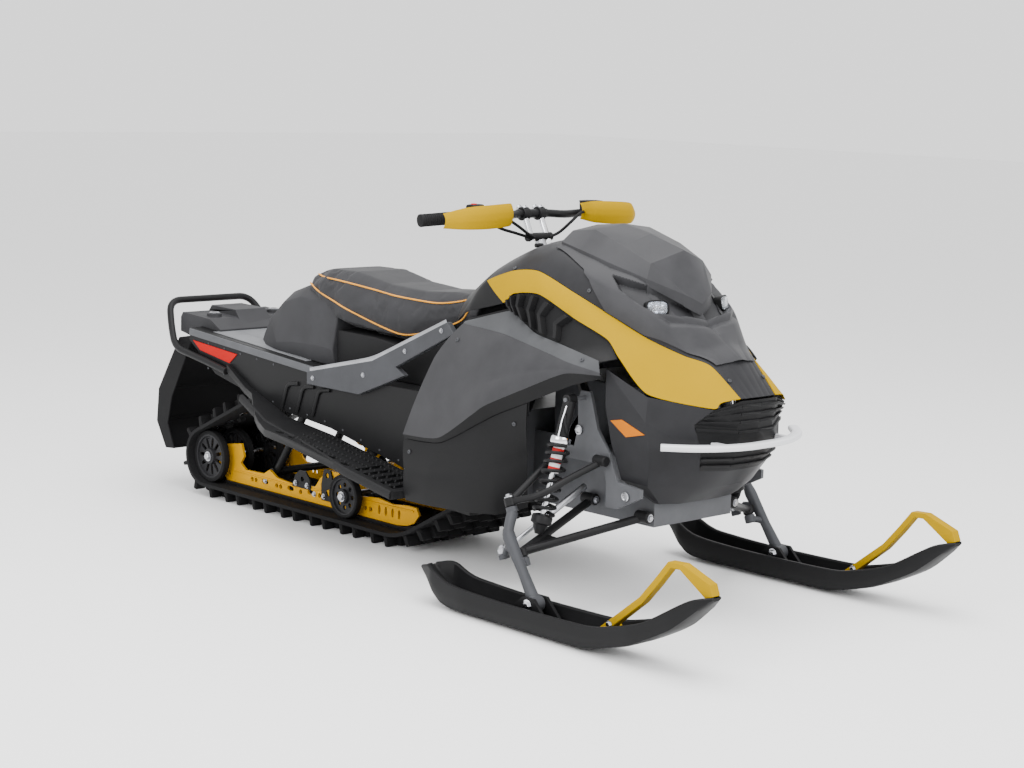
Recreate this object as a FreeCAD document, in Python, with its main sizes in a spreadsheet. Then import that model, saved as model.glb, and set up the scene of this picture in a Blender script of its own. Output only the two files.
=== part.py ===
"""A trail snowmobile with two skis, a steering bar and a rubber track under a tunnel.

The vehicle faces -Y, its left side is +X and it stands on its ski runners and track lugs at z = 0.
"""
import FreeCAD, Part
import math
import os
import Sketcher

Vector = FreeCAD.Vector

# Driving sizes in millimetres and degrees, kept in the document's sheet
SIZES = {
    # whole vehicle
    "overall_length": 2645,
    "ski_stance": 952,
    "tail_overhang": 200,
    "running_gap": 0.3,
    "cut_overrun": 20,
    # tunnel, boards and rear end
    "tunnel_length": 1500,
    "tunnel_width": 420,
    "tunnel_wall": 3,
    "deck_height": 540,
    "board_width": 155,
    "board_thickness": 22,
    "bumper_tube_radius": 11,
    "bumper_bend_radius": 45,
    "tail_cover_width": 330,
    "tail_cover_length": 215,
    "tail_cover_height": 52,
    "tail_hump_width": 120,
    "lamp_length": 90,
    "lamp_height": 14,
    "lamp_depth": 8,
    "lamp_spacing": 198,
    "flap_width": 392,
    "flap_wall": 5,
    "flap_height": 384,
    "flap_depth": 205,
    "anchor_radius": 10,
    "anchor_depth": 20,
    "anchor_boss_radius": 24,
    "anchor_boss_height": 8,
    "anchor_spacing": 236,
    # seat and tank
    "tank_length": 400,
    "tank_width": 350,
    "tank_height": 245,
    "tank_start": 1067.5,
    "seat_setback": 289.9,
    "seat_length": 730,
    "seat_width": 320,
    "seat_height": 200,
    "seat_base_width": 280,
    "brace_thickness": 20,
    # bodywork
    "body_length": 1000,
    "body_height": 980,
    "body_half_width": 350,
    "panel_wall": 4,
    "fin_rise": 7,
    "slat_rise": 5,
    "lens_size": 34,
    "front_bumper_height": 28,
    "front_bumper_depth": 16,
    # chassis
    "bulkhead_width": 300,
    "bulkhead_length": 450,
    "bulkhead_height": 190,
    "bulkhead_wall": 8,
    "bulkhead_floor": 235,
    "nose_arm_reach": 100,
    "nose_arm_drop": 60,
    "nose_arm_height": 40,
    "tower_spread": 480,
    "tower_thickness": 10,
    "frame_tube_radius": 14,
    "engine_width": 270,
    "engine_length": 320,
    "engine_height": 340,
    # front suspension
    "spindle_axis_spread": 880,
    "lower_ball_height": 165,
    "steer_rake": 21.8,
    "arm_tube_radius": 11,
    "upper_arm_radius": 9,
    "arm_bend_radius": 30,
    "gusset_wall": 5,
    "ball_radius": 15,
    "shock_body_radius": 17,
    "shock_shaft_radius": 8,
    "shock_cap_radius": 27,
    "shock_eye_radius": 14,
    "shock_bolt_radius": 6,
    "spring_radius": 27,
    "spring_wire_radius": 4,
    "spring_turns": 5,
    "spindle_width": 34,
    "foot_radius": 20,
    "pivot_bolt_radius": 7,
    "saddle_wall": 10,
    "tie_rod_radius": 9,
    "tie_eye_radius": 14,
    "tie_eye_height": 16,
    "steer_arm_length": 55,
    # skis
    "ski_length": 980,
    "ski_width": 124,
    "ski_height": 205,
    "ski_floor": 7,
    "ski_rail_wall": 12,
    "ski_pivot_height": 68,
    "ski_pivot_share": 0.597,
    "runner_width": 10,
    "runner_height": 6,
    "loop_bar": 13,
    "loop_width": 26,
    # track and rear suspension
    "track_width": 381,
    "belt_thickness": 12,
    "lug_height": 33,
    "lug_pitch_target": 72,
    "idler_radius": 84,
    "idler_width": 24,
    "idler_setback": 251.5,
    "bogie_radius": 66,
    "bogie_y": 775.5,
    "nose_curve_radius": 260,
    "nose_curve_y": 567.5,
    "sprocket_radius": 72,
    "drive_axle_y": 133.5,
    "drive_axle_height": 330,
    "axle_radius": 12,
    "rail_spacing": 240,
    "rail_thickness": 8,
    "rail_height": 132,
    "shoe_width": 26,
    "shoe_height": 9,
    "shoe_lift": 1,
    # steering
    "post_radius": 15,
    "post_clearance": 8,
    "column_rake": 27,
    "bar_radius": 11,
    "bar_half_width": 391,
    "grip_radius": 17,
    "grip_length": 130,
    "stub_radius": 6,
    "guard_height": 62,
    "guard_wall": 4,
    "nose_reach": 294,
    "tower_reach": 130,
    "tower_length": 305,
    "tower_height": 340,
    "rail_nose_reach": 94,
    "rail_tail_reach": 21,
    "rail_hole_radius": 7,
    "carrier_y": 1017.5,
    "carrier_height": 375,
    "carrier_radius": 50,
    "wheel_spread": 312,
    "inner_wheel_spread": 120,
    "arm_leg_spread": 190,
    "front_arm_y": 417.5,
    "front_arm_height": 290,
    "front_arm_reach": 290,
    "rear_arm_reach": 170,
    "arm_foot_height": 60,
    "damper_radius": 20,
    "sprocket_spread": 190,
    "sprocket_width": 40,
    "shock_bolt_length": 74,
    "shock_offset": 55,
    "shock_eye_width": 30,
    "shock_foot_inset": 55,
    "shock_foot_shift": 8,
    "shock_foot_height": 52,
    "ball_setback": 85,
    "ball_spacing": 155,
    "ball_height": 24,
    "arm_offset": 14,
    "spindle_offset": 30,
    "knee_height": 55,
    "spindle_radius": 14,
    "steer_arm_radius": 9,
    "arm_pad_height": 12,
    "tie_level": 20,
    "tie_offset": 12,
    "tie_end_radius": 6,
    "tie_inner_reach": 50,
    "loop_pin_radius": 5,
    "visor_drop": 150,
    "marker_thickness": 3,
    "bearing_depth": 230,
    "bearing_radius": 28,
    "bearing_height": 60,
    "column_y": 240,
    "column_height": 896,
    "post_depth": 290,
    "riser_start": 20,
    "riser_height": 82,
    "riser_spread": 60,
    "riser_radius": 9,
    "riser_foot_radius": 12,
    "clamp_radius": 18,
    "bar_bend_radius": 60,
}


class Size(float):
    """A number that carries the sheet expression it is worked out from."""

    def __new__(cls, value, text=None):
        number = float.__new__(cls, value)
        number.text = text if text is not None else "%.6g" % value
        return number

    def __add__(self, other):
        return Size(float(self) + float(other), "(%s + %s)" % (self.text, as_text(other)))

    def __radd__(self, other):
        return Size(float(other) + float(self), "(%s + %s)" % (as_text(other), self.text))

    def __sub__(self, other):
        return Size(float(self) - float(other), "(%s - %s)" % (self.text, as_text(other)))

    def __rsub__(self, other):
        return Size(float(other) - float(self), "(%s - %s)" % (as_text(other), self.text))

    def __mul__(self, other):
        return Size(float(self) * float(other), "%s * %s" % (self.text, as_text(other)))

    def __rmul__(self, other):
        return Size(float(other) * float(self), "%s * %s" % (as_text(other), self.text))

    def __truediv__(self, other):
        return Size(float(self) / float(other), "%s / %s" % (self.text, as_text(other)))

    def __neg__(self):
        return Size(-float(self), "(0 - %s)" % self.text)


def as_text(value):
    """Give the expression of a size, or a plain number as text."""
    return value.text if isinstance(value, Size) else "%.6g" % float(value)


class Sheet:
    """The document's sheet, read as attributes that are sizes."""

    def __init__(self, document, sizes):
        self.sheet = document.addObject("Spreadsheet::Sheet", "Sizes")
        self.values = {}
        for row, (alias, value) in enumerate(sizes.items(), start=1):
            self.sheet.set("A%d" % row, alias)
            self.sheet.set("B%d" % row, str(value))
            self.sheet.setAlias("B%d" % row, alias)
            self.values[alias] = Size(value, "Sizes.%s" % alias)

    def __getattr__(self, alias):
        return self.values[alias]


doc = FreeCAD.newDocument("snowmobile")
d = Sheet(doc, SIZES)
doc.recompute()
nodes = {}
HALF = 0.5
SLIVER = 0.001

# Numbers of flat sides of bars, of thicker drums and of wheels
BAR_SIDES = 8
DRUM_SIDES = 12
WHEEL_SIDES = 24
HOLE_SIDES = 6

X_AXIS = Vector(1, 0, 0)
Y_AXIS = Vector(0, 1, 0)
Z_AXIS = Vector(0, 0, 1)
ORIGIN = Vector(0, 0, 0)
STEEP_SHARE = 0.9
BEND_SHARE = 0.55


def bind(thing, name, value):
    """Bind a property to the expression of a size, or set a plain number."""
    if isinstance(value, Size):
        thing.setExpression(name, value.text)
    else:
        setattr(thing, name, float(value))


def publish(thing, node):
    """Give an object the label that names its file and keep it for export."""
    thing.Label = node
    nodes[node] = thing
    return thing


def code_part(node, shape):
    """Make a node from a shape worked out in code."""
    part = doc.addObject("Part::Feature", node)
    part.Shape = shape
    return publish(part, node)


def origin_plane(body, role):
    """Find one of a body's own origin planes."""
    return [plane for plane in body.Origin.OriginFeatures if plane.Role == role][0]


def place_sketch(body, name, role, level):
    """Make a sketch on one of the body's planes, moved along its normal to a level."""
    sketch = body.newObject("Sketcher::SketchObject", name)
    sketch.AttachmentSupport = [(origin_plane(body, role), "")]
    sketch.MapMode = "FlatFace"
    if isinstance(level, Size):
        bind(sketch, ".AttachmentOffset.Base.z", level)
    return sketch


def draw_outline(sketch, outline):
    """Draw a closed polygon whose corners are bound to their sizes."""
    first = sketch.GeometryCount
    count = len(outline)
    for index, (across, up) in enumerate(outline):
        end = outline[(index + 1) % count]
        line = Part.LineSegment(Vector(across, up, 0), Vector(end[0], end[1], 0))
        sketch.addGeometry(line, False)
    for index in range(count):
        following = first + (index + 1) % count
        sketch.addConstraint(Sketcher.Constraint("Coincident", first + index, 2, following, 1))
    for index, (across, up) in enumerate(outline):
        for kind, value in (("DistanceX", across), ("DistanceY", up)):
            rule = Sketcher.Constraint(kind, -1, 1, first + index, 1, float(value))
            number = sketch.addConstraint(rule)
            if isinstance(value, Size):
                sketch.setExpression("Constraints[%d]" % number, value.text)


def padded_body(name, role, outline, low, high, cuts=()):
    """Pad an outline between two levels, then cut further outlines through it."""
    body = doc.addObject("PartDesign::Body", name)
    sketch = place_sketch(body, name + "_outline", role, low)
    draw_outline(sketch, outline)
    pad = body.newObject("PartDesign::Pad", name + "_pad")
    pad.Profile = sketch
    bind(pad, "Length", high - low)
    if cuts:
        opening = place_sketch(body, name + "_holes", role, low)
        for cut in cuts:
            draw_outline(opening, cut)
        pocket = body.newObject("PartDesign::Pocket", name + "_pocket")
        pocket.Profile = opening
        pocket.Type = "ThroughAll"
        pocket.Midplane = True
    doc.recompute()
    return body


def with_mirror(node, source):
    """Join a right-hand object and its left-hand mirror in one node."""
    mirror = doc.addObject("Part::Mirroring", node + "_left")
    mirror.Source = source
    mirror.Base = ORIGIN
    mirror.Normal = X_AXIS
    pair = doc.addObject("Part::Compound", node + "_pair")
    pair.Links = [source, mirror]
    return publish(pair, node)


def mirrored(shape):
    """Give the left-hand copy of a right-hand shape."""
    return shape.mirror(ORIGIN, X_AXIS)


def pair_part(node, shape):
    """Make one node of a right-hand shape and its mirror, which don't touch."""
    return code_part(node, Part.makeCompound([shape, mirrored(shape)]))


def place_shares(shares, start, size, base, height):
    """Turn an outline given in shares into one given in sizes."""
    return [(start + along * size, base + up * height) for along, up in shares]


def polygon_face(points):
    """Make a flat face from a list of corner points."""
    return Part.Face(Part.makePolygon(list(points) + [points[0]]))


def prism(outline, low, high, axis=X_AXIS):
    """Extrude a side-view outline of (y, z) pairs from one x to another."""
    corners = [Vector(low, along, up) for along, up in outline]
    return polygon_face(corners).extrude(axis * float(high - low))


def plan_prism(outline, low, high):
    """Extrude a plan-view outline of (x, y) pairs from one height to another."""
    corners = [Vector(across, along, low) for across, along in outline]
    return polygon_face(corners).extrude(Z_AXIS * float(high - low))


def across_axes(run):
    """Give two directions across a run, which is never upright and level at once."""
    other = Z_AXIS if abs(run.z) < STEEP_SHARE * run.Length else X_AXIS
    side = run.cross(other).normalize()
    return side, side.cross(run).normalize()


def ring_points(centre, run, radius, sides):
    """Place the corners of an even ring round a point, square to a run."""
    side, ahead = across_axes(run)
    turns = [math.tau * corner / sides for corner in range(sides)]
    return [centre + (side * math.cos(turn) + ahead * math.sin(turn)) * float(radius) for turn in turns]


def rod(start, end, radius, sides=BAR_SIDES):
    """Make a bar of many flat sides between two points."""
    run = end - start
    return polygon_face(ring_points(start, run, radius, sides)).extrude(run)


def round_bar(start, end, radius):
    """Make a true round bar between two points, for what turns in a bore."""
    run = end - start
    return Part.makeCylinder(float(radius), run.Length, start, run)


def block(low, high):
    """Make a box between two corners."""
    span = high - low
    return Part.makeBox(span.x, span.y, span.z, low)


def bent_path(points, bend):
    """Ease the corners of a path, each by three points near an arc of the bend's radius."""
    path = [points[0]]
    for before, corner, after in zip(points, points[1:], points[2:]):
        back = before - corner
        ahead = after - corner
        turn = math.pi - back.getAngle(ahead)
        reach = min(float(bend) * math.tan(turn * HALF), HALF * min(back.Length, ahead.Length))
        first = corner + back.normalize() * reach
        last = corner + ahead.normalize() * reach
        middle = corner + ((first + last) * HALF - corner) * BEND_SHARE
        if (first - path[-1]).Length < float(d.running_gap):
            path.pop()
        path += [first, middle, last]
    return path + [points[-1]]


def tube(points, radius, bend, sides=BAR_SIDES):
    """Bend a bar of flat sides along a path, mitred at each of its corners."""
    path = bent_path(points, bend)
    runs = [(after - before).normalize() for before, after in zip(path, path[1:])]
    rings = [ring_points(path[0], runs[0], radius, sides)]
    for place, run, following in zip(path[1:], runs, runs[1:] + runs[-1:]):
        mitre = run + following
        rings.append([corner + run * ((place - corner).dot(mitre) / run.dot(mitre)) for corner in rings[-1]])
    return ring_solid(rings)


def ring_solid(rings):
    """Close a row of rings, each with the same number of corners, into a solid."""
    triangles = []
    for first, second in zip(rings, rings[1:]):
        triangles += strip_quads(first + first[:1], second + second[:1])
    return facet_solid(triangles + fan(rings[0]) + turned(fan(rings[-1])))


def fan(ring):
    """Split a flat ring of corners into triangles round its first corner."""
    return [(ring[0], third, second) for second, third in zip(ring[1:], ring[2:])]


def facet_solid(triangles):
    """Close a set of evenly turned triangles into a solid that points outwards."""
    solid = Part.Solid(Part.Shell([polygon_face(corners) for corners in triangles]))
    if solid.Volume < 0:
        solid = Part.Solid(Part.Shell([polygon_face(corners) for corners in turned(triangles)]))
    return solid


def strip_quads(first, second):
    """Split the band between two lines of points into triangles."""
    result = []
    for index in range(len(first) - 1):
        a, b = first[index], first[index + 1]
        c, e = second[index + 1], second[index]
        result.append((a, b, c))
        result.append((a, c, e))
    return [t for t in result if (t[1] - t[0]).cross(t[2] - t[0]).Length > SLIVER]


def turned(triangles):
    """Turn triangles to face the other way."""
    return [corners[::-1] for corners in triangles]


class Skin:
    """A panel surface given by feature lines, with a wall of one thickness behind it."""

    def __init__(self, lines, wall, centred=False):
        self.outer = lines
        self.wall = float(wall)
        self.centred = centred
        self.inner = [
            [self.inside(row, column) for column in range(len(lines[0]))] for row in range(len(lines))
        ]

    def inside(self, row, column):
        """Step in from a surface point along the mean of the normals round it."""
        lines = self.outer
        total = Vector(0, 0, 0)
        here = lines[row][column]
        for step_row, step_column in ((1, 1), (1, -1), (-1, -1), (-1, 1)):
            other_row, other_column = row + step_row, column + step_column
            if 0 <= other_row < len(lines) and 0 <= other_column < len(lines[0]):
                down = lines[other_row][column] - here
                along = lines[row][other_column] - here
                normal = down.cross(along) * (step_row * step_column)
                if normal.Length > 0:
                    total = total + normal.normalize()
        if self.centred and row == 0:
            total.x = 0
        if total.Length > 0:
            total.normalize()
        return here - total * self.wall

    def patch(self, rows=None, columns=None):
        """Close the part of the surface between two lines and two stations."""
        first_row, last_row = rows or (0, len(self.outer) - 1)
        first, last = columns or (0, len(self.outer[0]) - 1)
        outer = [line[first:last + 1] for line in self.outer[first_row:last_row + 1]]
        inner = [line[first:last + 1] for line in self.inner[first_row:last_row + 1]]
        triangles = []
        for upper, lower in zip(outer, outer[1:]):
            triangles += strip_quads(upper, lower)
        for upper, lower in zip(inner, inner[1:]):
            triangles += turned(strip_quads(upper, lower))
        starts = [line[0] for line in outer], [line[0] for line in inner]
        ends = [line[-1] for line in outer], [line[-1] for line in inner]
        triangles += turned(strip_quads(outer[0], inner[0]))
        triangles += strip_quads(outer[-1], inner[-1])
        triangles += strip_quads(*starts)
        triangles += turned(strip_quads(*ends))
        return facet_solid(triangles)


def filled(lines, drop):
    """Close the room below a surface down to the same surface lowered by a drop."""
    lowered = [[point - Z_AXIS * float(drop) for point in line] for line in lines]
    triangles = []
    for upper, lower in zip(lines, lines[1:]):
        triangles += strip_quads(upper, lower)
    for upper, lower in zip(lowered, lowered[1:]):
        triangles += turned(strip_quads(upper, lower))
    triangles += strip_quads(lowered[0], lines[0])
    triangles += strip_quads(lines[-1], lowered[-1])
    triangles += strip_quads([line[0] for line in lines], [line[0] for line in lowered])
    triangles += strip_quads([line[-1] for line in lowered], [line[-1] for line in lines])
    return facet_solid(triangles)


def body_line(shares):
    """Place a feature line of the bodywork on the right-hand side."""
    return [
        Vector(
            -across * d.body_half_width,
            body_front + along * d.body_length,
            up * d.body_height,
        )
        for across, along, up in shares
    ]


def both_sides(half):
    """Join a right-hand solid that ends on the centre plane to its mirror."""
    return half.fuse(mirrored(half))


def hood_room():
    """Fill the room under the hood's outer surface."""
    lines = [body_line(shares) for shares in BODY_SHARES[:YELLOW_LINE + 1]]
    return both_sides(filled(lines, d.visor_drop * 2))


# Stations that place the groups along the vehicle
front = -d.overall_length * HALF
rear = d.overall_length * HALF
tunnel_rear = rear - d.tail_overhang
tunnel_front = tunnel_rear - d.tunnel_length
half_tunnel = d.tunnel_width * HALF
pivot_y = front + d.ski_length * d.ski_pivot_share
body_front = pivot_y - d.nose_reach
tower_front = pivot_y - d.tower_reach
idler_y = rear - d.idler_setback
belt_base = d.lug_height + d.belt_thickness
ski_x = -d.ski_stance * HALF
tank_y = tunnel_front + d.tank_start
drive_axle_y = tunnel_front + d.drive_axle_y
nose_curve_y = tunnel_front + d.nose_curve_y
bogie_y = tunnel_front + d.bogie_y
carrier_y = tunnel_front + d.carrier_y
front_arm_y = tunnel_front + d.front_arm_y
rail_front = nose_curve_y - d.rail_nose_reach
rail_length = idler_y + d.rail_tail_reach - rail_front
rail_base = belt_base + d.shoe_lift + d.shoe_height

# Side-view outline of the tunnel, the points of its top first
TUNNEL_TOP_COUNT = 3
TUNNEL_SHARES = [
    (1, 1), (0.472, 0.889), (0, 0.889), (0, 0.398), (0.212, 0.398), (0.312, 0.472), (0.524, 0.591),
    (0.702, 0.637), (0.906, 0.757), (1, 0.926),
]
BOARD_SHARES = [
    (0.052, 0.396), (0.218, 0.415), (0.518, 0.559), (0.652, 0.6), (0.785, 0.726), (0.855, 0.832),
]
BOARD_EDGE_SHARES = [(0.85, 0.76), (0.35, 0.68), (0, 0.6), (0, 0.215), (0.42, 0.21), (0.42, 0)]
BOARD_HOLE_SHARES = [(0.15, along) for along in (0.37, 0.41, 0.45, 0.49, 0.53, 0.57)]
HOLE_OUTLINE_SHARES = [(-0.06, -0.006), (0, -0.012), (0.06, -0.006), (0.06, 0.006), (0, 0.012), (-0.06, 0.006)]
BOARD_SLOT_SHARES = [(0.48, along) for along in (0.235, 0.26, 0.285, 0.31, 0.335)]
SLOT_OUTLINE_SHARES = [(-0.34, -0.006), (0.34, -0.006), (0.34, 0.006), (-0.34, 0.006)]
BUMPER_SHARES = [
    (0, 0.858, 0.79), (0, 0.94, 0.83), (0, 1.04, 0.87), (0.2, 1.085, 0.97), (0.4, 1.123, 1.12),
]
TAIL_SET_SHARE = 0.47
TAIL_SHARES = [(0, 0), (0.25, 0.55), (0.95, 0.7), (1, 0.4), (1, -0.5), (0.6, -0.8), (0, -0.6)]
HUMP_SHARES = [(0.1, 0), (0.3, 1), (0.9, 1.05), (0.99, 0.6), (0.99, -0.3), (0.1, -0.5)]
LAMP_LEVEL_SHARE = 0.1
ANCHOR_SET_SHARE = 0.02
ANCHOR_LEVEL_SHARE = 0.25
FLAP_TOP_SHARE = 0.9522
FLAP_SHARES = [
    (0.024, 1), (0.402, 0.963), (0.954, 0.492), (1, 0.213), (0.749, 0), (0.524, 0.01), (0.705, 0.213),
    (0.598, 0.442),
]
FLAP_SKEW_SHARES = [0, 1, 0.4, 0, -0.6, -0.6, 0, 0]

# Mouldings: half-width share and height share from the bottom up to the centre
MOULD_SECTION_SHARES = [(0.92, 0), (1, 0.35), (0.86, 0.86), (0.6, 1)]
TANK_BASE_SHARE = 0.85
TANK_SHARES = [
    (-0.05, -0.016, 0.984, 0.9), (0.075, -0.016, 1.073, 0.98), (0.375, -0.016, 1.057, 1),
    (0.575, -0.016, 0.943, 1), (0.775, -0.016, 0.678, 0.9), (0.925, -0.016, 0.412, 0.75),
]
SEAT_SHARES = [
    (0.002, 0.75, 0.975, 0.55), (0.175, 0.5, 1.01, 0.7), (0.332, 0.3, 0.97, 0.85),
    (0.531, 0.33, 1.01, 0.95), (0.723, 0.4, 1.13, 1), (0.887, 0.55, 1.125, 0.98),
    (0.997, 0.75, 1.06, 0.8),
]

# Belt: band edges across the track, and lug places along a pitch with their heights
BAND_EDGE_SHARES = [0, 0.32, 0.68, 1]
LUG_SHARES = [(0.33, 0), (0.38, 1), (0.58, 1), (0.66, 0)]
RAIL_SHARES = [
    (0.996, 0.346), (1, 0.649), (0.968, 0.786), (0.941, 0.877), (0.866, 0.967), (0.852, 0.664),
    (0.869, 0.483), (0.842, 0.354), (0.747, 0.377), (0.718, 0.505), (0.679, 0.354), (0.611, 0.316),
    (0.489, 0.377), (0.465, 0.611), (0.426, 0.839), (0.376, 0.839), (0.345, 0.573), (0.325, 0.437),
    (0.267, 0.437), (0.191, 0.498), (0.123, 0.437), (0.064, 0.49), (0.02, 0.49), (0.008, 0.331),
    (0.028, 0.134), (0.059, 0.043), (0.104, 0), (0.938, 0),
]
RAIL_HOLE_SHARES = [
    (0.807, 0.18), (0.787, 0.18), (0.466, 0.18), (0.436, 0.18), (0.406, 0.18), (0.225, 0.225),
    (0.175, 0.225), (0.145, 0.225), (0.114, 0.225), (0.411, 0.649),
]
SHOE_END_SHARE = 0.94
SHOE_TURN_DEGREES = [0, 7, 14, 20]
HUB_SHARE = 1.2
WEB_SHARE = 0.3
HUB_RADIUS_SHARE = 0.3
RIM_SHARE = 0.82
DAMPER_SPLIT_SHARE = 0.6

# Shock tower plate seen from the side, and the places it gives to the arms, eye and rod
TOWER_SHARES = [
    (0.746, 0.991), (0.641, 0.991), (0.608, 0.912), (0.542, 0.721), (0.391, 0.544), (0.293, 0.356),
    (0.024, 0.332), (0.024, 0.265), (0.293, 0.147), (0.418, 0.147), (0.418, 0.338), (0.467, 0.462),
    (1.001, 0.462), (1.001, 0.559), (0.805, 0.559), (0.765, 0.721), (0.778, 0.912),
]
SHELF_SHARES = (0.39, 0.99)
EYE_SHARES = (0.693, 0.941)
LOWER_ARM_SHARES = [(0.2, 0.14), (0.83, 0.22)]
GUSSET_SHARE = 0.3
UPPER_FRONT_SHARES = [(0.85, 0.614, 0.265), (0.45, 0.532, 0.385), (0, 0.44, 0.5)]
UPPER_REAR_SHARES = [(0.42, 0.857, 0.43), (0, 0.949, 0.48)]
SHOCK_SHARES = (0.28, 0.33, 0.86, 0.93)
SPRING_GAP_SHARE = 0.001
SPRING_STEPS = 8
SPRING_SIDES = 4
WEB_JOIN_SHARE = 0.45
WEB_RADIUS_SHARE = 0.8
ARM_JOIN_SHARE = 0.2
TIE_SHARES = (0.82, 0.23)
TIE_SPLIT_SHARE = 0.42

# Ski: top rail and keel from tip to tail, half-widths, saddle and loop
SKI_TOP_SHARES = [
    (0, 1), (0.054, 0.927), (0.178, 0.576), (0.288, 0.41), (0.379, 0.341), (0.669, 0.327), (0.87, 0.371),
    (0.952, 0.507), (1, 0.468),
]
SKI_KEEL_SHARES = [
    (0.005, 0.951), (0.106, 0.527), (0.234, 0.22), (0.364, 0.049), (0.431, 0.029), (0.86, 0.029),
    (0.931, 0.137), (1, 0.41),
]
SKI_PLAN_SHARES = [(0.25, 0), (0.6, 0.03), (0.85, 0.1), (1, 0.22), (1, 0.82), (0.85, 0.94), (0.5, 1)]
SADDLE_SHARES = [(0.513, 0.049), (0.577, 0.454), (0.618, 0.454), (0.686, 0.049)]
LOOP_SHARES = [
    (0.358, 0.302), (0.232, 0.78), (0.186, 1.034), (0.145, 1.278), (0.099, 1.288), (0.011, 1.132),
    (0.001, 1.005), (0.023, 0.956), (0.107, 1.215), (0.135, 1.21), (0.174, 0.976), (0.222, 0.712),
    (0.344, 0.234),
]
LOOP_PIN_SHARES = (0.344, 0.283)
RUNNER_LEVEL_SHARE = 0.14

# Bodywork feature lines, from the centre line down, each from the console to the nose
BODY_SHARES = [
    [
        (0, 0.973, 0.791), (0, 0.891, 0.839), (0, 0.775, 0.898), (0, 0.676, 0.944), (0, 0.561, 0.959),
        (0, 0.431, 0.934), (0, 0.281, 0.867), (0, 0.181, 0.76), (0, 0.126, 0.714), (0, 0.079, 0.681),
        (0, 0.001, 0.596),
    ],
    [
        (0.229, 0.967, 0.784), (0.257, 0.881, 0.832), (0.257, 0.773, 0.892), (0.286, 0.673, 0.937),
        (0.286, 0.561, 0.954), (0.343, 0.431, 0.923), (0.371, 0.291, 0.865), (0.257, 0.186, 0.781),
        (0.171, 0.131, 0.712), (0.1, 0.081, 0.68), (0.063, 0.002, 0.596),
    ],
    [
        (0.371, 0.951, 0.76), (0.429, 0.861, 0.821), (0.457, 0.769, 0.876), (0.5, 0.666, 0.913),
        (0.486, 0.562, 0.933), (0.543, 0.444, 0.886), (0.529, 0.341, 0.842), (0.434, 0.231, 0.784),
        (0.3, 0.146, 0.706), (0.171, 0.086, 0.677), (0.129, 0.003, 0.596),
    ],
    [
        (0.514, 0.931, 0.704), (0.657, 0.816, 0.786), (0.671, 0.758, 0.836), (0.663, 0.66, 0.872),
        (0.646, 0.571, 0.878), (0.614, 0.449, 0.831), (0.549, 0.337, 0.78), (0.457, 0.235, 0.729),
        (0.343, 0.152, 0.694), (0.243, 0.093, 0.672), (0.189, 0.005, 0.596),
    ],
    [
        (0.714, 0.806, 0.75), (0.714, 0.806, 0.75), (0.749, 0.664, 0.786), (0.737, 0.63, 0.813),
        (0.72, 0.542, 0.819), (0.703, 0.415, 0.767), (0.686, 0.307, 0.726), (0.7, 0.258, 0.682),
        (0.651, 0.172, 0.6), (0.4, 0.036, 0.574), (0.357, 0.023, 0.588),
    ],
    [
        (0.729, 0.817, 0.721), (0.729, 0.817, 0.721), (0.749, 0.635, 0.769), (0.766, 0.595, 0.753),
        (0.789, 0.525, 0.721), (0.8, 0.435, 0.705), (0.806, 0.381, 0.695), (0.823, 0.286, 0.678),
        (0.823, 0.286, 0.678), (0.823, 0.286, 0.678), (0.823, 0.286, 0.678),
    ],
    [
        (0.749, 0.819, 0.714), (0.749, 0.819, 0.714), (0.829, 0.641, 0.709), (0.846, 0.581, 0.701),
        (0.86, 0.511, 0.689), (0.874, 0.441, 0.677), (0.886, 0.371, 0.664), (0.863, 0.266, 0.649),
        (0.863, 0.266, 0.649), (0.863, 0.266, 0.649), (0.863, 0.266, 0.649),
    ],
    [
        (0.857, 0.891, 0.612), (0.857, 0.891, 0.612), (0.929, 0.741, 0.571), (0.951, 0.651, 0.582),
        (0.949, 0.561, 0.612), (0.929, 0.471, 0.633), (0.903, 0.376, 0.646), (0.866, 0.263, 0.645),
        (0.866, 0.263, 0.645), (0.866, 0.263, 0.645), (0.866, 0.263, 0.645),
    ],
    [
        (0.957, 0.972, 0.39), (0.957, 0.972, 0.39), (0.986, 0.817, 0.404), (1, 0.684, 0.486),
        (1, 0.631, 0.52), (0.966, 0.501, 0.58), (0.909, 0.376, 0.635), (0.863, 0.26, 0.642),
        (0.863, 0.26, 0.642), (0.863, 0.26, 0.642), (0.863, 0.26, 0.642),
    ],
    [
        (0.943, 0.971, 0.378), (0.943, 0.971, 0.378), (0.966, 0.815, 0.39), (0.943, 0.671, 0.464),
        (0.931, 0.613, 0.495), (0.914, 0.501, 0.543), (0.871, 0.361, 0.604), (0.84, 0.261, 0.635),
        (0.84, 0.261, 0.635), (0.84, 0.261, 0.635), (0.84, 0.261, 0.635),
    ],
    [
        (0.966, 0.961, 0.296), (0.966, 0.961, 0.296), (0.98, 0.851, 0.296), (0.949, 0.711, 0.321),
        (0.909, 0.621, 0.352), (0.814, 0.531, 0.393), (0.814, 0.531, 0.393), (0.814, 0.531, 0.393),
        (0.814, 0.531, 0.393), (0.814, 0.531, 0.393), (0.814, 0.531, 0.393),
    ],
    [
        (0.949, 0.957, 0.204), (0.949, 0.957, 0.204), (0.949, 0.881, 0.204), (0.914, 0.747, 0.207),
        (0.843, 0.631, 0.216), (0.686, 0.569, 0.24), (0.686, 0.569, 0.24), (0.686, 0.569, 0.24),
        (0.686, 0.569, 0.24), (0.686, 0.569, 0.24), (0.686, 0.569, 0.24),
    ],
]
BODY_LINE_NAMES = [
    "centre", "crown", "cowl", "yellow top", "vent top", "side top", "side crease", "side upper fold",
    "side lower fold", "lower top", "lower fold", "foot",
]
YELLOW_LINE = BODY_LINE_NAMES.index("yellow top")
VENT_LINE = BODY_LINE_NAMES.index("vent top")
SIDE_LINE = BODY_LINE_NAMES.index("side top")
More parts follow.
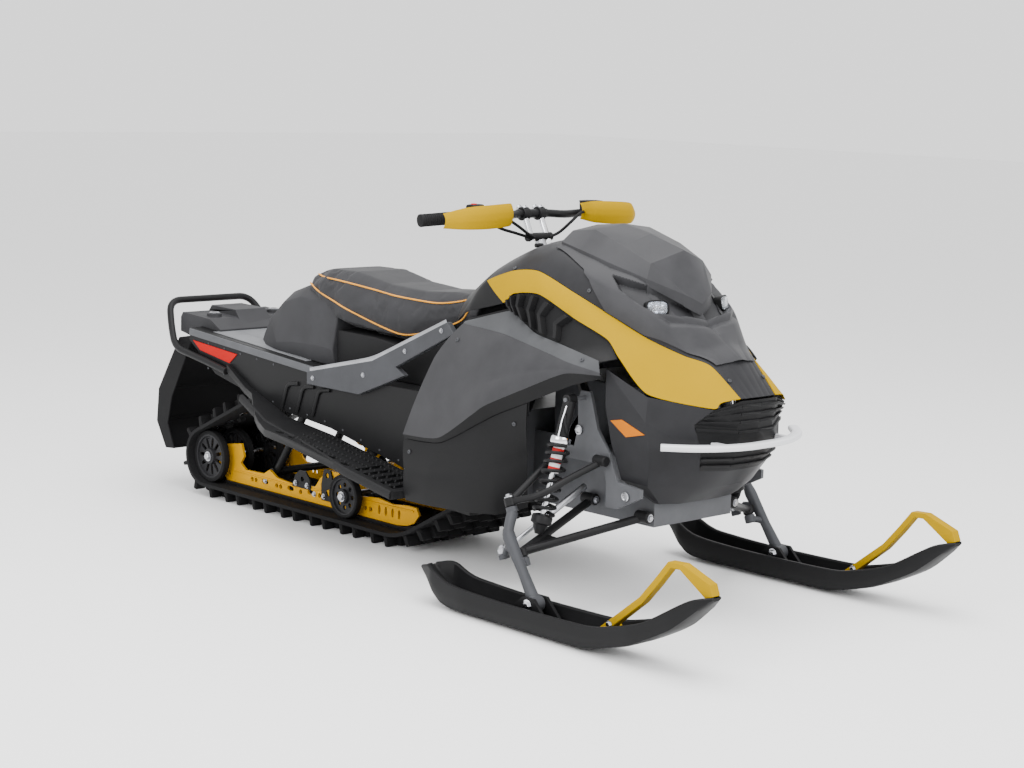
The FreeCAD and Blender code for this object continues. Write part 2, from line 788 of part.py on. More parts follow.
LOWER_LINE = BODY_LINE_NAMES.index("lower top")
STATION_NAMES = [
    "console rear", "knee", "column", "hood rear", "vent rear", "vent middle", "shock", "vent front",
    "lamp", "chin", "nose",
]
HOOD_STATION = STATION_NAMES.index("column")
SIDE_STATIONS = (STATION_NAMES.index("knee"), STATION_NAMES.index("vent front"))
LOWER_STATIONS = (STATION_NAMES.index("knee"), STATION_NAMES.index("vent middle"))

NOSE_SHARES = [
    [
        (0.726, 0.293, 0.653), (0.657, 0.17, 0.594), (0.391, 0.031, 0.571), (0.189, 0.002, 0.592),
        (0, -0.002, 0.592),
    ],
    [
        (0.734, 0.289, 0.559), (0.694, 0.163, 0.531), (0.471, 0.069, 0.531), (0.189, 0.011, 0.522),
        (0, 0.003, 0.522),
    ],
    [
        (0.686, 0.28, 0.461), (0.663, 0.159, 0.465), (0.429, 0.056, 0.461), (0.189, 0.016, 0.461),
        (0, 0.011, 0.461),
    ],
    [
        (0.663, 0.269, 0.418), (0.634, 0.166, 0.413), (0.371, 0.076, 0.408), (0.171, 0.046, 0.406),
        (0, 0.041, 0.406),
    ],
    [
        (0.643, 0.254, 0.367), (0.586, 0.181, 0.359), (0.314, 0.106, 0.355), (0.143, 0.091, 0.355),
        (0, 0.086, 0.355),
    ],
    [
        (0.457, 0.196, 0.306), (0.429, 0.186, 0.304), (0.286, 0.169, 0.302), (0.143, 0.165, 0.302),
        (0, 0.163, 0.302),
    ],
]
NOSE_LINE_NAMES = ["hood edge", "brow", "bar top", "bar foot", "chin", "floor"]
UPPER_GRILLE_LINE = NOSE_LINE_NAMES.index("bar top")
LOWER_GRILLE_LINE = NOSE_LINE_NAMES.index("bar foot")
NOSE_STATION_NAMES = ["side", "corner", "grille side", "grille", "middle"]
GRILLE_STATION = NOSE_STATION_NAMES.index("grille side")

# Vent fins by the station behind them, their levels and bend; slats of each nose band
VENT_FIN_SHARES = {"hood rear": (0.3, 0.75), "vent rear": (0.25, 0.7), "vent middle": (0.3,)}
FIN_LEVEL_SHARES = (0.12, 0.5, 0.88)
FIN_WIDTH_SHARE = 0.06
FIN_BEND_SHARE = -0.12
SLAT_SHARES = [(0.12, 0.42, 0.72), (0.1,), (0.3, 0.65)]
SLAT_HEIGHT_SHARE = 0.12
VISOR_SHARES = [
    [(0, 0.586, 0.995), (0, 0.486, 1.005), (0, 0.391, 0.985), (0, 0.273, 0.951), (0, 0.203, 0.816)],
    [
        (0.286, 0.579, 0.982), (0.3, 0.491, 0.992), (0.314, 0.385, 0.957), (0.286, 0.296, 0.918),
        (0.086, 0.211, 0.832),
    ],
    [
        (0.429, 0.569, 0.955), (0.443, 0.491, 0.939), (0.434, 0.391, 0.913), (0.357, 0.286, 0.88),
        (0.149, 0.219, 0.842),
    ],
]
FRONT_BUMPER_SHARES = [(0, -0.037), (0.257, -0.032), (0.586, 0.023), (0.76, 0.091)]
FRONT_BUMPER_BACK_SHARES = [(0, -0.021), (0.246, -0.016), (0.549, 0.035), (0.714, 0.099)]
BUMPER_LEVEL_SHARE = 0.465
BUMPER_STUB_SHARES = (0.36, 0)
AMBER_SHARES = [(0.1, 0.36), (0.4, 0.22), (0.95, 0.5), (0.45, 0.74)]
LAMP_SHARES = (0.4, 0.225, 0.816)
REFLECTOR_SHARES = [(0.985, 0.93), (0.83, 0.896), (0.856, 0.837), (0.959, 0.88)]

# Steering: handlebar centre line, guard outline
BAR_SHARES = [(1, 0.06, -0.03), (0.52, -0.035, 0), (0.28, -0.045, -0.01), (0.15, 0, 0)]
GUARD_SHARES = [
    (0.93, -0.1, -0.02), (0.8, -0.19, 0), (0.62, -0.23, 0.01), (0.42, -0.21, 0.02), (0.36, -0.12, 0.02),
]
GUARD_LEVEL_SHARES = [(0.45, 0), (0, 0.15), (-0.5, 0.05)]
RISER_REACH_SHARE = 0.75
GUARD_STUB_SHARES = (0.62, -0.235, 0.01)

LAMP_AIM_SHARES = (0.35, 1, 0.25)
BRACE_SHARES = [
    (0.585, 0.815), (0.585, 0.885), (0.389, 1.009), (0.178, 1.278), (0.158, 1.222), (0.318, 1), (0.292, 0.963),
    (0.425, 0.815),
]
SEAT_BASE_SHARES = [
    (0.565, 0.87), (0.565, 1.111), (0.452, 1.104), (0.358, 1.074), (0.292, 1.093), (0.232, 1.167),
    (0.192, 1.222), (0.165, 1.185), (0.165, 0.87),
]

# Rear frame: tunnel, running boards, bumper, tail cover, lamps and flap


def hollow_body(name, outline, width, inner, inner_width):
    """Pad a side-view outline to a width, then cut an inner outline to a smaller width."""
    body = doc.addObject("PartDesign::Body", name)
    sketch = place_sketch(body, name + "_outline", "YZ_Plane", 0)
    draw_outline(sketch, outline)
    pad = body.newObject("PartDesign::Pad", name + "_pad")
    pad.Profile = sketch
    pad.Midplane = True
    bind(pad, "Length", width)
    hollow = place_sketch(body, name + "_hollow", "YZ_Plane", 0)
    draw_outline(hollow, inner)
    pocket = body.newObject("PartDesign::Pocket", name + "_pocket")
    pocket.Profile = hollow
    pocket.Midplane = True
    bind(pocket, "Length", inner_width)
    doc.recompute()
    return body


def make_tunnel():
    """Build the folded sheet tunnel, open below and at both ends."""
    outline = place_shares(TUNNEL_SHARES, tunnel_front, d.tunnel_length, 0, d.deck_height)
    top_count = TUNNEL_TOP_COUNT
    inner = [(along, up - d.tunnel_wall) for along, up in outline[:top_count]]
    inner += [(along, up - d.cut_overrun) for along, up in outline[top_count:]]
    inner_width = d.tunnel_width - d.tunnel_wall * 2
    body = hollow_body("tunnel", outline, d.tunnel_width, inner, inner_width)
    return publish(body, "tunnel")


def make_running_boards():
    """Build the boards along the foot of the tunnel, narrowing and rising to the rear."""
    upper = place_shares(BOARD_SHARES, tunnel_front, d.tunnel_length, 0, d.deck_height)
    lower = [(along, up - d.board_thickness) for along, up in upper]
    strip = prism(upper + lower[::-1], -half_tunnel - d.board_width, -half_tunnel)
    outer = -half_tunnel - d.board_width
    plan = [(-half_tunnel, tunnel_front), (-half_tunnel, tunnel_rear)]
    plan += [(outer + across * d.board_width, tunnel_front + along * d.tunnel_length)
             for across, along in BOARD_EDGE_SHARES]
    top = d.deck_height + d.cut_overrun
    board = strip.common(plan_prism(plan, 0, top))
    for places, shape in ((BOARD_HOLE_SHARES, HOLE_OUTLINE_SHARES), (BOARD_SLOT_SHARES, SLOT_OUTLINE_SHARES)):
        for across, along in places:
            hole = [
                (outer + (across + wide) * d.board_width, tunnel_front + (along + deep) * d.tunnel_length)
                for wide, deep in shape
            ]
            board = board.cut(plan_prism(hole, 0, top))
    return pair_part("running_boards", board)


def make_rear_bumper():
    """Bend the grab hoop that rises from the tunnel's sides round the tail."""
    side = -half_tunnel - d.bumper_tube_radius - d.running_gap
    right = [
        Vector(side + inset * d.board_width, tunnel_front + along * d.tunnel_length, up * d.deck_height)
        for inset, along, up in BUMPER_SHARES
    ]
    left = [Vector(-p.x, p.y, p.z) for p in right[::-1]]
    hoop = tube(right + left, d.bumper_tube_radius, d.bumper_bend_radius, DRUM_SIDES)
    return code_part("rear_bumper", hoop)


def make_tail_cover():
    """Build the cover on the end of the deck, with a centre hump and two anchor bosses."""
    start = tunnel_rear - d.tail_cover_length * TAIL_SET_SHARE
    base = d.deck_height
    wedge = place_shares(TAIL_SHARES, start, d.tail_cover_length, base, d.tail_cover_height)
    cover = prism(wedge, -d.tail_cover_width * HALF, d.tail_cover_width * HALF)
    hump = place_shares(HUMP_SHARES, start, d.tail_cover_length, base, d.tail_cover_height)
    cover = cover.fuse(prism(hump, -d.tail_hump_width * HALF, d.tail_hump_width * HALF))
    for side in (-1, 1):
        foot = anchor_foot(side)
        bore_foot = foot + Z_AXIS * float(d.anchor_boss_height)
        top = bore_foot + Z_AXIS * float(d.anchor_depth)
        boss = rod(foot, top, d.anchor_boss_radius, DRUM_SIDES)
        bore = round_bar(bore_foot, top + Z_AXIS * float(d.cut_overrun), d.anchor_radius)
        cover = cover.fuse(boss).cut(bore)
    deck = prism(deck_room(), -d.tunnel_width, d.tunnel_width)
    flap = prism(flap_outline(), -half_tunnel, half_tunnel)
    cover = cover.cut(deck)
    for move in (Z_AXIS, Y_AXIS):
        cover = cover.cut(flap.translated(move * float(d.running_gap)))
    cover = max(cover.Solids, key=lambda solid: solid.Volume)
    return code_part("tail_cover", cover.removeSplitter())


def anchor_foot(side):
    """Place the foot of an accessory anchor on the tail cover."""
    along = tunnel_rear - d.tail_cover_length * ANCHOR_SET_SHARE
    up = d.deck_height + d.tail_cover_height * ANCHOR_LEVEL_SHARE
    return Vector(side * d.anchor_spacing * HALF, along, up)


def deck_room():
    """Outline the room under the top of the tunnel."""
    top = TUNNEL_SHARES[:TUNNEL_TOP_COUNT]
    outline = place_shares(top, tunnel_front, d.tunnel_length, 0, d.deck_height)
    rear_point, front_point = outline[0], outline[-1]
    return outline + [(front_point[0], 0), (rear_point[0], 0)]


def make_tail_lamps():
    """Set one red lamp strip each side of the hump on the rear edge of the cover."""
    start = tunnel_rear - d.tail_cover_length * TAIL_SET_SHARE
    back = start + d.tail_cover_length
    level = d.deck_height + d.tail_cover_height * LAMP_LEVEL_SHARE
    low = Vector(-(d.lamp_spacing + d.lamp_length) * HALF, back, level)
    lamp = block(low, low + Vector(d.lamp_length, d.lamp_depth, d.lamp_height))
    return pair_part("tail_lamps", lamp)


def flap_outline():
    """Give the side-view outline of the rear flap and its wings."""
    foot = d.deck_height * FLAP_TOP_SHARE - d.flap_height
    return place_shares(FLAP_SHARES, rear - d.flap_depth, d.flap_depth, foot, d.flap_height)


def make_snow_flap():
    """Build the rear flap, a bent panel with a wing each side, open to the track."""
    outline = flap_outline()
    inner = [
        (along - d.flap_wall, up - d.flap_wall * skew)
        for (along, up), skew in zip(outline, FLAP_SKEW_SHARES)
    ]
    inner_width = d.flap_width - d.flap_wall * 2
    body = hollow_body("snow_flap", outline, d.flap_width, inner, inner_width)
    return publish(body, "snow_flap")


# Seat, tank, seat frame


def side_outline(centre_y, centre_z, radius, sides):
    """Outline an even hole seen from the side, as (y, z) pairs."""
    turns = [math.tau * corner / sides for corner in range(sides)]
    return [(centre_y + radius * math.cos(turn), centre_z + radius * math.sin(turn)) for turn in turns]


def cushion_section(along, low, high, width, base, height):
    """Give one upright cross-section of a moulding, wider below than above."""
    half = width * HALF
    corners = [(share * half, low + (high - low) * level) for share, level in MOULD_SECTION_SHARES]
    right = [Vector(-across, along, base + level * height) for across, level in corners]
    left = [Vector(-p.x, p.y, p.z) for p in right[::-1]]
    return right + left


def make_fuel_tank():
    """Build the tank moulding that stands on the deck behind the seat."""
    sections = []
    for along, low, high, wide in TANK_SHARES:
        place = tank_y + (along - HALF) * d.tank_length
        width = d.tank_width * wide
        base = d.deck_height * TANK_BASE_SHARE
        sections.append(cushion_section(place, low, high, width, base, d.tank_height))
    tank = ring_solid(sections)
    tank = tank.cut(prism(deck_room(), -d.tunnel_width, d.tunnel_width))
    return code_part("fuel_tank", tank)


def make_seat():
    """Build the cushion, cut away where it runs up to the tank and over its front."""
    sections = []
    for along, low, high, wide in SEAT_SHARES:
        place = tunnel_front + d.seat_setback + d.seat_length * along
        width = d.seat_width * wide
        sections.append(cushion_section(place, low, high, width, d.deck_height, d.seat_height))
    seat = ring_solid(sections)
    gap = float(d.running_gap)
    for move in (Y_AXIS * -gap, Z_AXIS * gap):
        seat = seat.cut(nodes["fuel_tank"].Shape.translated(move))
    seat = max(seat.Solids, key=lambda solid: solid.Volume)
    return code_part("seat", seat)


# Track, rails, wheels and suspension arms


def pulley_list():
    """List the wheels the belt runs round, as centre (y, z) and radius, in running order."""
    return [
        (idler_y, belt_base + d.idler_radius, d.idler_radius),
        (nose_curve_y, belt_base + d.nose_curve_radius, d.nose_curve_radius),
        (drive_axle_y, d.drive_axle_height, d.sprocket_radius),
        (carrier_y, d.carrier_height, d.carrier_radius),
    ]


def belt_path():
    """Give the belt's inner path as arcs and straight runs, each with its length."""
    wheels = pulley_list()
    count = len(wheels)
    tangents = []
    for index in range(count):
        (ya, za, ra), (yb, zb, rb) = wheels[index], wheels[(index + 1) % count]
        span = math.hypot(yb - ya, zb - za)
        heading = math.atan2(zb - za, yb - ya)
        lean = math.asin((ra - rb) / span)
        normal = heading + math.pi * HALF - lean
        out = (math.cos(normal), math.sin(normal))
        tangents.append((normal, (ya + ra * out[0], za + ra * out[1]), (yb + rb * out[0], zb + rb * out[1])))
    pieces = []
    for index in range(count):
        normal, start, end = tangents[index]
        pieces.append(("run", start, end, math.hypot(end[0] - start[0], end[1] - start[1]), normal))
        next_normal = tangents[(index + 1) % count][0]
        turn = (normal - next_normal) % (2 * math.pi)
        y, z, radius = wheels[(index + 1) % count]
        pieces.append(("arc", (y, z, radius), normal, turn * radius, turn))
    return pieces


def belt_place(pieces, distance):
    """Give the point and outward direction at a distance along the belt's inner path."""
    for piece in pieces:
        length = piece[3]
        if distance <= length:
            if piece[0] == "run":
                share = distance / length
                y = piece[1][0] + share * (piece[2][0] - piece[1][0])
                z = piece[1][1] + share * (piece[2][1] - piece[1][1])
                return (y, z), (math.cos(piece[4]), math.sin(piece[4]))
            (y, z, radius), start = piece[1], piece[2]
            angle = start - distance / radius
            out = (math.cos(angle), math.sin(angle))
            return (y + radius * out[0], z + radius * out[1]), out
        distance -= length
    return belt_place(pieces, 0)


def belt_pitch(pieces):
    """Give the belt's length, its number of lug places and their pitch."""
    loop = sum(piece[3] for piece in pieces)
    pitches = round(loop / d.lug_pitch_target)
    return loop, pitches, loop / pitches


def inside_belt(radius):
    """Give the radius that clears the belt's straight links on a curve of the given radius."""
    pitch = belt_pitch(belt_path())[2]
    return float(radius) * math.cos(HALF * HALF * pitch / float(radius)) - float(d.running_gap)


def make_track():
    """Build the rubber belt with its cross lugs, one closed loop in three bands."""
    pieces = belt_path()
    loop, pitches, pitch = belt_pitch(pieces)
    print("track loop %.0f mm, %d lugs, pitch %.1f mm" % (loop, pitches, pitch))
    bands = []
    edges = [(share - HALF) * d.track_width for share in BAND_EDGE_SHARES]
    for number, (low, high) in enumerate(zip(edges, edges[1:])):
        shift = pitch * HALF * (number % 2)
        inner, outer = [], []
        for step in range(pitches):
            for place_share, level in LUG_SHARES:
                distance = (step + place_share) * pitch + shift
                (y, z), out = belt_place(pieces, distance % loop)
                depth = d.belt_thickness + level * d.lug_height
                outer.append((y + out[0] * depth, z + out[1] * depth))
        for step in range(pitches * 2):
            (y, z), out = belt_place(pieces, step * pitch * HALF)
            inner.append((y, z))
        bands.append(prism(outer, low, high).cut(prism(inner, low - d.cut_overrun, high + d.cut_overrun)))
    track = bands[0].fuse(bands[1:])
    return code_part("track", track)


def make_rails():
    """Cut the two slide rails from plate, with their axle holes and lightening holes."""
    outline = place_shares(RAIL_SHARES, rail_front, rail_length, rail_base, d.rail_height)
    bore = d.axle_radius + d.running_gap
    idler_z = belt_base + d.idler_radius
    bogie_z = belt_base + d.bogie_radius + d.running_gap
    cuts = [side_outline(idler_y, idler_z, bore, BAR_SIDES), side_outline(bogie_y, bogie_z, bore, BAR_SIDES)]
    for along, up in place_shares(RAIL_HOLE_SHARES, rail_front, rail_length, rail_base, d.rail_height):
        cuts.append(side_outline(along, up, d.rail_hole_radius, HOLE_SIDES))
    low = -(d.rail_spacing + d.rail_thickness) * HALF
    body = padded_body("rail_right", "YZ_Plane", outline, low, low + d.rail_thickness, cuts)
    return with_mirror("rails", body)


def make_slide_shoes():
    """Clip a low-friction strip under each rail, bent up at its nose."""
    lower = [(rail_front + rail_length * SHOE_END_SHARE, belt_base + d.shoe_lift)]
    upper = [(lower[0][0], lower[0][1] + d.shoe_height)]
    radius = d.nose_curve_radius - d.shoe_lift
    for turn in SHOE_TURN_DEGREES:
        angle = math.radians(turn)
        centre_y, centre_z = nose_curve_y, belt_base + d.nose_curve_radius
        lower.append((centre_y - radius * math.sin(angle), centre_z - radius * math.cos(angle)))
        inside = radius - d.shoe_height
        upper.append((centre_y - inside * math.sin(angle), centre_z - inside * math.cos(angle)))
    low = -d.rail_spacing * HALF - d.shoe_width * HALF
    return pair_part("slide_shoes", prism(lower + upper[::-1], low, low + d.shoe_width))


def disc(x, y, z, reach, width, sides=WHEEL_SIDES):
    """Make an upright disc of flat sides whose middle is at a place."""
    half = X_AXIS * float(width * HALF)
    return rod(Vector(x, y, z) - half, Vector(x, y, z) + half, reach, sides)


def wheel(x, y, z, radius, width, bore):
    """Make a wheel with a rubber rim, a thin web and a hub, on an axle's bore."""
    pocket = radius * RIM_SHARE
    rim = disc(x, y, z, radius, width).cut(disc(x, y, z, pocket, width + d.cut_overrun, DRUM_SIDES))
    web = disc(x, y, z, pocket, width * WEB_SHARE, DRUM_SIDES)
    hub = disc(x, y, z, radius * HUB_RADIUS_SHARE, width * HUB_SHARE, BAR_SIDES)
    return rim.fuse([web, hub]).cut(disc(x, y, z, bore, width * HUB_SHARE + d.cut_overrun, BAR_SIDES))


def make_idler_wheels():
    """Turn the rear idlers, the front bogie wheels and the upper carrier wheels."""
    bore = d.axle_radius + d.running_gap
    rear_z = belt_base + d.idler_radius
    bogie_z = belt_base + d.bogie_radius + d.running_gap
    outer = -d.wheel_spread * HALF
    inner = -d.inner_wheel_spread * HALF
    rear_radius = inside_belt(d.idler_radius)
    wheels = [
        wheel(outer, idler_y, rear_z, rear_radius, d.idler_width, bore),
        wheel(inner, idler_y, rear_z, rear_radius, d.idler_width, bore),
        wheel(outer, bogie_y, bogie_z, d.bogie_radius, d.idler_width, bore),
        wheel(inner, carrier_y, d.carrier_height, inside_belt(d.carrier_radius), d.idler_width, bore),
    ]
    return pair_part("idler_wheels", Part.makeCompound(wheels))


def axle(y, z, reach):
    """Lay a shaft across the vehicle."""
    return rod(Vector(-reach, y, z), Vector(reach, y, z), d.axle_radius)


def make_idler_axles():
    """Make the rear idler axle and the bogie axle through the rails."""
    reach = (d.wheel_spread + d.idler_width * HUB_SHARE) * HALF
    rear_axle = axle(idler_y, belt_base + d.idler_radius, reach)
    bogie_axle = axle(bogie_y, belt_base + d.bogie_radius + d.running_gap, reach)
    return code_part("idler_axles", Part.makeCompound([rear_axle, bogie_axle]))


def make_suspension_arms():
    """Build the two arms that swing from the tunnel's sides to the rails."""
    reach = half_tunnel - d.tunnel_wall - d.running_gap
    inside = d.rail_spacing * HALF - d.rail_thickness * HALF - d.running_gap
    arms = []
    for top_y, top_z, foot_y, foot_z in arm_places():
        upper = axle(top_y, top_z, reach)
        lower = axle(foot_y, foot_z, inside)
        legs = []
        for side in (-1, 1):
            offset = Vector(side * d.arm_leg_spread * HALF, 0, 0)
            top = Vector(0, top_y, top_z) + offset
            legs.append(rod(top, Vector(0, foot_y, foot_z) + offset, d.axle_radius))
        arms.append(upper.fuse([lower] + legs))
    return code_part("suspension_arms", Part.makeCompound(arms))


def arm_places():
    """Give the pivots of the front and rear arms, top then foot, as y and z."""
    base = belt_base + d.shoe_height
    foot = base + d.arm_foot_height
    return [
        (front_arm_y, d.front_arm_height, front_arm_y + d.front_arm_reach, foot),
        (carrier_y, d.carrier_height, carrier_y + d.rear_arm_reach, foot),
    ]


def damper(start, end, clearance):
    """Stretch a damper between two cross tubes, ending clear of both."""
    run = end - start
    run.normalize()
    first = start + run * clearance
    last = end - run * clearance
    middle = first + (last - first) * DAMPER_SPLIT_SHARE
    return rod(first, middle, d.damper_radius).fuse(rod(middle, last, d.shock_shaft_radius))


def make_rear_shocks():
    """Stretch two dampers from the front arm's foot to the pivots above, on the centre line."""
    clearance = d.axle_radius + d.running_gap
    (top_y, top_z, foot_y, foot_z), (rear_y, rear_z, _, _) = arm_places()
    front_damper = damper(Vector(0, foot_y, foot_z), Vector(0, top_y, top_z), clearance)
    rear_damper = damper(Vector(0, foot_y, foot_z), Vector(0, rear_y, rear_z), clearance)
    return code_part("rear_shocks", Part.makeCompound([front_damper, rear_damper]))


def make_drive_axle():
    """Make the drive shaft with its two sprockets inside the front bend of the belt."""
    y, z = drive_axle_y, d.drive_axle_height
    shaft = axle(y, z, half_tunnel - d.tunnel_wall - d.running_gap)
    radius = inside_belt(d.sprocket_radius)
    wheels = []
    for side in (-1, 1):
        wheels.append(disc(side * d.sprocket_spread * HALF, y, z, radius, d.sprocket_width))
    return code_part("drive_axle", shaft.fuse(wheels))


# Chassis, engine and front suspension


def make_bulkhead():
    """Weld the front cradle with its rear plate and a shock tower each side."""
    half = d.bulkhead_width * HALF
    wall = d.bulkhead_wall
    back = tunnel_front
    nose = tunnel_front - d.bulkhead_length
    low = d.bulkhead_floor
    top = low + d.bulkhead_height
    tray = block(Vector(-half, nose, low), Vector(half, back, top))
    room_low = Vector(-half + wall, nose + wall, low + wall)
    room = block(room_low, Vector(half - wall, back - wall, top + d.cut_overrun))
    tray = tray.cut(room)
    plate_top = d.deck_height * TUNNEL_SHARES[TUNNEL_TOP_COUNT - 1][1]
    plate = block(Vector(-half_tunnel, back - wall, low), Vector(half_tunnel, back, plate_top))
    tray = tray.fuse(plate)
    outline = place_shares(TOWER_SHARES, tower_front, d.tower_length, low, d.tower_height)
    outer = -d.tower_spread * HALF
    for side in (-1, 1):
        start = side * d.tower_spread * HALF
        tower = prism(outline, start - side * d.tower_thickness, start)
        shelf_low = low + d.bulkhead_height - wall
        inner = side * half
        shelf = block(
            Vector(min(inner, start), tower_front + d.tower_length * SHELF_SHARES[0], shelf_low),
            Vector(max(inner, start), tower_front + d.tower_length * SHELF_SHARES[1], shelf_low + wall),
        )
        bolt_start = Vector(start, shock_top().y, shock_top().z)
        bolt = rod(bolt_start, bolt_start + X_AXIS * float(side * d.shock_bolt_length), d.shock_bolt_radius)
        arm_x = side * d.nose_arm_reach
        arm_top = top - d.nose_arm_drop
        arm_low = Vector(arm_x - d.bulkhead_wall * HALF, body_front, arm_top - d.nose_arm_height)
        arm_high = Vector(arm_x + d.bulkhead_wall * HALF, nose + wall, arm_top)
        tray = tray.fuse([tower, shelf, bolt, block(arm_low, arm_high)])
    tray = tray.cut(nose_wall().translated(Y_AXIS * float(d.running_gap)))
    tray = max(tray.Solids, key=lambda solid: solid.Volume)
    return code_part("bulkhead", tray)


def make_engine():
    """Stand the engine block on the cradle's floor."""
    floor = d.bulkhead_floor + d.bulkhead_wall
    middle = tunnel_front - d.bulkhead_length * HALF
    low = Vector(-d.engine_width * HALF, middle - d.engine_length * HALF, floor)
    size = Vector(d.engine_width, d.engine_length, d.engine_height)
    return code_part("engine", block(low, low + size))


def shock_top():
    """Centre of the shock's upper eye."""
    along, up = EYE_SHARES
    return Vector(
        -d.tower_spread * HALF - d.shock_offset,
        tower_front + d.tower_length * along,
        d.bulkhead_floor + d.tower_height * up,
    )


def steer_axis():
    """Direction of the spindle's steering axis, pointing up."""
    rake = math.radians(d.steer_rake)
    return Vector(0, math.sin(rake), math.cos(rake))


def lower_ball():
    """Centre of the lower ball joint."""
    return Vector(-d.spindle_axis_spread * HALF, pivot_y + d.ball_setback, d.lower_ball_height)


def upper_ball():
    """Centre of the upper ball joint, up the steering axis."""
    return lower_ball() + steer_axis() * float(d.ball_spacing)


def make_lower_arms():
    """Weld each lower arm from two tubes, a gusset and a ball housing."""
    ball = lower_ball()
    joint = ball + steer_axis() * float(d.arm_offset)
    wall = -d.bulkhead_width * HALF - d.running_gap
    inners = [
        Vector(wall, tower_front + d.tower_length * along, d.bulkhead_floor + d.bulkhead_height * up)
        for along, up in LOWER_ARM_SHARES
    ]
    tubes = [rod(joint, inner, d.arm_tube_radius) for inner in inners]
    corners = [joint] + [joint + (inner - joint) * GUSSET_SHARE for inner in inners]
    normal = (corners[1] - joint).cross(corners[2] - joint).normalize()
    plate = polygon_face([corner - normal * float(d.gusset_wall * HALF) for corner in corners])
    arm = tubes[0].fuse([tubes[1], plate.extrude(normal * float(d.gusset_wall))])
    base = ball + steer_axis() * float(d.running_gap)
    housing = rod(base, base + steer_axis() * float(d.ball_height), d.ball_radius, DRUM_SIDES)
    keep = block(Vector(-d.overall_length, -d.overall_length, 0), Vector(wall, d.overall_length, d.deck_height))
    return pair_part("lower_arms", arm.fuse(housing).common(keep).removeSplitter())


def make_upper_arms():
    """Bend each upper arm's two tubes from the ball joint round the shock to the tower."""
    ball, axis = upper_ball(), steer_axis()
    wall = -d.tower_spread * HALF - d.running_gap
    arm = rod(ball - axis * float(d.ball_height), ball, d.ball_radius, DRUM_SIDES)
    for shares in (UPPER_FRONT_SHARES, UPPER_REAR_SHARES):
        points = [ball - axis * float(d.ball_height * HALF)]
        for across, along, up in shares:
            reach = wall + (ball.x - wall) * across
            height = d.bulkhead_floor + d.tower_height * up
            points.append(Vector(reach, tower_front + d.tower_length * along, height))
        arm = arm.fuse(tube(points, d.upper_arm_radius, d.arm_bend_radius))
    far = float(d.overall_length)
    keep = block(Vector(-far, -far, 0), Vector(wall, far, far))
    return pair_part("upper_arms", arm.common(keep).removeSplitter())


def shock_foot():
    """Centre of the shock's lower end above the lower arm."""
    ball = lower_ball()
    top = shock_top()
    return Vector(ball.x + d.shock_foot_inset, top.y + d.shock_foot_shift, ball.z + d.shock_foot_height)


def make_shocks():
    """Build each shock: eye, body, cap, shaft and lower cup."""
    top, foot = shock_top(), shock_foot()
    run = foot - top
    reach = X_AXIS * float(d.shock_eye_width * HALF)
    eye = rod(top - reach, top + reach, d.shock_eye_radius)
    overrun = reach + X_AXIS * float(d.cut_overrun)
    bore = rod(top - overrun, top + overrun, d.shock_bolt_radius + d.running_gap)
    marks = [top + run * share for share in SHOCK_SHARES]
    body = rod(top, marks[0], d.shock_body_radius, DRUM_SIDES)
    cap = rod(marks[0], marks[1], d.shock_cap_radius, DRUM_SIDES)
    shaft = rod(marks[1], foot, d.shock_shaft_radius)
    cup = rod(marks[2], marks[3], d.shock_cap_radius, DRUM_SIDES)
    shock = body.fuse([eye, cap, shaft, cup]).cut(bore)
    return pair_part("shocks", shock.removeSplitter())


def make_springs():
    """Wind a spring of flat-sided wire on each shock between its cap and cup."""
    top, foot = shock_top(), shock_foot()
    run = foot - top
    start = top + run * (SHOCK_SHARES[1] + SPRING_GAP_SHARE)
    end = top + run * (SHOCK_SHARES[2] - SPRING_GAP_SHARE)
    axis = (end - start).normalize()
    start = start + axis * float(d.spring_wire_radius)
    end = end - axis * float(d.spring_wire_radius)
    side, ahead = across_axes(axis)
    steps = int(d.spring_turns * SPRING_STEPS)
    rings = []
    for step in range(steps + 1):
        angle = math.tau * step / SPRING_STEPS
        out = side * math.cos(angle) + ahead * math.sin(angle)
        centre = start + (end - start) * (step / steps) + out * float(d.spring_radius)
        turns = [math.tau * corner / SPRING_SIDES for corner in range(SPRING_SIDES)]
        wire = float(d.spring_wire_radius)
        rings.append([centre + (axis * math.cos(turn) + out * math.sin(turn)) * wire for turn in turns])
    return pair_part("springs", ring_solid(rings))


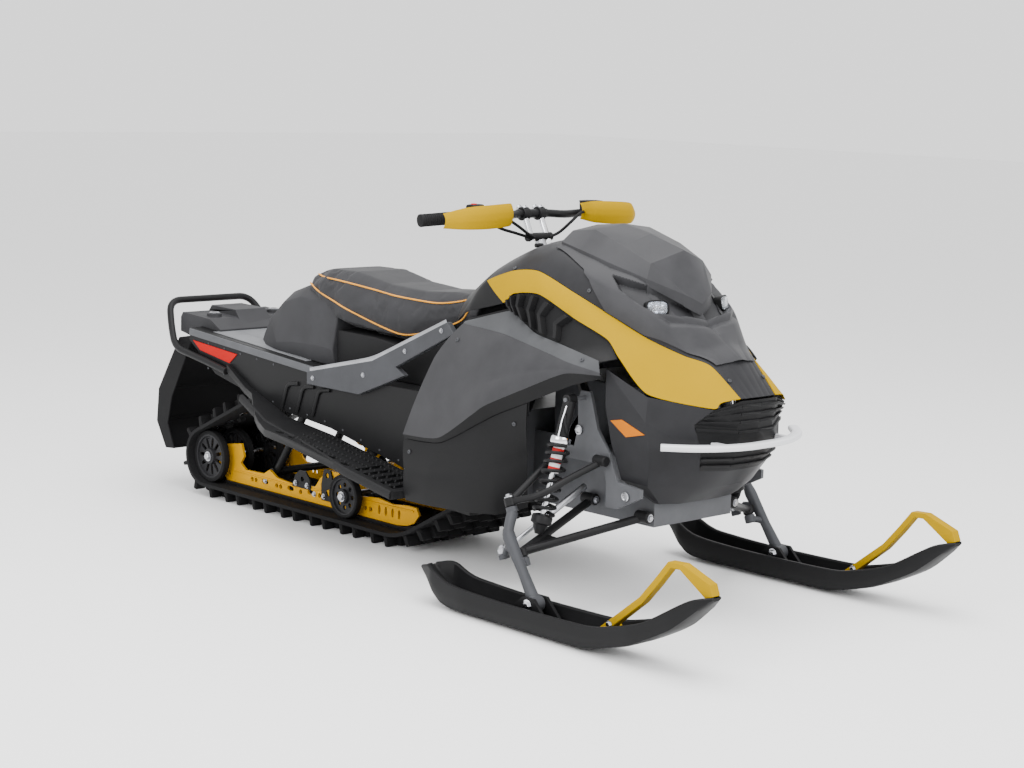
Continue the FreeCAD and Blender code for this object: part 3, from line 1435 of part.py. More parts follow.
def make_spindles():
    """Forge each spindle from its upper ball down to the pivot foot, with its steering arm."""
    axis = steer_axis()
    low, high = lower_ball(), upper_ball()
    foot = Vector(ski_x, pivot_y, d.ski_pivot_height)
    knee = low - X_AXIS * float(d.spindle_offset) + axis * float(d.knee_height)
    cap_top = high - axis * float(d.ball_height + d.running_gap)
    cap_foot = high - axis * float(d.ball_height + d.ball_radius)
    stem = rod(cap_foot, knee, d.spindle_radius)
    cap = round_bar(cap_top, cap_foot, d.ball_radius)
    leg = rod(knee, foot, d.spindle_radius)
    seat = rod(low - axis * float(d.ball_height), low, d.ball_radius, DRUM_SIDES)
    web_foot = knee + (foot - knee) * WEB_JOIN_SHARE
    web = rod(low - axis * float(d.ball_height * HALF), web_foot, d.spindle_radius * WEB_RADIUS_SHARE)
    reach = X_AXIS * float(d.spindle_width * HALF)
    eye = rod(foot - reach, foot + reach, d.foot_radius, DRUM_SIDES)
    pad_top = tie_eye() - axis * float(d.running_gap)
    pad_foot = pad_top - axis * float(d.arm_pad_height)
    pad = rod(pad_foot, pad_top, d.tie_eye_radius, DRUM_SIDES)
    arm_end = knee + (foot - knee) * ARM_JOIN_SHARE
    arm = rod((pad_top + pad_foot) * HALF, arm_end, d.steer_arm_radius)
    spindle = stem.fuse([cap, leg, seat, web, eye, pad, arm])
    overrun = reach + X_AXIS * float(d.cut_overrun)
    bore = round_bar(foot - overrun, foot + overrun, d.pivot_bolt_radius + d.running_gap)
    above = rod(pad_top, pad_top + axis * float(d.tie_eye_height), d.tie_eye_radius + d.cut_overrun)
    spindle = spindle.cut(bore.fuse(above)).removeSplitter()
    code_part("spindle_right", spindle)
    code_part("spindle_left", mirrored(spindle))


def tie_eye():
    """Foot of the tie rod's outer eye, behind the steering axis."""
    axis = steer_axis()
    rake = math.radians(d.steer_rake)
    back = Vector(0, math.cos(rake), -math.sin(rake))
    base = lower_ball() + axis * float(d.tie_level)
    return base + back * float(d.steer_arm_length) - X_AXIS * float(d.tie_offset)


def make_tie_rods():
    """Make each tie rod: outer eye on the steering arm, thin end and thick tube."""
    axis = steer_axis()
    eye = tie_eye()
    centre = eye + axis * float(d.tie_eye_height * HALF)
    along, up = TIE_SHARES
    inner = Vector(
        -d.tower_spread * HALF + d.tie_inner_reach,
        tower_front + d.tower_length * along,
        d.bulkhead_floor + d.tower_height * up,
    )
    shoulder = centre + (inner - centre) * TIE_SPLIT_SHARE
    tie = rod(eye, eye + axis * float(d.tie_eye_height), d.tie_eye_radius, DRUM_SIDES)
    tie = tie.fuse([rod(centre, shoulder, d.tie_end_radius), rod(shoulder, inner, d.tie_rod_radius)])
    tie = tie.removeSplitter()
    code_part("tie_rod_right", tie)
    code_part("tie_rod_left", mirrored(tie))


# Skis


def make_ski(side, node, loop_node, runner_node):
    """Mould a ski with upturned ends, side rails and a saddle, then its loop and runner."""
    centre = side * d.ski_stance * HALF
    half = d.ski_width * HALF
    outline = place_shares(SKI_TOP_SHARES + SKI_KEEL_SHARES[::-1], front, d.ski_length, 0, d.ski_height)
    solid = prism(outline, centre - half, centre + half)
    plan = [(centre + across * half, front + along * d.ski_length) for across, along in SKI_PLAN_SHARES]
    plan += [(centre + centre - across, along) for across, along in plan[::-1]]
    solid = solid.common(plan_prism(plan, 0, d.ski_height + d.cut_overrun))
    keel = place_shares(SKI_KEEL_SHARES, front, d.ski_length, 0, d.ski_height)
    channel = [(along, up + d.ski_floor) for along, up in keel[1:-1]]
    top = d.ski_height + d.cut_overrun
    channel_outline = channel + [(channel[-1][0], top), (channel[0][0], top)]
    inside = half - d.ski_rail_wall
    narrow = [(centre + across * inside, front + along * d.ski_length) for across, along in SKI_PLAN_SHARES]
    narrow += [(centre + centre - across, along) for across, along in narrow[::-1]]
    trough = prism(channel_outline, centre - half, centre + half)
    trough = trough.common(plan_prism(narrow, 0, top))
    solid = solid.cut(trough)
    walls = []
    reach = d.spindle_width * HALF + d.running_gap
    for hand in (-1, 1):
        inner = centre + hand * reach
        saddle_outline = place_shares(SADDLE_SHARES, front, d.ski_length, 0, d.ski_height)
        walls.append(prism(saddle_outline, inner, inner + hand * d.saddle_wall))
    bolt_reach = reach + d.saddle_wall
    bolt = round_bar(
        Vector(centre - bolt_reach, pivot_y, d.ski_pivot_height),
        Vector(centre + bolt_reach, pivot_y, d.ski_pivot_height),
        d.pivot_bolt_radius,
    )
    saddle = walls[0].fuse([walls[1], bolt])
    solid = solid.fuse(saddle).removeSplitter()
    code_part(node, solid)
    strap = place_shares(LOOP_SHARES, front, d.ski_length, 0, d.ski_height)
    loop = prism(strap, centre - d.loop_width * HALF, centre + d.loop_width * HALF)
    pin_y, pin_z = place_shares([LOOP_PIN_SHARES], front, d.ski_length, 0, d.ski_height)[0]
    reach = inside - d.running_gap
    pin = rod(Vector(centre - reach, pin_y, pin_z), Vector(centre + reach, pin_y, pin_z), d.loop_pin_radius)
    loop = loop.fuse(pin)
    code_part(loop_node, loop.cut(solid))
    low_keel = [(along, up) for along, up in keel if up <= d.ski_height * RUNNER_LEVEL_SHARE]
    lowered = [(along, up - d.runner_height) for along, up in low_keel]
    runner_half = d.runner_width * HALF
    runner = prism(low_keel + lowered[::-1], centre - runner_half, centre + runner_half)
    code_part(runner_node, runner)


# Bodywork


def make_bodywork():
    """Build the hood, console, yellow sides, vents, side panels and lower panels as one skin."""
    lines = [body_line(shares) for shares in BODY_SHARES]
    skin = Skin(lines, d.panel_wall, True)
    last = len(lines[0]) - 1
    column = column_bore(d.post_clearance)
    console = skin.patch((0, VENT_LINE), (0, HOOD_STATION))
    hood = skin.patch((0, YELLOW_LINE), (HOOD_STATION, last))
    for node, half in (("console", console), ("hood", hood)):
        code_part(node, half.fuse(mirrored(half)).cut(column).removeSplitter())
    pair_part("hood_sides", skin.patch((YELLOW_LINE, VENT_LINE), (HOOD_STATION, last)))
    vent = skin.patch((VENT_LINE, SIDE_LINE), (HOOD_STATION, SIDE_STATIONS[1]))
    pair_part("vent_panels", vent.fuse(vent_fins(lines)).removeSplitter())
    pair_part("side_panels", skin.patch((SIDE_LINE, LOWER_LINE), SIDE_STATIONS))
    pair_part("lower_panels", skin.patch((LOWER_LINE, len(lines) - 1), LOWER_STATIONS))


def raised_plate(quad, shares, rise, facing):
    """Raise a plate on a patch between places given by shares, from inside the panel's wall."""
    corners = [surface_point(quad, across, down) for across, down in shares]
    out = (corners[2] - corners[0]).cross(corners[1] - corners[3]).normalize()
    if out.dot(facing) < 0:
        out = -out
    depth = float(d.panel_wall * HALF)
    return polygon_face_solid([corner - out * depth for corner in corners], out * (depth + float(rise)))


def vent_fins(lines):
    """Raise the bent fins of the side vent, each of two plates that meet at mid height."""
    upper, lower = lines[VENT_LINE], lines[SIDE_LINE]
    top, middle, foot = FIN_LEVEL_SHARES
    plates = []
    for name, places in VENT_FIN_SHARES.items():
        station = STATION_NAMES.index(name)
        following = station + 1
        quad = (upper[station], upper[following], lower[following], lower[station])
        for place in places:
            first, last = place - FIN_WIDTH_SHARE, place + FIN_WIDTH_SHARE
            bent_first, bent_last = first + FIN_BEND_SHARE, last + FIN_BEND_SHARE
            for low, high in ((top, middle), (foot, middle)):
                shares = [(first, low), (last, low), (bent_last, high), (bent_first, high)]
                plates.append(raised_plate(quad, shares, d.fin_rise, -X_AXIS))
    return plates


def grille_slats(lines):
    """Raise the level slats of the two grilles across the nose."""
    plates = []
    last = len(lines[0]) - 1
    for row, places in enumerate(SLAT_SHARES):
        for station in range(GRILLE_STATION, last - GRILLE_STATION):
            following = station + 1
            upper, lower = lines[row], lines[row + 1]
            quad = (upper[station], upper[following], lower[following], lower[station])
            for place in places:
                foot = place + SLAT_HEIGHT_SHARE
                shares = [(0, place), (1, place), (1, foot), (0, foot)]
                plates.append(raised_plate(quad, shares, d.slat_rise, -Y_AXIS))
    return plates


def column_bore(clearance):
    """Give the hole that the steering column passes through, with a clearance round it."""
    centre, axis = column_foot(), column_axis()
    reach = axis * float(d.body_height * HALF)
    return rod(centre - reach, centre + reach, d.post_radius + clearance, DRUM_SIDES)


def make_nose():
    """Build the nose shell in bands: fascia, upper and lower grilles and the pan."""
    lines = [body_line(shares) for shares in NOSE_SHARES]
    skin = Skin([across_line(line) for line in lines], d.panel_wall)
    last = len(skin.outer[0]) - 1
    bottom = len(lines) - 1
    side = skin.patch((0, bottom), (0, GRILLE_STATION))
    other = skin.patch((0, bottom), (last - GRILLE_STATION, last))
    middle = skin.patch((LOWER_GRILLE_LINE, bottom), (GRILLE_STATION, last - GRILLE_STATION))
    code_part("nose_pan", side.fuse([other, middle]).removeSplitter())
    upper = skin.patch((0, UPPER_GRILLE_LINE), (GRILLE_STATION, last - GRILLE_STATION))
    lower = skin.patch((UPPER_GRILLE_LINE, LOWER_GRILLE_LINE), (GRILLE_STATION, last - GRILLE_STATION))
    grilles = upper.fuse([lower] + grille_slats(skin.outer)).cut(nodes["nose_pan"].Shape)
    code_part("grilles", grilles.removeSplitter())


def nose_wall():
    """Give the whole nose shell as one solid."""
    return Skin([across_line(body_line(shares)) for shares in NOSE_SHARES], d.panel_wall).patch()


def across_line(line):
    """Continue a right-hand line over the centre to the left."""
    return line + [Vector(-p.x, p.y, p.z) for p in line[-2::-1]]


def make_visor():
    """Build the windshield stub as a shell that stands on the hood."""
    lines = [body_line(shares) for shares in VISOR_SHARES]
    visor = both_sides(filled(lines, d.visor_drop)).cut(hood_room())
    code_part("visor", max(visor.Solids, key=lambda solid: solid.Volume))


def make_front_bumper():
    """Bend the flattened bumper bar round the nose."""
    shares = FRONT_BUMPER_SHARES + FRONT_BUMPER_BACK_SHARES[::-1]
    plan = place_shares(shares, 0, -d.body_half_width, body_front, d.body_length)
    low = d.body_height * BUMPER_LEVEL_SHARE
    top = low + d.front_bumper_height
    bar = plan_prism(plan, low, top)
    across, along = BUMPER_STUB_SHARES
    stub_x = -d.body_half_width * across
    stub_y = body_front + d.body_length * along
    stub = block(Vector(stub_x, stub_y, low), Vector(stub_x + d.front_bumper_depth, body_front * HALF, top))
    bar = bar.fuse(stub)
    bar = both_sides(bar).cut(nose_wall())
    code_part("front_bumper", max(bar.Solids, key=lambda solid: solid.Volume))


# Steering


def column_axis():
    """Direction of the steering column, pointing up and back."""
    rake = math.radians(d.column_rake)
    return Vector(0, math.sin(rake), math.cos(rake))


def column_foot():
    """Place where the column leaves the hood."""
    return Vector(0, -d.column_y, d.column_height)


def make_steering():
    """Build the column, riser, handlebar, grips, guards and controls."""
    axis, foot = column_axis(), column_foot()
    post_end = foot + axis * float(d.riser_start)
    post = round_bar(foot - axis * float(d.post_depth), post_end, d.post_radius)
    code_part("steering_post", post)
    top = foot + axis * float(d.riser_start + d.riser_height)
    across = float(d.riser_spread * HALF)
    base = foot + axis * float(d.riser_start)
    side = X_AXIS * float(d.riser_spread * RISER_REACH_SHARE)
    lift = axis * float(d.riser_foot_radius + d.running_gap)
    riser = rod(base + lift - side, base + lift + side, d.riser_foot_radius)
    riser = riser.fuse(rod(top - side, top + side, d.clamp_radius, DRUM_SIDES))
    for hand in (-1, 1):
        offset = Vector(hand * across, 0, 0)
        riser = riser.fuse(rod(base + lift + offset, top + offset, d.riser_radius))
    right = [guard_point(top, shares) for shares in BAR_SHARES]
    left = [Vector(-p.x, p.y, p.z) for p in right[::-1]]
    bar = tube(right + left, d.bar_radius, d.bar_bend_radius)
    code_part("handlebar", bar)
    bar_room = tube(right + left, d.bar_radius + d.running_gap, d.bar_bend_radius)
    code_part("riser", riser.cut(bar_room))
    grip_end, grip_start = right[0], right[1]
    run = grip_start - grip_end
    run.normalize()
    grip = rod(grip_end - run * float(d.running_gap), grip_end + run * float(d.grip_length), d.grip_radius)
    pair_part("grips", outermost(grip.cut(bar_room)))
    guard = make_guard(top)
    stub = rod(right[1], guard_point(top, GUARD_STUB_SHARES), d.stub_radius)
    guard = guard.fuse(stub).cut(bar_room)
    pair_part("hand_guards", outermost(guard))


def guard_point(top, shares):
    """Place a point by its shares of the bar's half width from the middle of the bar."""
    across, back, lift = shares
    return top + Vector(-across, back, lift) * float(d.bar_half_width)


def make_guard(top):
    """Bow a shield in front of a grip."""
    lines = []
    for level, reach in GUARD_LEVEL_SHARES:
        offset = Vector(0, -reach, level) * float(d.guard_height)
        lines.append([guard_point(top, shares) + offset for shares in GUARD_SHARES])
    return Skin(lines, d.guard_wall).patch()


def surface_point(quad, across, down):
    """Place a point on a four-cornered patch by shares along its sides."""
    top = quad[0] + (quad[1] - quad[0]) * across
    low = quad[3] + (quad[2] - quad[3]) * across
    return top + (low - top) * down


def make_markers():
    """Fit the amber side markers on the nose and the red ones on the tunnel."""
    lines = [body_line(shares) for shares in NOSE_SHARES]
    quad = (lines[1][0], lines[1][1], lines[2][1], lines[2][0])
    corners = [surface_point(quad, across, down) for across, down in AMBER_SHARES]
    out = (corners[2] - corners[0]).cross(corners[1] - corners[0]).normalize()
    if out.x > 0:
        out = out * -1
    plate = polygon_face_solid(corners, out * float(d.marker_thickness))
    nose = nodes["nose_pan"].Shape
    pair_part("amber_markers", outermost(plate.cut(nose)))
    outline = place_shares(REFLECTOR_SHARES, tunnel_front, d.tunnel_length, 0, d.deck_height)
    body = padded_body("red_marker", "YZ_Plane", outline, -half_tunnel - d.marker_thickness, -half_tunnel)
    with_mirror("red_markers", body)


def polygon_face_solid(corners, move):
    """Close a thin plate between four corners and the same corners moved."""
    moved = [corner + move for corner in corners]
    count = len(corners)
    triangles = []
    for first in range(1, count - 1):
        triangles.append((corners[0], corners[first], corners[first + 1]))
        triangles.append((moved[0], moved[first + 1], moved[first]))
    ring, top = corners + [corners[0]], moved + [moved[0]]
    triangles += strip_quads(top, ring)
    return facet_solid(triangles)


def outermost(shape):
    """Keep the solid that reaches furthest to the right-hand side."""
    return min(shape.Solids, key=lambda solid: solid.BoundBox.XMin)


def make_headlamps():
    """Set a lamp lens each side of the cowl."""
    across, along, up = LAMP_SHARES
    centre = Vector(-across * d.body_half_width, body_front + along * d.body_length, up * d.body_height)
    aim = Vector(-LAMP_AIM_SHARES[0], -LAMP_AIM_SHARES[1], LAMP_AIM_SHARES[2]).normalize()
    lens_front = centre + aim * float(d.lens_size * HALF)
    lens = rod(centre - aim * float(d.lens_size), lens_front, d.lens_size * HALF, DRUM_SIDES)
    pair_part("headlamps", outermost(lens.cut(hood_room())))


def make_upper_frame():
    """Weld the tubes that carry the steering bearing above the engine."""
    axis, foot = column_axis(), column_foot()
    middle = foot - axis * float(d.bearing_depth)
    reach = axis * float(d.bearing_height * HALF)
    ring = rod(middle - reach, middle + reach, d.bearing_radius, DRUM_SIDES)
    top = d.deck_height * TUNNEL_SHARES[1][1]
    tubes = []
    for side in (-1, 1):
        hub = middle + X_AXIS * float(side * d.bearing_radius * HALF)
        foot_x = half_tunnel - d.frame_tube_radius - d.frame_tube_radius
        rear_foot = Vector(side * foot_x, tunnel_front - d.bulkhead_wall * HALF, top)
        tower_x = (d.tower_spread - d.tower_thickness) * HALF
        tower_top = Vector(side * tower_x, shock_top().y, shock_top().z)
        tubes.append(rod(hub, rear_foot, d.frame_tube_radius))
        tubes.append(rod(hub, tower_top, d.frame_tube_radius))
    frame = ring.fuse(tubes)
    bore_reach = axis * float(d.bearing_depth)
    bore = round_bar(middle - bore_reach, middle + bore_reach, d.post_radius + d.running_gap)
    frame = frame.cut(bore).cut(nodes["bulkhead"].Shape).cut(nodes["tunnel"].Shape)
    frame = max(frame.Solids, key=lambda solid: solid.Volume)
    code_part("upper_frame", frame)


def make_braces():
    """Forge the brace each side from the deck up to the console."""
    outline = place_shares(BRACE_SHARES, tunnel_front, d.tunnel_length, 0, d.deck_height)
    low = -half_tunnel - d.brace_thickness
    body = padded_body("brace_right", "YZ_Plane", outline, low, low + d.brace_thickness)
    with_mirror("frame_braces", body)


def make_seat_base():
    """Build the closed housing that carries the seat on the tunnel."""
    outline = place_shares(SEAT_BASE_SHARES, tunnel_front, d.tunnel_length, 0, d.deck_height)
    half = d.seat_base_width * HALF
    base = prism(outline, -half, half).cut(prism(deck_room(), -d.tunnel_width, d.tunnel_width))
    code_part("seat_base", base)


def check_document():
    """Stop if an object failed or a sub-part has no valid shape."""
    doc.recompute()
    for thing in doc.Objects:
        if "Invalid" in thing.State or "Error" in thing.State:
            raise RuntimeError("%s failed: %s" % (thing.Name, thing.State))
    for node, thing in nodes.items():
        if thing.Shape.isNull() or not thing.Shape.isValid():
            raise RuntimeError("%s has no valid shape" % node)


def export_nodes():
    """Write each sub-part's shape to its own file."""
    os.makedirs("parts", exist_ok=True)
    for node, thing in nodes.items():
        thing.Shape.exportStep("parts/%s.step" % node)


make_tunnel()
make_running_boards()
make_rear_bumper()
make_tail_cover()
make_tail_lamps()
make_snow_flap()
make_fuel_tank()
make_seat()
make_seat_base()
make_braces()
make_track()
make_rails()
make_slide_shoes()
make_idler_wheels()
make_idler_axles()
make_suspension_arms()
make_rear_shocks()
make_drive_axle()
make_bulkhead()
make_engine()
make_upper_frame()
make_lower_arms()
make_upper_arms()
make_shocks()
make_springs()
make_spindles()
make_tie_rods()
make_ski(-1, "ski_right", "ski_loop_right", "ski_runner_right")
make_ski(1, "ski_left", "ski_loop_left", "ski_runner_left")
make_bodywork()
make_nose()
make_visor()
make_front_bumper()
make_headlamps()
make_markers()
make_steering()
check_document()
export_nodes()
for name, part in sorted(nodes.items()):
    box = part.Shape.BoundBox
    print("%-18s solids %d  x %.0f..%.0f  y %.0f..%.0f  z %.0f..%.0f" % (
        name, len(part.Shape.Solids), box.XMin, box.XMax, box.YMin, box.YMax, box.ZMin, box.ZMax))
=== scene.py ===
"""A trail snowmobile, dressed: bodywork, seat, track, suspension, steering and trim.

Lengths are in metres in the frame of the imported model: the sled faces -Y and its left
side is +X. Each sub-assembly is a class that builds its pieces and says what they ride on.
"""

import logging
import math
from dataclasses import dataclass, field
from enum import Enum
from typing import Callable, Sequence

import bmesh
import bpy
import numpy as np
from mathutils import Matrix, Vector
from mathutils.bvhtree import BVHTree


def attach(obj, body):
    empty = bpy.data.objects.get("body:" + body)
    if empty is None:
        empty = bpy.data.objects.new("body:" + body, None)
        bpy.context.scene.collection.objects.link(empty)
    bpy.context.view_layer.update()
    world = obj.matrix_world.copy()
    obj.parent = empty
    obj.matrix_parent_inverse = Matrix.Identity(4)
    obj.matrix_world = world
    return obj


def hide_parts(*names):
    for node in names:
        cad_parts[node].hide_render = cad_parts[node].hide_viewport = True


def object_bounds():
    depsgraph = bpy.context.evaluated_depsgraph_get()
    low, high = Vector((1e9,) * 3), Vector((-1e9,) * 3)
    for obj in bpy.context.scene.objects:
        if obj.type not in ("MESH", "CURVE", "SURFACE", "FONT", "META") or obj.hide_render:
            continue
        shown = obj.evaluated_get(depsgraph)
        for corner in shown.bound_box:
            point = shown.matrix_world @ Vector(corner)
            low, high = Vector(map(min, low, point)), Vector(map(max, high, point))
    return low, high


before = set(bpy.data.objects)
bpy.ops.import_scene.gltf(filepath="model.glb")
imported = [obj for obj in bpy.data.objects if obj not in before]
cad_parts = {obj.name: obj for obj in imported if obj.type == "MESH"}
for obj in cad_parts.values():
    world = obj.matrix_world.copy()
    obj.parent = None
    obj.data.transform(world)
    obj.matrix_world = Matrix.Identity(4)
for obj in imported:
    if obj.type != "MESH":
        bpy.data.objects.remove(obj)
CAD_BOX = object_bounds()
LOG = logging.getLogger("snowmobile")
Array = np.ndarray
MM = 0.001
UP, ACROSS, ALONG = (0.0, 0.0, 1.0), (1.0, 0.0, 0.0), (0.0, 1.0, 0.0)
OUTWARD = (-1.0, 0.0, 0.0)
ORIGIN = (0.0, 0.0, 0.0)
HANDS = ("right", "left")

# Shapes


@dataclass
class Shape:
    """Points and faces, before they become a piece.

    Args:
        points: one row of x, y, z for each point.
        faces: arrays of point numbers, one array for each number of sides.
    """

    points: Array
    faces: list[Array]

    def moved(self, offset: Sequence[float]) -> "Shape":
        """The same shape shifted by an offset."""
        return Shape(self.points + np.array(offset, float), self.faces)

    def scaled(self, factors: Sequence[float]) -> "Shape":
        """The same shape stretched along the three axes."""
        return Shape(self.points * np.array(factors, float), self.faces)

    def turned(self, columns: Array) -> "Shape":
        """The same shape with its axes carried onto the columns of a matrix."""
        return Shape(self.points @ np.array(columns, float).T, self.faces)

    def stood(self, place: Sequence[float], axis: Sequence[float]) -> "Shape":
        """The same shape at a place, its third axis turned along a direction."""
        return self.turned(basis(axis)).moved(place)

    def mirrored(self) -> "Shape":
        """The shape reflected in the plane of symmetry, faces still outwards."""
        return Shape(self.points * (-1.0, 1.0, 1.0), [rows[:, ::-1] for rows in self.faces])

    def both(self) -> "Shape":
        """The shape together with its mirror image."""
        return joined([self, self.mirrored()])

    def handed(self, hand: str) -> "Shape":
        """The right-hand shape itself, or its mirror image for the left."""
        return self.mirrored() if hand == "left" else self


def joined(shapes: Sequence[Shape]) -> Shape:
    """Put several shapes in one.

    Args:
        shapes: the shapes, left where they are.

    Returns:
        One shape with all their points and faces.
    """
    starts = np.cumsum([0] + [len(shape.points) for shape in shapes])
    faces = [rows + start for shape, start in zip(shapes, starts) for rows in shape.faces]
    return Shape(np.concatenate([shape.points for shape in shapes]), faces)


def grid_faces(rows: int, columns: int, close_rows: bool = False, close_columns: bool = False) -> Array:
    """Number the quads of a grid of points.

    Args:
        rows: points along the first parameter.
        columns: points along the second parameter.
        close_rows: join the last row to the first.
        close_columns: join the last column to the first.

    Returns:
        One row of four point numbers for each quad.
    """
    row = np.arange(rows if close_rows else rows - 1)
    column = np.arange(columns if close_columns else columns - 1)
    i, j = np.meshgrid(row, column, indexing="ij")
    i_next, j_next = (i + 1) % rows, (j + 1) % columns
    corners = [i * columns + j, i * columns + j_next, i_next * columns + j_next, i_next * columns + j]
    return np.stack(corners, -1).reshape(-1, 4)


def sheet_shape(grid: Array) -> Shape:
    """An open surface from a grid of points; its front is the side that row x column points to."""
    rows, columns = grid.shape[:2]
    return Shape(grid.reshape(-1, 3), [grid_faces(rows, columns)[:, ::-1]])


def ring_shape(rings: Array, caps: bool = True) -> Shape:
    """A closed skin through rings of points.

    Args:
        rings: (rings, points, 3), each ring anticlockwise seen from the end it moves towards.
        caps: close both ends with flat faces.

    Returns:
        The skin, facing outwards.
    """
    count, around = rings.shape[:2]
    faces = [grid_faces(count, around, close_columns=True)]
    if caps:
        first = np.arange(around)[None, ::-1]
        faces += [first, first[:, ::-1] + (count - 1) * around]
    return Shape(rings.reshape(-1, 3), faces)


def hermite(points: Array, places: Array, tension: float = 1.0) -> Array:
    """Follow a smooth line through points.

    Between two points the line is the cubic whose end slopes are the tension times half the
    step between each point's neighbours. A tension of zero gives nearly straight runs.

    Args:
        points: (points, ...) places to pass through.
        places: numbers from 0 to the last point's number.
        tension: how round the line is.

    Returns:
        The line's points at those places.
    """
    slopes = np.gradient(points, axis=0) * tension
    cell = np.clip(np.floor(places).astype(int), 0, len(points) - 2)
    t = (places - cell).reshape(places.shape + (1,) * (points.ndim - 1))
    square, cube = t * t, t * t * t
    return (
        (2 * cube - 3 * square + 1) * points[cell]
        + (cube - 2 * square + t) * slopes[cell]
        + (3 * square - 2 * cube) * points[cell + 1]
        + (cube - square) * slopes[cell + 1]
    )


def spline(points: Sequence[Sequence[float]], count: int, tension: float = 1.0) -> Array:
    """Sample a smooth line through points at count places, evenly by point number."""
    array = np.array(points, float)
    return hermite(array, np.linspace(0, len(array) - 1, count), tension)


def rounded(points: Sequence[Sequence[float]], radius: float, steps: int = 6) -> Array:
    """Round the corners of a line of straight runs.

    Each corner becomes a parabola that starts and ends a radius away from it, or nearly half
    of the shorter run where that is less.

    Args:
        points: the corners, with both ends.
        radius: how far from a corner its curve starts.
        steps: points on each curve.

    Returns:
        The rounded line's points.
    """
    array = np.array(points, float)
    before, corner, after = array[:-2], array[1:-1], array[2:]
    back, ahead = before - corner, after - corner
    back_length = np.linalg.norm(back, axis=1, keepdims=True)
    ahead_length = np.linalg.norm(ahead, axis=1, keepdims=True)
    reach = np.minimum(radius, 0.48 * np.minimum(back_length, ahead_length))
    start, end = corner + back / back_length * reach, corner + ahead / ahead_length * reach
    t = np.linspace(0, 1, steps)[None, :, None]
    curve = (1 - t) ** 2 * start[:, None] + 2 * t * (1 - t) * corner[:, None] + t * t * end[:, None]
    return np.concatenate([array[:1], curve.reshape(-1, array.shape[1]), array[-1:]])


def circle(count: int, power: float = 2.0) -> Array:
    """Points round a unit circle, or round a squarer figure for a power above two."""
    angle = np.arange(count) * (2 * math.pi / count)
    pair = np.stack([np.cos(angle), np.sin(angle)], -1)
    return np.sign(pair) * np.abs(pair) ** (2.0 / power)


def unit(vector: Sequence[float]) -> Array:
    """The vector at a length of one."""
    array = np.array(vector, float)
    return array / np.linalg.norm(array, axis=-1, keepdims=True)


def frames(path: Array, side: Sequence[float] | None = None) -> tuple[Array, Array]:
    """Two directions across a path at each of its points.

    Args:
        path: (points, 3) the line.
        side: a direction that the line never follows; the least spread of the line if None.

    Returns:
        The across and upward directions, square to the line.
    """
    along = unit(np.gradient(path, axis=0))
    if side is None:
        spread = path - path.mean(0)
        direction = np.linalg.svd(spread, full_matrices=True)[2][-1]
    else:
        direction = unit(side)
    across = unit(np.cross(along, direction))
    return across, np.cross(across, along)


def sweep(profile: Array, path: Sequence[Sequence[float]], side: Sequence[float] | None = None,
          sizes: Array | float = 1.0) -> Shape:
    """Carry a closed profile along a path.

    Args:
        profile: (points, 2) across and up, anticlockwise.
        path: (points, 3) the line it follows.
        side: the direction that stands for up in the profile.
        sizes: a factor on the profile, one for all or one for each path point.

    Returns:
        The swept skin, closed at both ends.
    """
    line = np.array(path, float)
    across, up = frames(line, side)
    scale = np.broadcast_to(np.asarray(sizes, float), (len(line),))[:, None, None]
    offsets = profile[None, :, :1] * across[:, None] + profile[None, :, 1:] * up[:, None]
    return ring_shape((line[:, None] + scale * offsets)[:, ::-1])


def tube(path: Sequence[Sequence[float]], radius: Array | float, sides: int = 14,
         side: Sequence[float] | None = None) -> Shape:
    """A round bar along a path."""
    return sweep(circle(sides), path, side, radius)


def bar(start: Array, end: Array, radius: Array | float, sides: int = 14,
        side: Sequence[float] | None = None) -> Shape:
    """A straight round bar between two places."""
    return tube([start, (start + end) / 2, end], radius, sides, side)


def cross_bar(half: float, level: Sequence[float], radius: float, sides: int = 20) -> Shape:
    """A round bar across the sled at a (y, z), all in millimetres but its radius."""
    return bar(spot(-half, *level), spot(half, *level), radius, sides, UP)


def basis(axis: Sequence[float]) -> Array:
    """Matrix whose third column is the axis and whose first lies level."""
    third = unit(axis)
    guide = np.array(ALONG if abs(third @ UP) > 0.99 else UP)
    first = unit(np.cross(guide, third))
    return np.stack([first, np.cross(third, first), third], -1)


def raised_rings(profile: Sequence[Sequence[float]], ring: Array, caps: bool = True) -> Shape:
    """Stack copies of a flat ring about the third axis.

    Args:
        profile: (size, level) of each copy, from the low end to the high end.
        ring: (points, 2) the ring at a size of one.
        caps: close both ends.

    Returns:
        The skin through the copies.
    """
    pairs = np.array(profile, float)
    rings = np.empty((len(pairs), len(ring), 3))
    rings[..., :2] = pairs[:, None, :1] * ring
    rings[..., 2] = pairs[:, None, 1]
    return ring_shape(rings, caps)


def lathe(profile: Sequence[Sequence[float]], centre: Sequence[float] = ORIGIN,
          axis: Sequence[float] = UP, steps: int = 32, caps: bool = True) -> Shape:
    """Turn a profile about an axis.

    Args:
        profile: (radius, level) pairs from the low end to the high end.
        centre: the place of level zero.
        axis: the direction in which levels grow.
        steps: faces round the axis.
        caps: close both ends with flat faces.

    Returns:
        The turned skin.
    """
    return raised_rings(profile, circle(steps), caps).stood(centre, axis)


def bush(ends: float, middle: float, half: float, inset: float, centre: Sequence[float],
         axis: Sequence[float], steps: int = 28) -> Shape:
    """Turn a short sleeve with drawn-in ends.

    Args:
        ends: radius of its two ends.
        middle: radius between them.
        half: half its length.
        inset: how far from an end it reaches its full radius.
        centre: the place of its middle.
        axis: the direction it lies along.
        steps: faces round it.

    Returns:
        The closed sleeve.
    """
    profile = [(ends, -half), (middle, inset - half), (middle, half - inset), (ends, half)]
    return lathe(profile, centre, axis, steps)


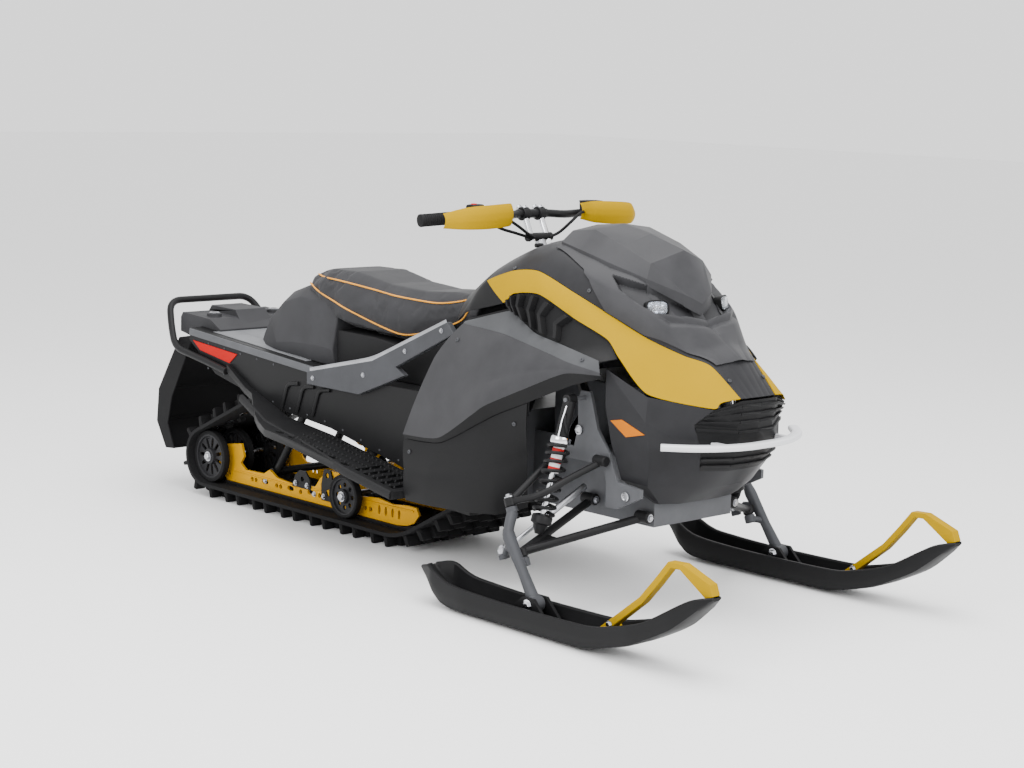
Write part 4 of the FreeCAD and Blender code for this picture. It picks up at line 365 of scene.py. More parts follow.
def box_shape(low: Sequence[float], high: Sequence[float]) -> Shape:
    """A block between two corners."""
    (x0, y0, z0), (x1, y1, z1) = low, high
    ring = ((y0, z0), (y1, z0), (y1, z1), (y0, z1))
    return ring_shape(np.array([[(x, y, z) for y, z in ring] for x in (x0, x1)]))


def hex_head(size: float, height: float) -> Shape:
    """A bolt head on its washer, standing up from the origin."""
    washer = lathe([(size * 0.78, 0), (size * 0.78, height * 0.25)], steps=16)
    levels = [(1.0, height * 0.25), (1.0, height * 0.85), (0.86, height)]
    return joined([washer, raised_rings(levels, circle(6) * (size * 0.55))])


def copies(shape: Shape, places: Sequence[Sequence[float]], axes: Sequence[Sequence[float]]) -> Shape:
    """Stand a shape at each place, its third axis along the direction given with it."""
    found = np.broadcast_to(np.array(axes, float), np.array(places, float).shape)
    return joined([shape.stood(place, axis) for place, axis in zip(places, found)])


def mm(*rows: Sequence[float]) -> Array:
    """Places given in millimetres, as an array in metres."""
    return np.array(rows, float) * MM


def spot(x: float, y: float, z: float) -> Array:
    """One place given in millimetres."""
    return mm((x, y, z))[0]


def mirrored_path(points: Array) -> Array:
    """A right-hand line carried on over the centre to the left."""
    return np.concatenate([points, points[::-1] * (-1.0, 1.0, 1.0)])


def oval(centre: Sequence[float], reach: float, height: float | None = None, power: float = 2.0,
         steps: int = 18) -> Array:
    """Points round an oval hole: half width, half height and how square it is."""
    return np.array(centre, float) + circle(steps, power) * (reach, reach if height is None else height)


def plate(outline: Sequence[Sequence[float]], holes: Sequence[Array], low: float, high: float) -> Shape:
    """A flat plate across the sled with holes cut through it, filled between its loops.

    Args:
        outline: its corners as (y, z).
        holes: loops inside the outline.
        low: where the plate starts in x.
        high: where it ends.

    Returns:
        The closed plate.
    """
    curve = bpy.data.curves.new("plate", "CURVE")
    curve.dimensions = "2D"
    curve.fill_mode = "BOTH"
    curve.extrude = (high - low) / 2
    for loop in (outline, *holes):
        pairs = np.array(loop, float)
        line = curve.splines.new("POLY")
        line.points.add(len(pairs) - 1)
        line.points.foreach_set("co", np.column_stack([pairs, pairs * 0 + (0.0, 1.0)]).ravel())
        line.use_cyclic_u = True
    holder = bpy.data.objects.new("plate", curve)
    mesh = bpy.data.meshes.new_from_object(holder)
    points = read_points(mesh) + (0.0, 0.0, (low + high) / 2)
    faces = [
        np.array([face.vertices[:] for face in mesh.polygons if len(face.vertices) == sides])
        for sides in sorted({len(face.vertices) for face in mesh.polygons})
    ]
    bpy.data.objects.remove(holder)
    bpy.data.curves.remove(curve)
    bpy.data.meshes.remove(mesh)
    return Shape(points[:, [2, 0, 1]], faces)


def read_points(mesh: bpy.types.Mesh) -> Array:
    """A mesh's points as rows."""
    points = np.empty(len(mesh.vertices) * 3)
    mesh.vertices.foreach_get("co", points)
    return points.reshape(-1, 3)


def inside_distance(points: Array, outline: Array) -> Array:
    """How far points lie inside a flat outline; below zero outside it.

    The distance is the least to any side. A point is inside when a line from it to the right
    crosses the sides an odd number of times.

    Args:
        points: (..., 2) the points.
        outline: (corners, 2) the outline.

    Returns:
        One distance for each point.
    """
    start, run = outline, np.roll(outline, -1, axis=0) - outline
    gap = points[..., None, :] - start
    share = np.clip((gap * run).sum(-1) / (run * run).sum(-1), 0.0, 1.0)
    distance = np.linalg.norm(gap - share[..., None] * run, axis=-1).min(-1)
    level = points[..., None, 1]
    spans = (start[:, 1] > level) != ((start + run)[:, 1] > level)
    rise = np.where(run[:, 1] == 0, 1e-9, run[:, 1])
    crossed = points[..., None, 0] < start[:, 0] + (level - start[:, 1]) * run[:, 0] / rise
    return np.where((spans & crossed).sum(-1) % 2 == 1, distance, -distance)


def pressed(u: Array, v: Array, outline: Sequence[Sequence[float]], width: float,
            cell: Sequence[float] = (0.1, 0.065)) -> Array:
    """Share from zero to one by which a place lies inside a pressed outline.

    Args:
        u: places along a skin.
        v: places across it.
        outline: the corners as (u, v).
        width: how wide the slope at the edge is, in metres.
        cell: size of one step of u and of v, in metres.

    Returns:
        Zero outside, one past the slope, a smooth step between.
    """
    size = np.array(cell)
    found = inside_distance(np.stack([u, v], -1) * size, np.array(outline, float) * size)
    share = np.clip(found / width, 0.0, 1.0)
    return share * share * (3 - 2 * share)


def helix(start: Array, end: Array, radius: float, turns: float, steps: int = 22) -> Array:
    """A coil's centre line, with its last turns closed up.

    Args:
        start: middle of its first turn.
        end: middle of its last.
        radius: of the coil.
        turns: how many times it goes round.
        steps: points to a turn.

    Returns:
        The line's points.
    """
    t = np.linspace(0.0, 1.0, int(turns * steps) + 1)
    columns = basis(end - start)
    angle = t * turns * 2 * math.pi
    level = t - 0.21 / turns * np.sin(t * 2 * math.pi)
    ring = np.cos(angle)[:, None] * columns[:, 0] + np.sin(angle)[:, None] * columns[:, 1]
    return start + (end - start) * level[:, None] + ring * radius


# Pieces


@dataclass(frozen=True)
class Edge:
    """How a piece's edges and walls are finished.

    Args:
        bevel: width of the rounded edges.
        segments: steps across a rounded edge.
        angle: smallest corner that is rounded, in degrees.
        wall: thickness given to an open sheet, inwards.
        levels: subdivision levels.
        weld: distance within which points are merged first.
        even: keep the wall's thickness even round corners.
        flat: join the triangles of flat faces first.
    """

    bevel: float = 0.0
    segments: int = 2
    angle: float = 30.0
    wall: float = 0.0
    levels: int = 0
    weld: float = 0.00001
    even: bool = True
    flat: bool = False


PLAIN = Edge()


def clean_mesh(mesh: bpy.types.Mesh, edge: Edge, flatten: bool, outward: bool = False) -> None:
    """Merge a mesh's doubles, drop what has no area and mark its corners.

    Args:
        mesh: the mesh to change.
        edge: gives the merge distance and the corner angle.
        flatten: join the triangles of each flat face.
        outward: turn the faces of closed shapes outwards.
    """
    work = bmesh.new()
    work.from_mesh(mesh)
    bmesh.ops.remove_doubles(work, verts=work.verts, dist=edge.weld)
    bmesh.ops.dissolve_degenerate(work, edges=work.edges, dist=edge.weld)
    if flatten:
        bmesh.ops.dissolve_limit(work, angle_limit=math.radians(1.0), verts=work.verts, edges=work.edges)
    if outward:
        bmesh.ops.recalc_face_normals(work, faces=work.faces)
    work.to_mesh(mesh)
    work.free()
    mesh.shade_smooth()
    mesh.set_sharp_from_angle(angle=math.radians(edge.angle))


def finish_edges(piece: bpy.types.Object, edge: Edge) -> None:
    """Give a piece its wall, rounded edges and subdivision as modifiers.

    Args:
        piece: the piece.
        edge: what it gets.
    """
    if edge.wall:
        wall = piece.modifiers.new("wall", "SOLIDIFY")
        wall.thickness = edge.wall
        wall.offset = -1.0
        wall.use_even_offset = edge.even
        wall.thickness_clamp = 1.0
    if edge.bevel:
        bevel = piece.modifiers.new("edges", "BEVEL")
        bevel.width = edge.bevel
        bevel.segments = edge.segments
        bevel.limit_method = "ANGLE"
        bevel.angle_limit = math.radians(edge.angle)
        bevel.use_clamp_overlap = True
        bevel.harden_normals = True
    if edge.levels:
        smooth = piece.modifiers.new("smooth", "SUBSURF")
        smooth.levels = smooth.render_levels = edge.levels


def stand_piece(name: str, mesh: bpy.types.Mesh, finish: "Finish", body: str, edge: Edge,
                replaced: Sequence[str]) -> bpy.types.Object:
    """Make a cleaned mesh a piece of the sled.

    Args:
        name: the piece's name.
        mesh: its mesh in the sled's frame.
        finish: what it is made of.
        body: the body that it rides on.
        edge: how its edges and walls are finished.
        replaced: the frame's nodes that it stands for.

    Returns:
        The new object, at the origin.
    """
    piece = bpy.data.objects.new(name, mesh)
    bpy.context.scene.collection.objects.link(piece)
    mesh.materials.append(finish.material())
    finish_edges(piece, edge)
    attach(piece, body)
    if replaced:
        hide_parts(*replaced)
    LOG.info("%s: %d points on %s", name, len(mesh.vertices), body)
    return piece


def node_mesh(node: str, edge: Edge) -> bpy.types.Mesh:
    """A cleaned copy of a frame node's mesh with its flat faces joined and no materials."""
    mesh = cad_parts[node].data.copy()
    mesh.name = node + "_fine"
    if mesh.has_custom_normals:
        mesh.normals_split_custom_set([ORIGIN] * len(mesh.loops))
    clean_mesh(mesh, edge, True)
    mesh.materials.clear()
    return mesh


@dataclass
class Assembly:
    """Pieces that ride on one body.

    Args:
        body: the body.
    """

    body: str = "chassis"

    def add(self, name: str, shape: Shape, finish: "Finish", edge: Edge = PLAIN,
            replaced: Sequence[str] = (), body: str = "") -> None:
        """Add a shape as a piece.

        Args:
            name: the piece's name.
            shape: its points and faces in the sled's frame.
            finish: what it is made of.
            edge: how its edges and walls are finished.
            replaced: the frame's nodes that it stands for.
            body: another body for it to ride on.
        """
        mesh = bpy.data.meshes.new(name)
        mesh.from_pydata(shape.points.tolist(), [], [row for rows in shape.faces for row in rows.tolist()])
        clean_mesh(mesh, edge, edge.flat, not edge.wall)
        stand_piece(name, mesh, finish, body or self.body, edge, replaced)

    def pair(self, name: str, shape: Shape, finish: "Finish", edge: Edge = PLAIN,
             replaced: Sequence[str] = ()) -> None:
        """Add a right-hand shape and its mirror image as one piece."""
        self.add(name, shape.both(), finish, edge, replaced)

    def refine(self, node: str, finish: "Finish", edge: Edge = Edge(bevel=0.0008), body: str = "") -> None:
        """Stand a finer copy of a frame node in its place, flat faces joined and edges rounded."""
        stand_piece(node + "_fine", node_mesh(node, edge), finish, body or self.body, edge, [node])


# Finishes


Socket = bpy.types.NodeSocket


class Surface(Enum):
    """What a finish feels like, which chooses its relief."""

    MOULDED = "moulded"
    PAINTED = "painted"
    BRUSHED = "brushed"
    RUBBER = "rubber"
    VINYL = "vinyl"
    CLEAR = "clear"


class Tree:
    """Short words for building a node tree."""

    def __init__(self, tree: bpy.types.NodeTree) -> None:
        """Start on an empty tree."""
        self.tree = tree
        tree.nodes.clear()

    def add(self, kind: str, inputs: dict | None = None, **settings: object) -> bpy.types.Node:
        """Add a node.

        Args:
            kind: the node's type name after "ShaderNode".
            inputs: values or sockets for its inputs, by name or number.
            settings: the node's own properties.

        Returns:
            The node.
        """
        node = self.tree.nodes.new("ShaderNode" + kind)
        for key, value in settings.items():
            setattr(node, key, value)
        for key, value in (inputs or {}).items():
            if isinstance(value, Socket):
                self.tree.links.new(value, node.inputs[key])
            else:
                node.inputs[key].default_value = value
        return node

    def maths(self, operation: str, first: object, second: object = 0.0, clamp: bool = False) -> Socket:
        """A sum on two numbers or sockets."""
        return self.add("Math", {0: first, 1: second}, operation=operation, use_clamp=clamp).outputs[0]

    def mix(self, factor: object, first: object, second: object) -> Socket:
        """A mix of two colours."""
        return self.add("Mix", {0: factor, 6: first, 7: second}, data_type="RGBA").outputs[2]

    def remap(self, value: object, low: float, high: float, start: float = 0.0, end: float = 1.0) -> Socket:
        """A number carried from one range to another and kept inside it."""
        return self.add("MapRange", {0: value, 1: low, 2: high, 3: start, 4: end}).outputs[0]

    def noise(self, scale: object, detail: float, place: Socket | None = None,
              roughness: float = 0.5) -> Socket:
        """Noise from zero to one, over the piece itself unless another place is given."""
        inputs = {"Vector": place or self.here(), "Scale": scale, "Detail": detail, "Roughness": roughness}
        return self.add("TexNoise", inputs).outputs["Fac"]

    def here(self, output: str = "Object") -> Socket:
        """A place on the piece, or another of its coordinates."""
        return self.add("TexCoord").outputs[output]


@dataclass(frozen=True)
class Effect:
    """A shared effect, kept as a node group.

    Args:
        name: the group's name.
        build: makes the group's inside from its tree and inputs, and returns what it puts out.
        control: name of the number that sets the effect.
    """

    name: str
    build: Callable[[Tree, Socket], Socket]
    control: str

    def group(self) -> bpy.types.NodeTree:
        """Give the node group, built at its first use."""
        found = bpy.data.node_groups.get("fine_" + self.name)
        if found:
            return found
        made = bpy.data.node_groups.new("fine_" + self.name, "ShaderNodeTree")
        made.interface.new_socket(name=self.control, in_out="INPUT", socket_type="NodeSocketFloat")
        made.interface.new_socket(name="Result", in_out="OUTPUT", socket_type="NodeSocketFloat")
        tree = Tree(made)
        given = made.nodes.new("NodeGroupInput").outputs[self.control]
        made.links.new(self.build(tree, given), made.nodes.new("NodeGroupOutput").inputs[0])
        return made

    def placed(self, tree: Tree, value: float) -> Socket:
        """The effect in a material, at a value of its own."""
        return tree.add("Group", {self.control: value}, node_tree=self.group()).outputs[0]


def edge_wear_and_painted_highlight(tree: Tree, amount: Socket) -> Socket:
    """Mask of edges lightened partly as rubbed wear and partly as a painted edge highlight: how far the
    rounded normal leans from the true one, broken up by noise.
    """
    rounded_normal = tree.add("Bevel", {"Radius": 0.0015}, samples=4).outputs[0]
    true_normal = tree.add("NewGeometry").outputs["Normal"]
    lean = tree.add("VectorMath", {0: rounded_normal, 1: true_normal}, operation="DOT_PRODUCT")
    edge = tree.remap(lean.outputs["Value"], 0.985, 0.8)
    mask = tree.maths("MULTIPLY", edge, tree.remap(tree.noise(60.0, 4.0), 0.42, 0.66))
    return tree.maths("MULTIPLY", mask, amount, True)


def settled_dust(tree: Tree, amount: Socket) -> Socket:
    """Mask of fine dust: faces that look up, thinned by two sizes of noise."""
    split = tree.add("SeparateXYZ", {0: tree.here("Normal")})
    cloud = tree.maths("MULTIPLY", tree.remap(tree.noise(9.0, 5.0), 0.35, 0.75), tree.noise(160.0, 3.0))
    mask = tree.maths("MULTIPLY", cloud, tree.remap(split.outputs[2], -0.2, 1.0))
    return tree.maths("MULTIPLY", mask, amount, True)


def mottle(tree: Tree, scale: Socket) -> Socket:
    """Slow and fine drift of tone over a surface, from zero to one."""
    return tree.remap(tree.noise(scale, 4.0, roughness=0.6), 0.3, 0.7)


def pebble(tree: Tree, scale: Socket) -> Socket:
    """Relief of moulded or upholstery grain: rounded cells over a softer noise."""
    cells = tree.add("TexVoronoi", {"Vector": tree.here(), "Scale": scale}, feature="SMOOTH_F1")
    soft = tree.noise(tree.maths("MULTIPLY", scale, 0.31), 3.0)
    return tree.maths("ADD", tree.maths("MULTIPLY", cells.outputs["Distance"], -0.7), soft)


def orange_peel(tree: Tree, scale: Socket) -> Socket:
    """Relief of sprayed paint or a clear lens: two sizes of smooth noise."""
    fine = tree.noise(tree.maths("MULTIPLY", scale, 3.7), 2.0)
    return tree.maths("ADD", tree.noise(scale, 2.0), tree.maths("MULTIPLY", fine, 0.35))


def brushing(tree: Tree, scale: Socket) -> Socket:
    """Relief of drawn or brushed metal: noise stretched along the length."""
    stretched = tree.add("Mapping", {"Vector": tree.here(), "Scale": (1.0, 0.04, 1.0)}).outputs[0]
    return tree.noise(scale, 3.0, stretched)


WEAR_AND_PAINTED_HIGHLIGHT = Effect("edge_wear_and_painted_highlight", edge_wear_and_painted_highlight, "Amount")
DUST = Effect("settled_dust", settled_dust, "Amount")
DRIFT = Effect("mottle", mottle, "Scale")
RELIEF = {
    Surface.MOULDED: Effect("pebble", pebble, "Scale"),
    Surface.PAINTED: Effect("orange_peel", orange_peel, "Scale"),
    Surface.BRUSHED: Effect("brushing", brushing, "Scale"),
}
RELIEF[Surface.RUBBER] = RELIEF[Surface.VINYL] = RELIEF[Surface.MOULDED]
RELIEF[Surface.CLEAR] = RELIEF[Surface.PAINTED]
DUST_COLOUR = (0.42, 0.42, 0.43, 1.0)
Colour = tuple[float, float, float]


def tone(red: int, green: int, blue: int) -> Colour:
    """Turn a screen colour from 0 to 255 into the linear colour that shaders use."""
    shares = np.array([red, green, blue]) / 255.0
    linear = np.where(shares <= 0.04045, shares / 12.92, ((shares + 0.055) / 1.055) ** 2.4)
    return tuple(float(value) for value in linear)


@dataclass(frozen=True)
class Finish:
    """One material of the sled.

    Args:
        name: the material's name.
        slot: the record's slot that it belongs to; not used.
        colour: its linear colour.
        roughness: how dull it is.
        surface: which relief it carries.
        metallic: one for bare metal.
        relief: depth of the relief, in millimetres.
        scale: cells or ripples of the relief to the metre.
        drift: how far the tone drifts, as a share.
        rub_and_highlight: how much its edges are lightened, partly as rubbed wear and partly as a painted
            edge highlight.
        rub_and_highlight_colour: colour of those lightened edges, partly rubbed wear and partly painted
            highlight.
        dust: how much dust lies on it.
        shine: strength of its plain reflection.
        sheen: soft light at grazing angles.
        clear: share of light let through.
    """

    name: str
    slot: str
    colour: Colour
    roughness: float
    surface: Surface = Surface.MOULDED
    metallic: float = 0.0
    relief: float = 0.05
    scale: float = 900.0
    drift: float = 0.12
    rub_and_highlight: float = 0.12
    rub_and_highlight_colour: Colour = (0.2, 0.2, 0.2)
    dust: float = 0.015
    shine: float = 0.15
    sheen: float = 0.0
    clear: float = 0.0

    def drifted(self, side: int) -> tuple[float, ...]:
        """The colour at one end of its drift."""
        return tuple(min(1.0, value * (1 + side * self.drift)) for value in self.colour) + (1.0,)

    def material(self) -> bpy.types.Material:
        """Give the material, built at its first use."""
        found = bpy.data.materials.get("fine_" + self.name)
        if found:
            return found
        made = bpy.data.materials.new("fine_" + self.name)
        made.use_nodes = True
        tree = Tree(made.node_tree)
        drift = DRIFT.placed(tree, 14.0)
        colour = tree.mix(drift, self.drifted(-1), self.drifted(1))
        rough = tree.remap(drift, 0.0, 1.0, self.roughness * 0.9, min(1.0, self.roughness * 1.1))
        if self.rub_and_highlight:
            # Lightens the edges: partly rubbed wear, partly a painted edge highlight.
            colour = tree.mix(WEAR_AND_PAINTED_HIGHLIGHT.placed(tree, self.rub_and_highlight), colour, self.rub_and_highlight_colour + (1.0,))
        if self.dust:
            dust = DUST.placed(tree, self.dust)
            colour = tree.mix(dust, colour, DUST_COLOUR)
            rough = tree.maths("ADD", rough, tree.maths("MULTIPLY", dust, 0.4), True)
        height = RELIEF[self.surface].placed(tree, self.scale)
        bump = tree.add("Bump", {"Height": height, "Strength": 0.6, "Distance": self.relief * MM})
        shader = tree.add("BsdfPrincipled", {
            "Base Color": colour, "Roughness": rough, "Metallic": self.metallic, "Normal": bump.outputs[0],
            "Sheen Weight": self.sheen, "Specular IOR Level": self.shine,
            "Transmission Weight": self.clear, "IOR": 1.46,
        })
        tree.add("OutputMaterial", {"Surface": shader.outputs[0]}).is_active_output = True
        return made


# A lighter copy of the grey shell plastic for the panel strip that faces up: painted light for the light
# falling on that strip.
SHELL_GREY_PAINTED_LIGHT = Finish("shell_grey_painted_light", "grey_plastic", tone(66, 67, 69), 0.42, scale=1400.0, relief=0.03)
SHELL_GREY = Finish("shell_grey", "grey_plastic", tone(52, 52, 54), 0.42, scale=1400.0, relief=0.03)
SHELL_DARK = Finish("shell_dark", "black_plastic", tone(36, 36, 38), 0.45, scale=1400.0, relief=0.03)
SHELL_BLACK = Finish(
    "shell_black", "black_plastic", tone(20, 20, 21), 0.5, scale=1400.0, relief=0.03, shine=0.14,
)
SHELL_YELLOW = Finish(
    "shell_yellow", "yellow_plastic", (0.34, 0.205, 0.0), 0.42, Surface.PAINTED, relief=0.02, drift=0.02,
    dust=0.0, rub_and_highlight=0.0, shine=0.01,
)
MOULD_GREY = Finish("mould_grey", "grey_plastic", tone(50, 50, 52), 0.55, scale=900.0, relief=0.06)
CLADDING = Finish("cladding", "black_plastic", tone(28, 28, 29), 0.6, scale=700.0, relief=0.08)
SATIN_BLACK = Finish(
    "satin_black", "black_paint", tone(24, 24, 25), 0.4, Surface.PAINTED, relief=0.03, rub_and_highlight_colour=(0.2, 0.2, 0.21),
)
TOWER_GREY = Finish(
    "tower_grey", "black_paint", tone(82, 83, 86), 0.45, Surface.PAINTED, 0.2, 0.03, rub_and_highlight_colour=(0.3, 0.3, 0.31),
)
DECK_GREY = Finish("deck_grey", "grey_paint", tone(104, 105, 108), 0.45, Surface.PAINTED, relief=0.03)
FORGED = Finish(
    "forged", "forged", tone(64, 65, 68), 0.45, Surface.PAINTED, 0.15, 0.03, rub_and_highlight_colour=(0.3, 0.3, 0.31),
)
BARE_STEEL = Finish(
    "bare_steel", "steel", tone(170, 171, 175), 0.28, Surface.BRUSHED, 1.0, 0.01, 1200.0, rub_and_highlight=0.0, dust=0.05,
)
BRIGHT_STEEL = Finish(
    "bright_steel", "steel", tone(222, 223, 227), 0.14, Surface.BRUSHED, 1.0, 0.005, 1500.0, rub_and_highlight=0.0,
    dust=0.03,
)
RAIL_YELLOW = Finish(
    "rail_yellow", "yellow_metal", (0.6, 0.3, 0.002), 0.36, Surface.PAINTED, 0.1, 0.03, drift=0.06,
    rub_and_highlight_colour=(0.7, 0.5, 0.2), dust=0.0, shine=0.05,
)
RUBBER = Finish(
    "rubber", "rubber", tone(24, 24, 25), 0.72, Surface.RUBBER, 0.0, 0.12, 500.0,
    rub_and_highlight_colour=(0.08, 0.08, 0.08), shine=0.14,
)
TREAD_GREY = Finish("tread_grey", "rubber", tone(44, 44, 45), 0.75, Surface.RUBBER, 0.0, 0.12, 500.0)
VINYL = Finish(
    "vinyl", "vinyl", tone(46, 46, 48), 0.58, Surface.VINYL, 0.0, 0.12, 800.0, rub_and_highlight=0.0, sheen=0.03,
)
PIPING = Finish("piping", "yellow_plastic", (0.62, 0.27, 0.03), 0.5, Surface.VINYL, rub_and_highlight=0.0, dust=0.05)
WHITE_BAR = Finish(
    "white_bar", "forged", tone(214, 215, 218), 0.36, Surface.PAINTED, 0.15, 0.03, drift=0.04,
    rub_and_highlight_colour=(0.8, 0.8, 0.8),
)
RED_LENS = Finish(
    "red_lens", "red_lens", (0.42, 0.004, 0.003), 0.3, Surface.CLEAR, relief=0.02, scale=300.0, drift=0.05,
    rub_and_highlight=0.0, dust=0.0, shine=0.08,
)
RED_BAND = Finish("red_band", "steel", (0.5, 0.01, 0.01), 0.4, Surface.PAINTED, rub_and_highlight=0.0, dust=0.02)
WHITE_BAND = Finish("white_band", "steel", tone(224, 224, 226), 0.4, Surface.PAINTED, rub_and_highlight=0.0, dust=0.02)
AMBER_LENS = Finish(
    "amber_lens", "amber_lens", (0.5, 0.14, 0.0), 0.3, Surface.CLEAR, relief=0.02, scale=300.0, drift=0.05,
    rub_and_highlight=0.0, dust=0.0, shine=0.08,
)
LAMP_GLASS = Finish(
    "lamp_glass", "clear_lens", tone(236, 240, 246), 0.06, Surface.CLEAR, relief=0.01, scale=200.0,
    drift=0.02, rub_and_highlight=0.0, dust=0.0, shine=0.5, clear=0.92,
)
LAMP_BOWL = Finish(
    "lamp_bowl", "clear_lens", tone(190, 192, 198), 0.18, Surface.BRUSHED, 1.0, 0.005, rub_and_highlight=0.0, dust=0.0,
)

# Bodywork lines


class FeatureSkin:
    """The skin through a body's feature lines.

    The first parameter runs along the lines by station, the second across them by line
    number. Along a line the skin is a smooth curve; between two lines it is straight, swollen
    by a parabola of the strip's crown.
    """

    BEHIND = -1.03144
    SCALE = np.array([-0.35, 1.0, 0.98])
    STEP = 0.02

    def __init__(self, shares: Sequence, crowns: Sequence[float], tension: float = 0.7) -> None:
        """Place the lines.

        Args:
            shares: for each line its points, as thousandths of half width, length and height. A
                line that ends early stays at its last point.
            crowns: swelling of each strip, in metres.
            tension: how round the lines are.
        """
        longest = max(len(line) for line in shares)
        full = [[*line, *line[-1:] * (longest - len(line))] for line in shares]
        self.lines = np.array(full) / 1000 * self.SCALE + (0.0, self.BEHIND, 0.0)
        self.crowns = np.array(crowns, float)
        self.tension = tension

    def flat(self, u: Array, v: Array) -> tuple[Array, Array]:
        """Points between the lines before swelling.

        Args:
            u: places along the lines.
            v: places across them.

        Returns:
            The points, and the step from line to line at each.
        """
        rows = hermite(self.lines.transpose(1, 0, 2), u, self.tension)
        cell = np.clip(np.floor(v).astype(int), 0, len(self.lines) - 2)
        index = np.arange(u.size).reshape(u.shape)
        flat_rows = rows.reshape(u.size, len(self.lines), 3)
        first, second = flat_rows[index, cell], flat_rows[index, cell + 1]
        share = (v - cell)[..., None]
        return first + (second - first) * share, second - first

    def place(self, u: Array, v: Array, lift: Array | float = 0.0) -> Array:
        """Points of the skin.

        Args:
            u: places along the lines.
            v: places across the lines.
            lift: distance outwards from the skin.

        Returns:
            The points, one for each pair of parameters.
        """
        u, v = np.broadcast_arrays(np.asarray(u, float), np.asarray(v, float))
        base, across = self.flat(u, v)
        top = len(self.lines[0]) - 1
        ahead = self.flat(np.clip(u + self.STEP, 0, top), v)[0]
        back = self.flat(np.clip(u - self.STEP, 0, top), v)[0]
        normal = np.cross(across, ahead - back)
        normal /= np.maximum(np.linalg.norm(normal, axis=-1, keepdims=True), 1e-9)
        cell = np.clip(np.floor(v).astype(int), 0, len(self.lines) - 2)
        share = v - cell
        crown = np.minimum(self.crowns[cell], 0.05 * np.linalg.norm(across, axis=-1))
        swell = crown * 4 * share * (1 - share) + lift
        return base + normal * swell[..., None]


BODY_LINES = [
    [(0, 973, 791), (0, 891, 839), (0, 775, 898), (0, 676, 944), (0, 561, 959), (0, 431, 934),
     (0, 281, 867), (0, 181, 760), (0, 126, 714), (0, 79, 681), (0, 1, 596)],
    [(229, 967, 784), (257, 881, 832), (257, 773, 892), (286, 673, 937), (286, 561, 954), (343, 431, 923),
     (371, 291, 865), (257, 186, 781), (171, 131, 712), (100, 81, 680), (63, 2, 596)],
    [(371, 951, 760), (429, 861, 821), (457, 769, 876), (500, 666, 913), (486, 562, 933), (543, 444, 886),
     (529, 341, 842), (434, 231, 784), (300, 146, 706), (171, 86, 677), (129, 3, 596)],
    [(514, 931, 704), (657, 816, 786), (671, 758, 836), (663, 660, 872), (646, 571, 878), (614, 449, 831),
     (549, 337, 780), (457, 235, 729), (343, 152, 694), (243, 93, 672), (189, 5, 596)],
    [(714, 806, 750), (714, 806, 750), (749, 664, 786), (737, 630, 813), (720, 542, 819), (703, 415, 767),
     (686, 307, 726), (700, 258, 682), (651, 172, 600), (400, 36, 574), (357, 23, 588)],
    [(729, 817, 721), (729, 817, 721), (749, 635, 769), (766, 595, 753), (789, 525, 721), (800, 435, 705),
     (806, 381, 695), (823, 286, 678)],
    [(749, 819, 714), (749, 819, 714), (829, 641, 709), (846, 581, 701), (860, 511, 689), (874, 441, 677),
     (886, 371, 664), (863, 266, 649)],
    [(857, 891, 612), (857, 891, 612), (929, 741, 571), (951, 651, 582), (949, 561, 612), (929, 471, 633),
     (903, 376, 646), (866, 263, 645)],
    [(957, 972, 390), (957, 972, 390), (986, 817, 404), (1000, 684, 486), (1000, 631, 520), (966, 501, 580),
     (909, 376, 635), (863, 260, 642)],
    [(943, 971, 378), (943, 971, 378), (966, 815, 390), (943, 671, 464), (931, 613, 495), (914, 501, 543),
     (871, 361, 604), (840, 261, 635)],
    [(966, 961, 296), (966, 961, 296), (980, 851, 296), (949, 711, 321), (909, 621, 352), (814, 531, 393)],
    [(949, 957, 204), (949, 957, 204), (949, 881, 204), (914, 747, 207), (843, 631, 216), (686, 569, 240)],
]

Limit = Callable[[Array], Array]
Lift = float | Callable[[Array, Array], Array]
Cut = Sequence[tuple[float, ...]]
SEAM = Edge(0.0012, 2, 30.0, 0.0032, even=False)


